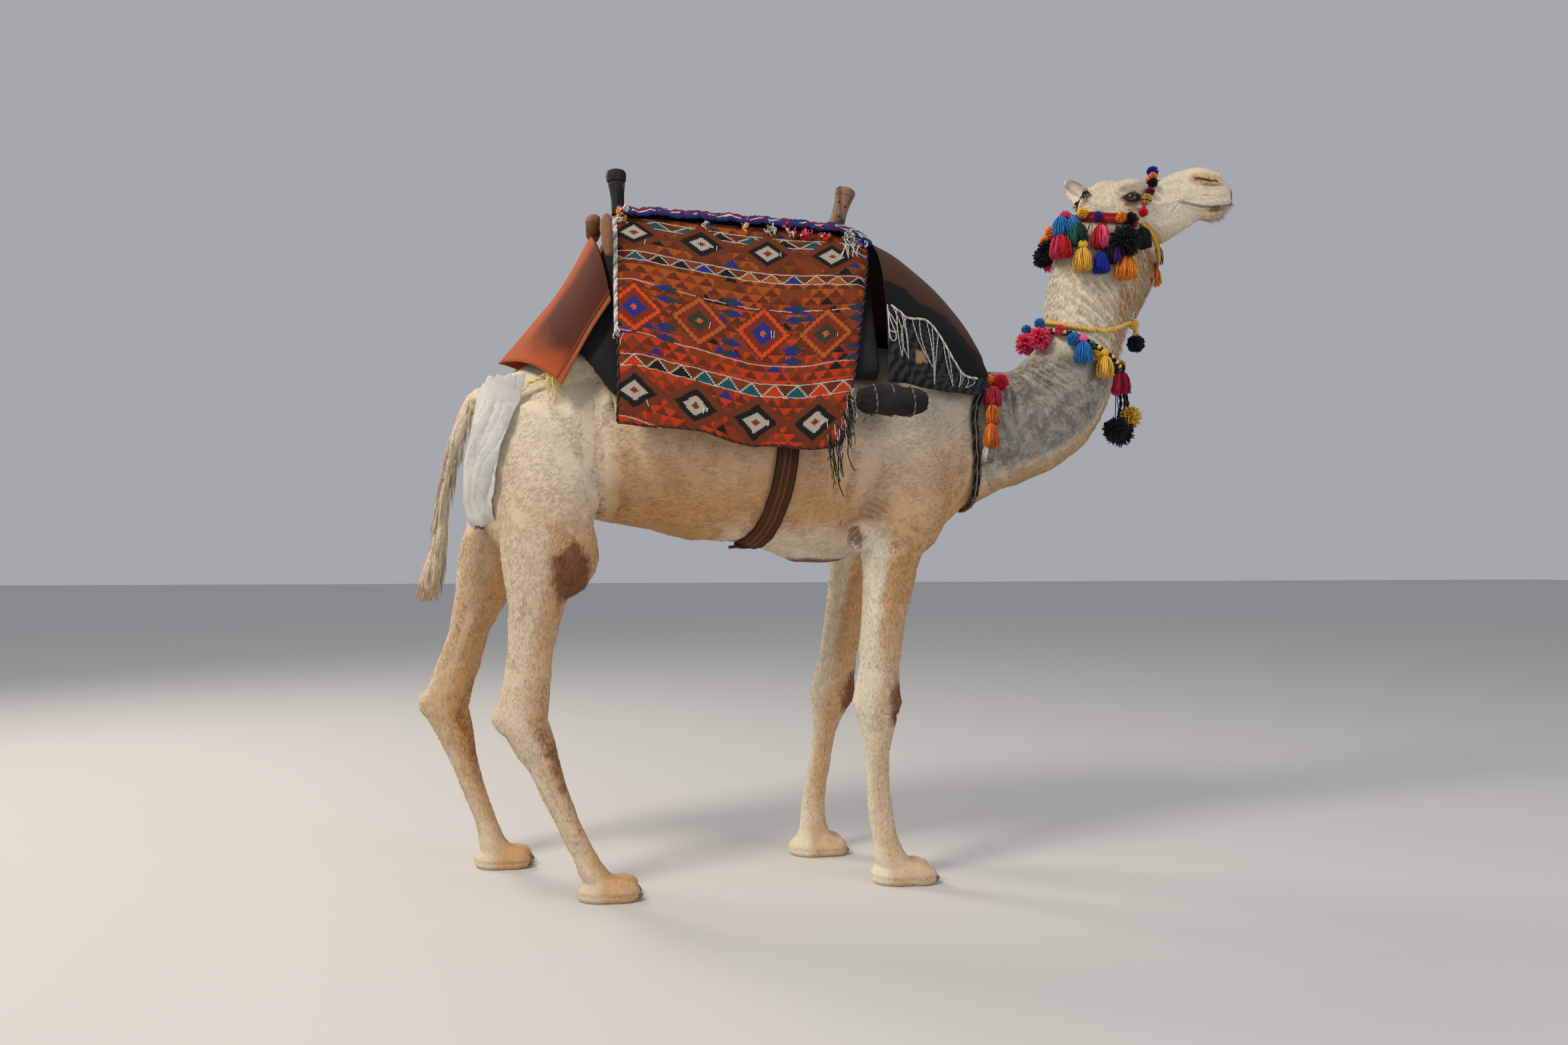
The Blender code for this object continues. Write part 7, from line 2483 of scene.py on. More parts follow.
def fringe_kilim_front(trims, on_kilim, sign):
    """Loose threads that hang from the kilim's front edge."""
    for _ in range(58):
        share = RNG.uniform(0.70, 0.995) ** 0.8
        inset = RNG.uniform(0, 0.07) * (share > 0.9)
        root = on_kilim(0.985 - inset, (0.07 + 0.43 * share) * 0.995) + (0, sign * 0.004, 0)
        drop = RNG.uniform(0.03, 0.13) * (0.6 + 0.6 * share)
        t = np.linspace(0, 1, 6)
        sway = np.cumsum(RNG.normal(0, 0.0042, (6, 2)), axis=0)
        outward = sign * (np.abs(sway[:, 1]) * 0.6 + 0.004 + 0.004 * t)
        path = root + np.stack([sway[:, 0] + 0.006 * t, outward, -drop * t], 1)
        word = ("black", "black", "white", "brown", "grey")[RNG.integers(0, 5)]
        trims.twisted(between(path, 3), RNG.uniform(0.0011, 0.0021), dye(word), plies=2, sides=4)


def hang_kilim_threads(trims, on_kilim, sign):
    """White threads by the front knot and at the points of the diamonds."""
    root = on_kilim(0.93, 0.09) + (0, sign * 0.008, 0)
    t = np.linspace(0, 1, 5)
    for _ in range(7):
        forward = RNG.normal(0, 0.012) + 0.018 * t * RNG.normal(0, 1)
        path = root + np.stack([forward, sign * (0.006 + 0.010 * t), -RNG.uniform(0.03, 0.075) * t], 1)
        trims.twisted(between(path, 3), 0.0017, dye("white"), plies=2, sides=4)
    t = np.linspace(0, 1, 4)
    for _ in range(16):
        u, q = RNG.uniform(0.05, 0.9), RNG.choice((0.083, 0.46, 0.853))
        centre_u = (0.0845 + KILIM_REPEAT * int(u * 4)) / KILIM_LONG
        place = min(centre_u + RNG.normal(0, 0.012), 0.96)
        root = on_kilim(place, 0.07 + 0.43 * (q + 0.035)) + (0, sign * 0.005, 0)
        path = (
            root + np.stack([RNG.normal(0, 0.004) * t, sign * 0.002 * t, -RNG.uniform(0.012, 0.030) * t], 1)
        )
        trims.tubes([between(path, 3)], 0.0011, YARN["white"], sides=4)


def build_kilim_trims(kilim_at):
    """What is sewn or tied to the kilim: cords, fringes, knots and loose threads."""
    trims = Bunch()
    for sign in (-1, 1):

        def on_kilim(u, q):
            return np.array(kilim_at(u, 0.5 + sign * q))

        end = bind_kilim_edges(trims, on_kilim)
        trims.tangle(end + (0.006, sign * 0.006, -0.008), 0.020, dye("white", "grey"), 5, 0.0018, hang=0.02)
        hem = [on_kilim(u, 0.4985) for u in np.linspace(0.01, 0.99, 60)]
        trims.twisted(hem, 0.0028, dye("brown", "black"), plies=2)
        front = [on_kilim(0.997, q) for q in np.linspace(0.08, 0.497, 40)]
        trims.twisted(front, 0.0036, dye("black", "brown", "grey"), plies=2)
        fringe_kilim_front(trims, on_kilim, sign)
        for u, q, words, size, count in KNOTS:
            trims.tangle(on_kilim(u, q) + (0, sign * 0.008, 0.010), size, dye(*words), count, 0.0026)
        hang_kilim_threads(trims, on_kilim, sign)
    placed(trims.made("kilim_trims"), "mixed_wool", material=YARN_LOOK)


# The lower ends of the strings that cross the front blanket, on (x, z)
STRING_ENDS = [
    (0.308, 1.590), (0.329, 1.585), (0.413, 1.567), (0.419, 1.515), (0.488, 1.515), (0.510, 1.515),
    (0.535, 1.515),
]


def build_blanket_strings(on_flap):
    """A cord along the front blanket's fold, strings down from it and loose loops behind."""
    strings = Bunch()
    for side in (-1, 1):

        def on_side(x, z, lift):
            hit, normal, _, _ = on_flap.tree.ray_cast(Vector((x, side * 0.9, z)), Vector((0, -side, 0)))
            if hit is None:
                return np.array(on_flap.snug((x, side * 0.25, z), lift))
            return np.array(hit + normal * lift)

        line = between([(x, 0, z) for x, z in CORD_LINE[1:-1]], 8)
        cord = [on_side(x, z, 0.004) for x, _, z in line]
        strings.twisted(cord, 0.0036, dye("white", "grey", "white"), plies=3)
        for s in np.linspace(0.05, 0.95, 17):
            x0, _, z0 = line[int(s * (len(line) - 1))]
            ex, ez = STRING_ENDS[min(int(s * len(STRING_ENDS)), len(STRING_ENDS) - 1)]
            bow = RNG.normal(0, 0.010)
            path = []
            for t in np.linspace(0, 1, 9):
                arch = math.sin(math.pi * t)
                path.append(
                    on_side(x0 + (ex - x0) * t + bow * arch, z0 + (ez - z0) * t, 0.0035 + 0.004 * arch)
                )
            strings.twisted(between(path, 3), 0.0017, dye("white", "grey"), plies=2, sides=4)
        for _ in range(7):
            x0, z0 = 0.215 + RNG.uniform(0, 0.06), 1.735 + RNG.uniform(-0.03, 0.02)
            wide, deep = RNG.uniform(0.015, 0.035), RNG.uniform(0.03, 0.09)
            path = []
            for s in np.linspace(0, 1, 9):
                path.append(
                    on_side(x0 + wide * math.sin(math.pi * s * 1.6), z0 - deep * math.sin(math.pi * s), 0.005)
                )
            strings.twisted(between(path, 3), 0.0017, dye("white"), plies=2, sides=4)
    placed(strings.made("blanket_strings"), "mixed_wool", material=YARN_LOOK)


def tilted_ring(long, wide, high, tilt, count):
    """A ring of points, long along x, turned by the tilt about that line."""
    turn = np.linspace(0, 2 * np.pi, count)
    across, up = np.sin(turn) * wide * math.cos(tilt), np.sin(turn) * high * math.sin(tilt)
    return np.stack([np.cos(turn) * long, across, up], 1)


def build_girth(rest):
    lines = ((0.20, 0.28, (0.20, 0.10, 0.055)), (0.52, 0.58, (0.045, 0.022, 0.015)))
    webbing = paint_webbing("girth_webbing", (0.115, 0.050, 0.028), (0.055, 0.026, 0.016), lines)
    path = []
    for k in range(73):
        turn = math.radians(-98 + 196 * k / 72)
        x = -0.128 + 0.090 * abs(math.sin(turn)) ** 1.4
        centre = Vector((x, 0, 1.36))
        line = Vector((0, math.sin(turn), -math.cos(turn)))
        path.append(rest.outward(centre + line * 0.05, centre, 0.0095))
    placed(strap("girth", path, rest, 0.066, 0.0075, 0.001), "dark_leather", "girth_strap", material=webbing)
    hide = paint_leather("girth_hide", (0.085, 0.040, 0.024), (0.035, 0.018, 0.012))
    knot = Bunch()
    middle = np.array(rest.snug((-0.142, -0.026, 0.99), 0.010))
    for tilt, reach in ((0.0, 0.014), (0.5, 0.013), (2.6, 0.012)):
        ring = middle + tilted_ring(0.026, reach, reach, tilt, 18)
        knot.tubes([ring], 0.0055, (0.09, 0.045, 0.03), sides=8)
    for dy in (-0.012, 0.010):
        steps = ((0.012, dy, -0.002), (-0.020, dy * 1.3, -0.004), (-0.046, dy * 1.6, -0.007))
        knot.tubes([between([middle + step for step in steps], 5)], 0.0050, (0.11, 0.055, 0.035), sides=8)
    placed(knot.made("girth_knot_thongs"), "dark_leather", "girth_knot", material=hide)


def build_breast_strap(rest):
    """Two black cords side by side with a thin grey one over them, and their fuzz."""
    breast = Bunch()
    line = np.array([rest.snug(p, 0.0085) for p in smooth_path(mirrored(BREAST_LINE), 6)])
    along = unit(np.gradient(line, axis=0))
    out = np.array([rest.normal(p) for p in line])
    across = unit(np.cross(out, along))
    breast.twisted(line + across * 0.0062, 0.0058, dye("black", "black", "brown"), plies=3)
    breast.twisted(line - across * 0.0062, 0.0058, dye("black", "black", "brown"), plies=3)
    breast.twisted(line + out * 0.0050, 0.0018, dye("grey"), plies=2, sides=4)
    paths = []
    for k in range(0, len(line) - 1):
        for _ in range(9):
            root = line[k] + (line[k + 1] - line[k]) * RNG.random() + across[k] * RNG.choice((-1, 1)) * 0.010
            sideways = across[k] * np.sign((root - line[k]) @ across[k]) * 0.006
            way = sideways + out[k] * 0.003 + RNG.normal(0, 0.002, 3)
            paths.append([root, root + way * 0.6, root + way])
    breast.tubes(paths, 0.0005, (0.20, 0.17, 0.14), sides=3)
    placed(breast.made("breast_cords"), "black_wool", "breast_strap", material=YARN_LOOK)


def bag_place(bare_rest):
    def place(u, v):
        w = 2 * v - 1
        side = -1 if w < 0 else 1
        top = 1.405 + 0.115 * min(1.0, abs(w) / 0.45) ** 0.7
        z = top + (1.075 + 0.012 * abs(w) + 0.004 * math.sin(w * 14) - top) * u
        z += (1 - u) * (0.004 * math.sin(w * 37) + 0.003 * math.sin(w * 71 + 1))
        rear, edge = read(BAG_REAR, z), read(BAG_EDGE, z)
        turn = abs(w) * math.pi / 2
        half = 0.185 if z > 1.2 else 0.165 + 0.02 * max(0.0, (z - 1.15) / 0.05)
        ahead = rear + (edge - rear) * (1 - math.cos(turn))
        point = Vector((ahead, side * half * math.sin(turn) ** 0.7, z))
        fall = math.sin(math.pi * min(1.0, u * 1.08))
        slant = w * (6.0 + 4.0 * (1 - u)) + 3.2 * u * side + 0.8 * math.sin(u * 7 + side)
        crease = abs(math.sin(slant)) ** 0.7 * (1 - 0.4 * u)
        crease += 0.5 * abs(math.sin(slant * 2.3 - 5 * u)) ** 0.6 * (1 - 0.6 * u)
        crumple = ripple(u * 6, w * 4.5, 5.0) * 0.5 + abs(ripple(u * 12, w * 9, 1.0)) * 0.7
        swell = 0.012 * fall + 0.0150 * (crease - 0.75) + 0.0045 * crumple
        bottom = -0.014 * max(0.0, (u - 0.93) / 0.07) ** 2
        centre = Vector((-0.74, 0, z))
        point = bare_rest.outward(point, centre, 0.009 + max(0.0, swell))
        return point + (point - centre).normalized() * (bottom + min(0.0, swell))

    return place


def build_bag(bare_rest):
    """The sacking cloth that hangs over the rump, round the root of the tail."""
    bag = cloth("rump_cloth", bag_place(bare_rest), 92, 128, 0.0026)
    tones = ((0.80, 0.785, 0.765), (0.70, 0.68, 0.655))
    sacking = paint_cloth("white_sacking", *tones, weave=0.0014, creases=0.9, big=12.0)
    placed(bag, "white_cloth", "rump_bag", material=sacking)


CRUPPER = [(-0.792, 0.178, 1.500), (-0.765, 0.182, 1.512), (-0.735, 0.190, 1.530), (-0.700, 0.196, 1.560)]


def build_cruppers(rest):
    for word, side in SIDES.items():
        path = [(x, side * y, z) for x, y, z in CRUPPER]
        line = even([rest.above(p, 0.009) for p in smooth_path(path, 8)], 0.004)
        rope = Bunch()
        rope.twisted(line, 0.0055, dye("pale_rope", "rope", "pale_rope"), plies=3)
        made = rope.made("crupper_" + word)
        placed(made, "yellow_rope", "crupper_cord_" + word, material=YARN_LOOK)
        fray = Bunch()
        t = np.linspace(0, 1, 6)
        arch = np.sin(np.pi * t)
        for _ in range(26):
            bow = RNG.normal(0, 0.010, 3)
            root = np.array((-0.722, side * 0.200, 1.525)) + RNG.normal(0, 0.006, 3)
            drop = RNG.uniform(0.02, 0.075)
            forward = 0.014 * RNG.normal() * t + bow[0] * arch
            way = root + np.stack([forward, side * (0.010 + 0.004 * t + abs(bow[1]) * arch), -drop * t], 1)
            fray.tubes([between(way, 3)], 0.0012, dye("pale_rope")[0] * RNG.uniform(0.8, 1.2), sides=4)
        placed(fray.made("crupper_fray_" + word), "yellow_rope", material=YARN_LOOK)


# (x, y, z) in the head's frame, radius, stretch, its colours; a stretch over 1 hangs as a tassel.
NOSE_BALLS = [
    (0.174, 0.000, 0.166, 0.0195, ("deep_blue",)),
    (0.170, -0.020, 0.142, 0.0155, ("orange",)),
    (0.160, -0.048, 0.108, 0.0175, ("black",)),
    (0.148, -0.060, 0.078, 0.0150, ("crimson", "black")),
    (0.131, -0.074, 0.044, 0.0175, ("green", "yellow", "yellow")),
    (0.119, -0.080, 0.004, 0.0155, ("red",)),
]
GARLAND = [
    (-0.125, -0.050, 0.006, 0.0200, 1.0, ("pink",), None),
    (-0.067, -0.060, 0.008, 0.0190, 1.0, ("yellow",), None),
    (-0.021, -0.076, -0.006, 0.0160, 1.0, ("purple",), None),
    (0.050, -0.088, -0.018, 0.0195, 1.0, ("orange",), None),
    (0.074, -0.088, -0.022, 0.0220, 1.0, ("black",), None),
    (-0.172, -0.060, -0.050, 0.0220, 1.0, ("orange",), None),
    (-0.143, -0.072, -0.036, 0.0300, 1.15, ("blue",), None),
    (-0.104, -0.082, -0.032, 0.0240, 1.10, ("blue",), None),
    (-0.088, -0.086, -0.068, 0.0330, 1.10, ("green", "green", "dark_green"), None),
    (-0.140, -0.075, -0.106, 0.0370, 1.05, ("pink", "rose", "red"), None),
    (-0.184, -0.050, -0.106, 0.0330, 1.0, ("black",), None),
    (-0.079, -0.096, -0.154, 0.0330, 1.15, ("yellow",), "gold"),
    (-0.021, -0.096, -0.080, 0.0290, 1.30, ("red", "red", "pink"), None),
    (-0.019, -0.100, -0.165, 0.0280, 1.20, ("deep_blue",), None),
    (0.050, -0.096, -0.092, 0.0520, 1.0, ("black",), None),
    (0.062, -0.096, -0.178, 0.0340, 1.20, ("orange",), "orange"),
    (0.020, -0.092, -0.130, 0.0300, 1.15, ("black", "black", "purple"), None),
    (0.122, -0.078, -0.078, 0.0270, 1.25, ("black",), None),
]
GARLAND_FAR = [
    (0.176, 0.070, -0.090, 0.033, 1.1, ("black",), None),
    (0.170, 0.060, -0.165, 0.030, 1.15, ("orange", "pink"), None),
]
COLLAR_SIDE = [
    (0.850, -0.050, 1.708, 0.0370, 1.0, ("rose", "pink", "red"), None),
    (0.843, -0.058, 1.758, 0.0180, 1.0, ("blue",), None),
    (0.905, -0.080, 1.732, 0.0190, 1.0, ("red", "pink"), None),
    (0.937, -0.110, 1.698, 0.0220, 1.0, ("blue",), None),
    (0.964, -0.118, 1.655, 0.0290, 1.20, ("blue",), "pink"),
    (0.994, -0.112, 1.682, 0.0160, 1.0, ("green",), None),
    (1.010, -0.115, 1.648, 0.0180, 1.0, ("gold",), None),
    (1.037, -0.108, 1.612, 0.0290, 1.20, ("yellow",), "gold"),
]
COLLAR_FRONT = [
    (1.148, -0.010, 1.635, 0.0195, 1.0, ("gold",), None),
    (1.142, -0.020, 1.575, 0.0310, 1.25, ("crimson", "rose"), "black"),
    (1.178, -0.016, 1.462, 0.0370, 1.0, ("yellow", "gold"), None),
    (1.146, -0.008, 1.414, 0.0460, 1.0, ("black",), None),
    (1.118, -0.034, 1.418, 0.0400, 1.0, ("black",), None),
]
WITHERS = [
    (0.650, -0.105, 1.552, 0.0190, 1.0, ("orange",), None),
    (0.682, -0.110, 1.540, 0.0270, 1.0, ("red", "crimson"), None),
    (0.652, -0.130, 1.495, 0.0260, 1.20, ("crimson",), None),
    (0.640, -0.150, 1.440, 0.0210, 1.60, ("rust", "orange"), "orange"),
    (0.632, -0.160, 1.375, 0.0240, 1.60, ("rust", "orange"), None),
    (0.625, -0.160, 1.318, 0.0190, 1.50, ("black", "white", "grey"), None),
]


def hang(bunch, places, rest, anchors):
    """Pompoms and tassels at their places, each on a thin thread from the nearest anchor point above it."""
    anchors = np.asarray(anchors)
    for x, y, z, radius, stretch, words, knob in places:
        centre = np.array(rest.above(Vector((x, y, z)), radius * 0.80 + 0.006))
        colours = dye(*words)
        if stretch == 1.0:
            bunch.pompom(centre, radius, colours, shag=0.16 if radius > 0.03 else 0.08)
            top = centre + (0, 0, radius * 0.6)
        else:
            top = centre + (0, 0, radius * stretch * 0.92)
            knob_colour = None if knob is None else dye(knob)[0]
            threads = int(90 + 2200 * radius)
            bunch.tassel(top, radius * stretch * 1.98, radius * 2.0, colours, knob_colour, threads)
        near = anchors[np.argmin(np.linalg.norm(anchors - top, axis=1))]
        middle = np.array(rest.above(Vector((near + top) / 2), 0.006))
        bunch.twisted(between([near, middle, top], 6), 0.0020, dye("black", "brown"), plies=2, sides=4)


def on_head_run(points, steps):
    """The head's own line and its mirror image, as a smooth run on the body."""
    return smooth_path([tuple(on_head(p)[0]) for p in mirrored(points)], steps)


def build_noseband(rest):
    nose = np.array([rest.snug(p, 0.0075) for p in on_head_run(NOSEBAND_LINE, 6)])
    band = Bunch()
    band.twisted(nose, 0.0062, dye("crimson", "black", "crimson"), plies=3)
    for side in SIDES.values():
        # The first ball hangs on the middle line, so only the right side adds it.
        for x, y, z, radius, words in NOSE_BALLS[0 if side < 0 else 1 :]:
            centre = rest.above(Vector(on_head((x, -side * y, z))[0]), radius * 0.85 + 0.004)
            band.pompom(np.array(centre), radius, dye(*words), threads=230, shag=0.05)
    placed(band.made("noseband"), "mixed_wool", "halter_noseband", material=YARN_LOOK)


def build_head_straps(rest):
    """The red headband and the ochre throat strap; returns the headband's line."""
    red_lines = ((0.0, 0.10, (0.55, 0.05, 0.05)), (0.50, 0.60, (0.10, 0.012, 0.03)))
    red_tape = paint_webbing("red_tape", (0.42, 0.022, 0.026), (0.25, 0.016, 0.022), red_lines)
    cheek = np.array([rest.snug(p, 0.0065) for p in on_head_run(HEADBAND_LINE, 8)])
    headband = strap("headband", cheek, rest, 0.034, 0.0042, 0.0006)
    placed(headband, "red_strap", "halter_headband", material=red_tape)
    ochre_lines = ((0.0, 0.12, (0.78, 0.50, 0.09)),)
    ochre = paint_webbing("ochre_tape", (0.66, 0.34, 0.035), (0.42, 0.20, 0.03), ochre_lines)
    throat = [rest.above(tuple(on_head(p)[0]), 0.010) for p in smooth_path(mirrored(THROAT_LINE), 8)]
    throat_strap = strap("throat_strap", throat, rest, 0.018, 0.0042, 0.0006)
    placed(throat_strap, "ochre_strap", "halter_throat_strap", material=ochre)
    return cheek


def build_garlands(rest, cheek):
    middle_y = on_head((0, 0, 0))[0][1]
    for word, side in SIDES.items():
        rows = GARLAND if side < 0 else GARLAND + [(x, -y, z, *more) for x, y, z, *more in GARLAND_FAR]
        places = [(*on_head((x, -side * y, z))[0], *more) for x, y, z, *more in rows]
        bunch = Bunch()
        hang(bunch, places, rest, [p for p in cheek if (p[1] - middle_y) * side > 0.02])
        placed(bunch.made("garland_" + word), "mixed_wool", "halter_garland_" + word, material=YARN_LOOK)


TIE_ROPE = [
    (1.202, -0.012, 1.795), (1.220, -0.014, 1.830), (1.240, -0.016, 1.868), (1.258, -0.020, 1.905),
    (1.268, -0.024, 1.930),
]


def build_tie_rope(rest):
    line = even([rest.above(p, 0.007) for p in smooth_path(TIE_ROPE, 8)], 0.004)
    thin = Bunch()
    thin.twisted(line, 0.0055, dye("hemp", "grey", "hemp"), plies=3)
    made = thin.made("halter_tie_rope")
    placed(made, "grey_rope", "halter_tie", material=YARN_LOOK)


BRAID_BALLS = ("yellow", "green", "yellow", "pale_rope")


def build_neck_ropes(rest):
    """The yellow rope and the dark braid with its beads; returns the braid's line."""
    rope_line = np.array([rest.snug(p, 0.010) for p in ring_path(ROPE_LINE)])
    rope = Bunch()
    rope.twisted(rope_line, 0.0080, dye("rope", "rope", "gold"), plies=3, pitch=6.0, sides=8)
    placed(rope.made("neck_rope"), "yellow_rope", "collar_rope", material=YARN_LOOK)
    braid_line = np.array([rest.snug(p, 0.013) for p in ring_path(BRAID_LINE)])
    braid = Bunch()
    braid.twisted(braid_line, 0.0105, dye("black", "black", "dark_green"), plies=3, pitch=5.0, sides=8)
    for k, p in enumerate(even(braid_line, 0.030)[:-1]):
        if abs(p[1]) > 0.02:
            centre = p + np.array(rest.normal(p)) * 0.007
            braid.ball(centre, (0.0085, 0.0085, 0.0070), dye(BRAID_BALLS[k % 4]))
    placed(braid.made("neck_braid"), "black_wool", "collar_braid", material=YARN_LOOK)
    return braid_line


def build_rope_tassel():
    """The knot in front of the yellow rope, and the tassel under it."""
    knot = Bunch()
    rope = dye("rope")[0]
    middle = np.array((1.200, -0.008, 1.774))
    for tilt in (0.2, 1.3, 2.4):
        knot.tubes([middle + tilted_ring(0.013, 0.012, 0.013, tilt, 20)], 0.0058, rope, sides=8)
    stem = between([(1.203, -0.010, 1.768), (1.205, -0.011, 1.755), (1.205, -0.012, 1.738)], 4)
    knot.tubes([stem], 0.0085, rope * 0.9, sides=10)
    knot.pompom((1.205, -0.012, 1.712), 0.030, dye("dark_green", "black", "black"), shag=0.07)
    knot.ball((1.205, -0.012, 1.736), (0.013, 0.013, 0.010), dye("green", "yellow"))
    placed(knot.made("rope_tassel"), "mixed_wool", "collar_rope_tassel", material=YARN_LOOK)


def build_collar_front(rest, braid_line):
    front = Bunch()
    hang(front, COLLAR_FRONT, rest, braid_line)
    for dx, dy in ((0.0, -0.010), (0.014, 0.006), (-0.006, 0.004)):
        top = np.array((1.150 + dx, -0.008 + dy, 1.560))
        low = np.array((1.150 + dx * 1.6, -0.010 + dy, 1.455))
        cord = [rest.above(p, 0.008) for p in (top, (top + low) / 2 + (0.010, 0, 0), low)]
        front.twisted(between(cord, 8), 0.0058, dye("dark_green", "black"), plies=2)
    placed(front.made("collar_front"), "mixed_wool", "collar_front_tassel", material=YARN_LOOK)


# Where the tassels at the withers are tied, on the left side
WITHERS_TIES = [
    (0.645, 0.100, 1.575), (0.650, 0.125, 1.53), (0.644, 0.145, 1.47), (0.636, 0.155, 1.41),
    (0.630, 0.160, 1.35),
]


def build_collar_sides(rest, braid_line):
    """The tassels on each side of the braid, and those at the withers."""
    for word, side in SIDES.items():
        bunch = Bunch()
        places = [(x, -side * y, *more) for x, y, *more in COLLAR_SIDE]
        hang(bunch, places, rest, braid_line[braid_line[:, 1] * side > 0])
        made = bunch.made("collar_tassels_" + word + "_wool")
        placed(made, "mixed_wool", "collar_tassels_" + word, material=YARN_LOOK)
        bunch = Bunch()
        places = [(x, -side * y, *more) for x, y, *more in WITHERS]
        hang(bunch, places, rest, [rest.above((x, side * y, z), 0.010) for x, y, z in WITHERS_TIES])
        placed(bunch.made("withers_wool_" + word), "mixed_wool", "withers_tassel_" + word, material=YARN_LOOK)


# Eyes, lashes, nails and the long hair

LASHES, UPPER_LASHES = 86, 60


def paint_eye():
    paint = Paint("dark_eye", 0.06, Specular_IOR_Level=0.5, Coat_Weight=0.8, Coat_Roughness=0.03)
    cloudy = paint.ramp(paint.noise(160.0, 4.0), 0.45, 0.75)
    return paint.done(paint.mix((0.016, 0.008, 0.005), (0.060, 0.028, 0.014), cloudy))


def add_lash(lashes, side, upper):
    """One lash on the rim of a lid, longer and more drooping on the upper lid."""
    s = RNG.uniform(-0.98, 0.98)
    high = EYE_OPENING[1] if upper else -EYE_OPENING[2]
    lx = s * EYE_OPENING[0]
    lz = high * math.sqrt(1 - s * s) + EYE_SLOPE * lx
    ly = math.sqrt(max(0.0, (EYE_RADIUS + 0.003) ** 2 - lx**2 - lz**2))
    root = np.array((EYE_PLACE[0] + lx, side * (EYE_PLACE[1] + ly - 0.001), EYE_PLACE[2] + lz))
    long = RNG.uniform(0.010, 0.019) if upper else RNG.uniform(0.005, 0.009)
    way = np.array((s * 0.35 + 0.25, side * 1.0, 0.15 if upper else -0.5)) + RNG.normal(0, 0.10, 3)
    fall = np.array((0, 0, -0.55 if upper else 0.1))
    t = np.linspace(0, 1, 4)[:, None]
    path = on_head(root + way * long * t + fall * long * t**2)
    lashes.tubes([path], 0.00042, (0.07, 0.045, 0.03), taper=(1.2, 1.0, 0.7, 0.3))


def build_eyes():
    wet = paint_eye()
    lashes = Bunch()
    for word, side in SIDES.items():
        centre = on_head((EYE_PLACE[0], side * EYE_PLACE[1], EYE_PLACE[2]))[0]
        ball = blob("eyeball_" + word, centre, (EYE_RADIUS,) * 3, level=5)
        placed(ball, "eye", "eye_" + word, material=wet)
        for k in range(LASHES):
            add_lash(lashes, side, upper=k < UPPER_LASHES)
    placed(lashes.made("lashes"), "eye", material=YARN_LOOK)


def build_nails():
    paint = Paint("horn_nail", 0.55, Specular_IOR_Level=0.4)
    grain = paint.noise(150.0, 3.0, vector=paint.object_point((1, 1, 0.25)))
    cloud = paint.noise(40.0, 3.0)
    paint.bump(grain + cloud, 0.0012, 0.6)
    share = paint.ramp(cloud * 0.6 + grain * 0.4, 0.35, 0.65)
    horn = paint.done(paint.mix((0.14, 0.105, 0.075), (0.30, 0.235, 0.165), share))
    for leg in LEG_LINES:
        for word in SIDES:
            node = f"nail_{leg}_{word}"
            placed(from_cad("horn_" + leg + "_" + word, node, 0.0022, 4), "nail", node, material=horn)


HAIRS_PER_CLUMP = 9
TAIL_LINE = [
    (-0.985, 1.470), (-1.008, 1.390), (-1.026, 1.310), (-1.044, 1.205), (-1.054, 1.100), (-1.068, 0.990),
    (-1.088, 0.910), (-1.092, 0.858),
]


def long_hair(name, roots, ways, lengths, droop, width, region, clumps=0.0, steps=6):
    """Long hairs from their roots, setting out along ways and falling with the droop."""
    count = len(roots)
    t = np.linspace(0, 1, steps)[None, :, None]
    ways = unit(ways)
    paths = roots[:, None] + ways[:, None] * lengths[:, None, None] * t * (1 - droop * t)
    paths[..., 2] -= (lengths[:, None] * droop * t[..., 0] ** 1.3) * 0.85
    paths += np.cumsum(RNG.normal(0, 0.0008, paths.shape), axis=1) * t
    if clumps:
        # Not used: this draw only keeps the draws after it the same.
        RNG.integers(0, count, count)
        order = np.argsort(roots[:, 2] * 3 + roots[:, 0])
        group = (np.arange(count) // HAIRS_PER_CLUMP)[np.argsort(order)]
        middle = np.zeros((group.max() + 1, 3))
        for axis in range(3):
            middle[:, axis] = np.bincount(group, paths[:, -1, axis]) / np.bincount(group)
        paths += (middle[group][:, None] - paths[:, -1:]) * (t**1.6) * clumps
    side = unit(np.cross(paths[:, -1] - paths[:, 0], RNG.normal(0, 1, (count, 3))))
    out = unit(np.cross(side, paths[:, -1] - paths[:, 0]))
    made, per = strand_mesh(name, paths, side[:, None], out[:, None], width, width * 0.8)
    mark(made.data, np.repeat(roots, per, axis=0), np.repeat(RNG.random(count), per))
    bake_map(made.data, np.repeat(unwrapped(roots, region), per, axis=0), per)
    placed(made, "coat", material=COAT)


def pick(mask, count):
    """That many of the chosen points, at random and with repeats."""
    chosen = np.flatnonzero(mask)
    return chosen[RNG.integers(0, len(chosen), count)]


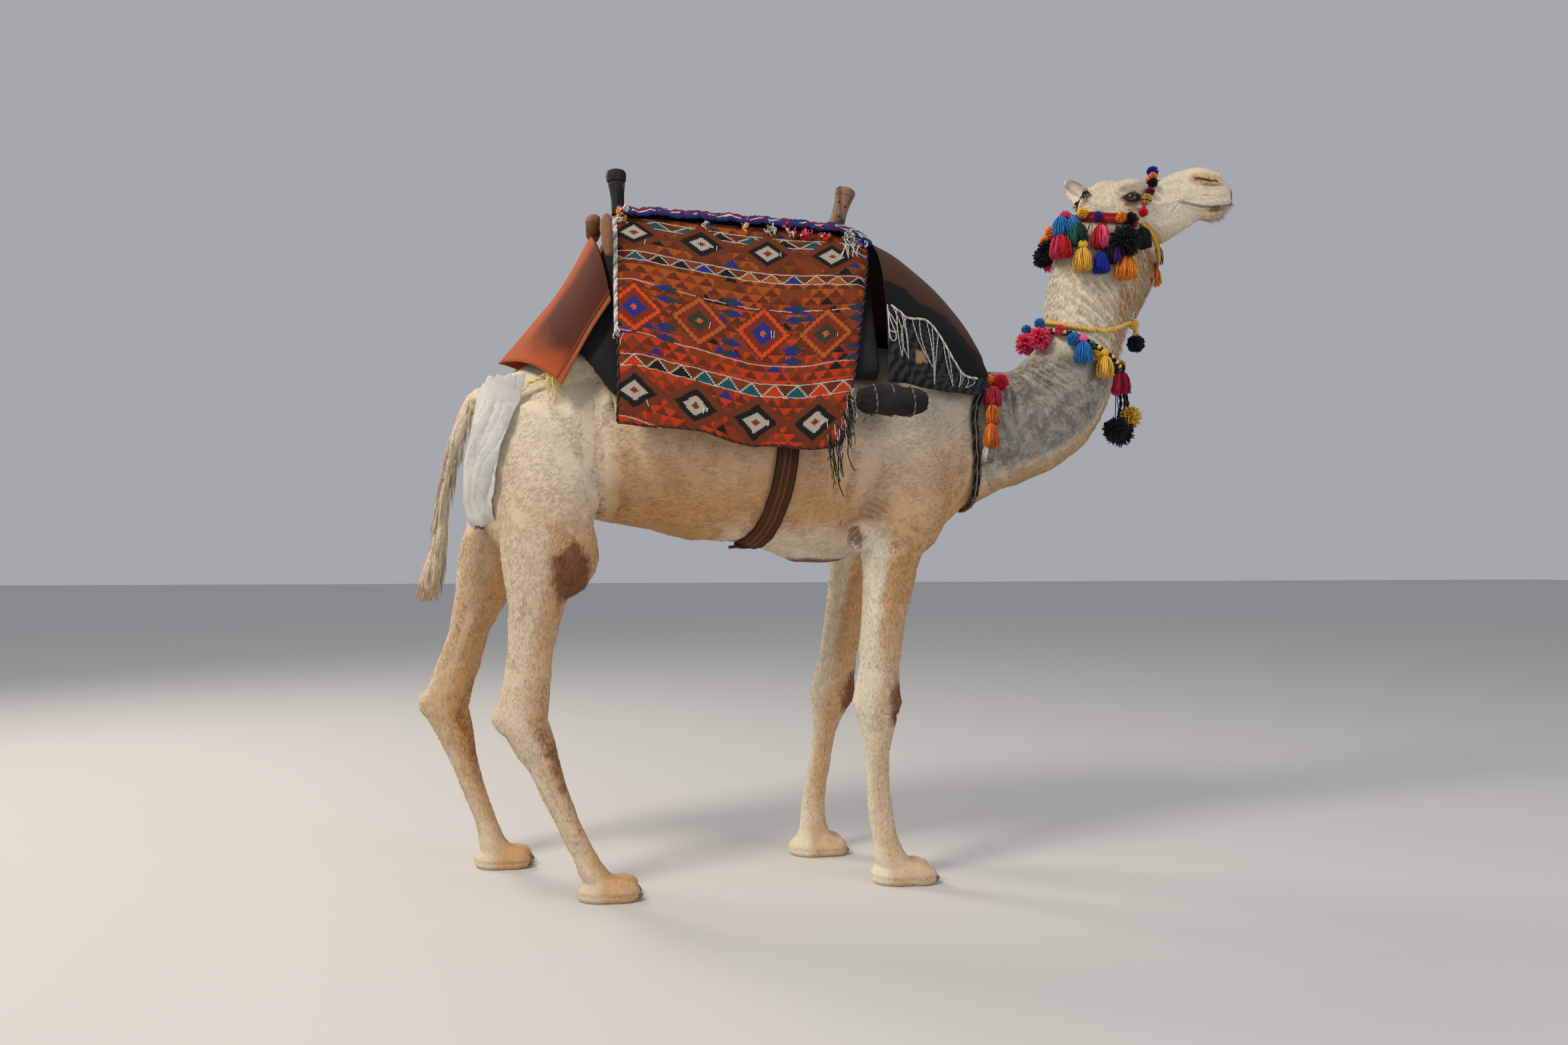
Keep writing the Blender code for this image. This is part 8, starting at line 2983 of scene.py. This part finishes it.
def grow_tail_locks(co, no):
    line = np.array(TAIL_LINE)
    on_tail = co[:, 0] < np.interp(co[:, 2], line[::-1, 1], line[::-1, 0]) + 0.045
    on_tail &= (np.abs(co[:, 1]) < 0.045) & (co[:, 2] > 0.86) & (co[:, 2] < 1.47)
    roots = pick(on_tail, 2050)
    z = co[roots, 2]
    full = np.interp(z, (0.86, 0.95, 1.1, 1.3, 1.47), (0.045, 0.085, 0.13, 0.13, 0.05))
    lengths = np.minimum(RNG.uniform(0.55, 1.1, len(roots)) * full, z - 0.853)
    down = np.stack([np.full(len(roots), -0.13), np.zeros(len(roots)), np.full(len(roots), -1.0)], 1)
    ways = down + no[roots] * 0.10 + RNG.normal(0, 0.05, (len(roots), 3))
    long_hair("tail_locks", co[roots] - no[roots] * 0.002, ways, lengths, 0.05, 0.0011, region=5, clumps=0.55)


def grow_throat_fringe(co, no, local):
    on_neck = (co[:, 0] > 0.7) & (co[:, 2] > 1.66)
    front_at = np.interp(co[:, 2], [1.66, 1.79, 1.88, 1.96, 2.04], [1.12, 1.165, 1.215, 1.245, 1.26])
    throat = on_neck & (no[:, 0] > 0.35) & (np.abs(co[:, 0] - front_at) < 0.05)
    throat &= (co[:, 2] < 2.02) & (local[:, 2] < -0.05)
    roots = pick(throat, 1500)
    ways = no[roots] * 0.75 + np.array((0.05, 0, -1.0)) + RNG.normal(0, 0.16, (len(roots), 3))
    lengths = RNG.uniform(0.018, 0.042, len(roots))
    base = co[roots] - no[roots] * 0.001
    long_hair("throat_fringe", base, ways, lengths, 0.15, 0.0009, region=1, clumps=0.35, steps=5)


def grow_nape_fringe(co, no, local):
    nape = (co[:, 0] > 0.7) & (co[:, 2] > 1.60) & (co[:, 2] < 2.12)
    nape &= (no[:, 0] < -0.45) & (local[:, 0] < -0.03)
    roots = pick(nape, 1300)
    ways = no[roots] * 0.6 + np.array((-0.1, 0, -1.0)) + RNG.normal(0, 0.16, (len(roots), 3))
    lengths = RNG.uniform(0.016, 0.034, len(roots))
    base = co[roots] - no[roots] * 0.001
    long_hair("nape_fringe", base, ways, lengths, 0.10, 0.0009, region=1, clumps=0.35, steps=5)


def grow_chin_hair(co, no, local):
    roots = pick((local[:, 0] > 0.36) & (local[:, 2] < 0.055), 420)
    ahead = np.array(HEAD_MATRIX[:3, :3]) @ np.array((0.35, 0, -0.5))
    ways = no[roots] * 0.8 + ahead + RNG.normal(0, 0.2, (len(roots), 3))
    lengths = RNG.uniform(0.008, 0.020, len(roots))
    long_hair("chin_hair", co[roots] - no[roots] * 0.001, ways, lengths, 0.1, 0.0005, region=0, steps=4)


def grow_ear_fringes(co, no, local):
    """Fine hairs on both rims of each ear, set towards its tip."""
    roots, ways = [], []
    for word, side in SIDES.items():
        root, along, across, _ = (np.array(v) for v in ear_frame(word, side))
        rel = local - root
        t, w = rel @ along / EAR_LENGTH, rel @ across
        rim = (t > 0.15) & (t < 1.05) & (np.abs(w) > 0.010) & (np.linalg.norm(rel, axis=1) < 0.11)
        chosen = pick(rim & (local[:, 1] * side > 0.03), 300)
        to_tip = (np.array(HEAD_MATRIX[:3, :3]) @ along) * 0.9
        roots.append(chosen)
        ways.append(to_tip + no[chosen] * 0.35 + RNG.normal(0, 0.22, (len(chosen), 3)))
    roots, ways = np.concatenate(roots), np.concatenate(ways)
    lengths = RNG.uniform(0.005, 0.012, len(roots))
    long_hair("ear_fringes", co[roots] - no[roots] * 0.001, ways, lengths, 0.08, 0.0003, region=0, steps=4)


def build_long_hair(skin):
    co, no = points_of(skin.data), normals_of(skin.data)
    local = in_head(co)
    grow_tail_locks(co, no)
    grow_throat_fringe(co, no, local)
    grow_nape_fringe(co, no, local)
    grow_chin_hair(co, no, local)
    grow_ear_fringes(co, no, local)


def without_tail(skin):
    """The skin to rest the rump cloth on, which passes behind the tail's root."""
    bare = Rest(skin)
    bm = bmesh.new()
    bm.from_mesh(skin.data)
    middles = [(f, f.calc_center_median()) for f in bm.faces]
    tail = [f for f, middle in middles if middle.x < -0.955 and abs(middle.y) < 0.05]
    bmesh.ops.delete(bm, geom=tail, context="FACES")
    bare.tree = BVHTree.FromBMesh(bm)
    bm.free()
    return bare


FLESH = (
    "head", "neck", "trunk", "tail", "leg_fore_right", "leg_fore_left", "leg_hind_right", "leg_hind_left",
    "ear_right", "ear_left",
)


def main():
    skin = build_skin()
    rest = Rest(skin)
    bare_rest = without_tail(skin)
    grow_coat(skin)
    pad = build_seat(rest)
    build_horns()
    on_flap = build_skirt_and_flap(rest)
    build_rolls()
    build_kilim_trims(kilim_place(rest))
    build_blanket_strings(on_flap)
    build_girth(rest)
    build_breast_strap(rest)
    build_bag(bare_rest)
    build_cruppers(rest)
    build_noseband(rest)
    build_garlands(rest, build_head_straps(rest))
    build_tie_rope(rest)
    braid_line = build_neck_ropes(rest)
    build_rope_tassel()
    build_collar_front(rest, braid_line)
    build_collar_sides(rest, braid_line)
    build_eyes()
    build_nails()
    build_long_hair(skin)
    mark(skin.data, points_of(skin.data), 0.5)
    placed(skin, "coat", *FLESH, material=COAT)


main()
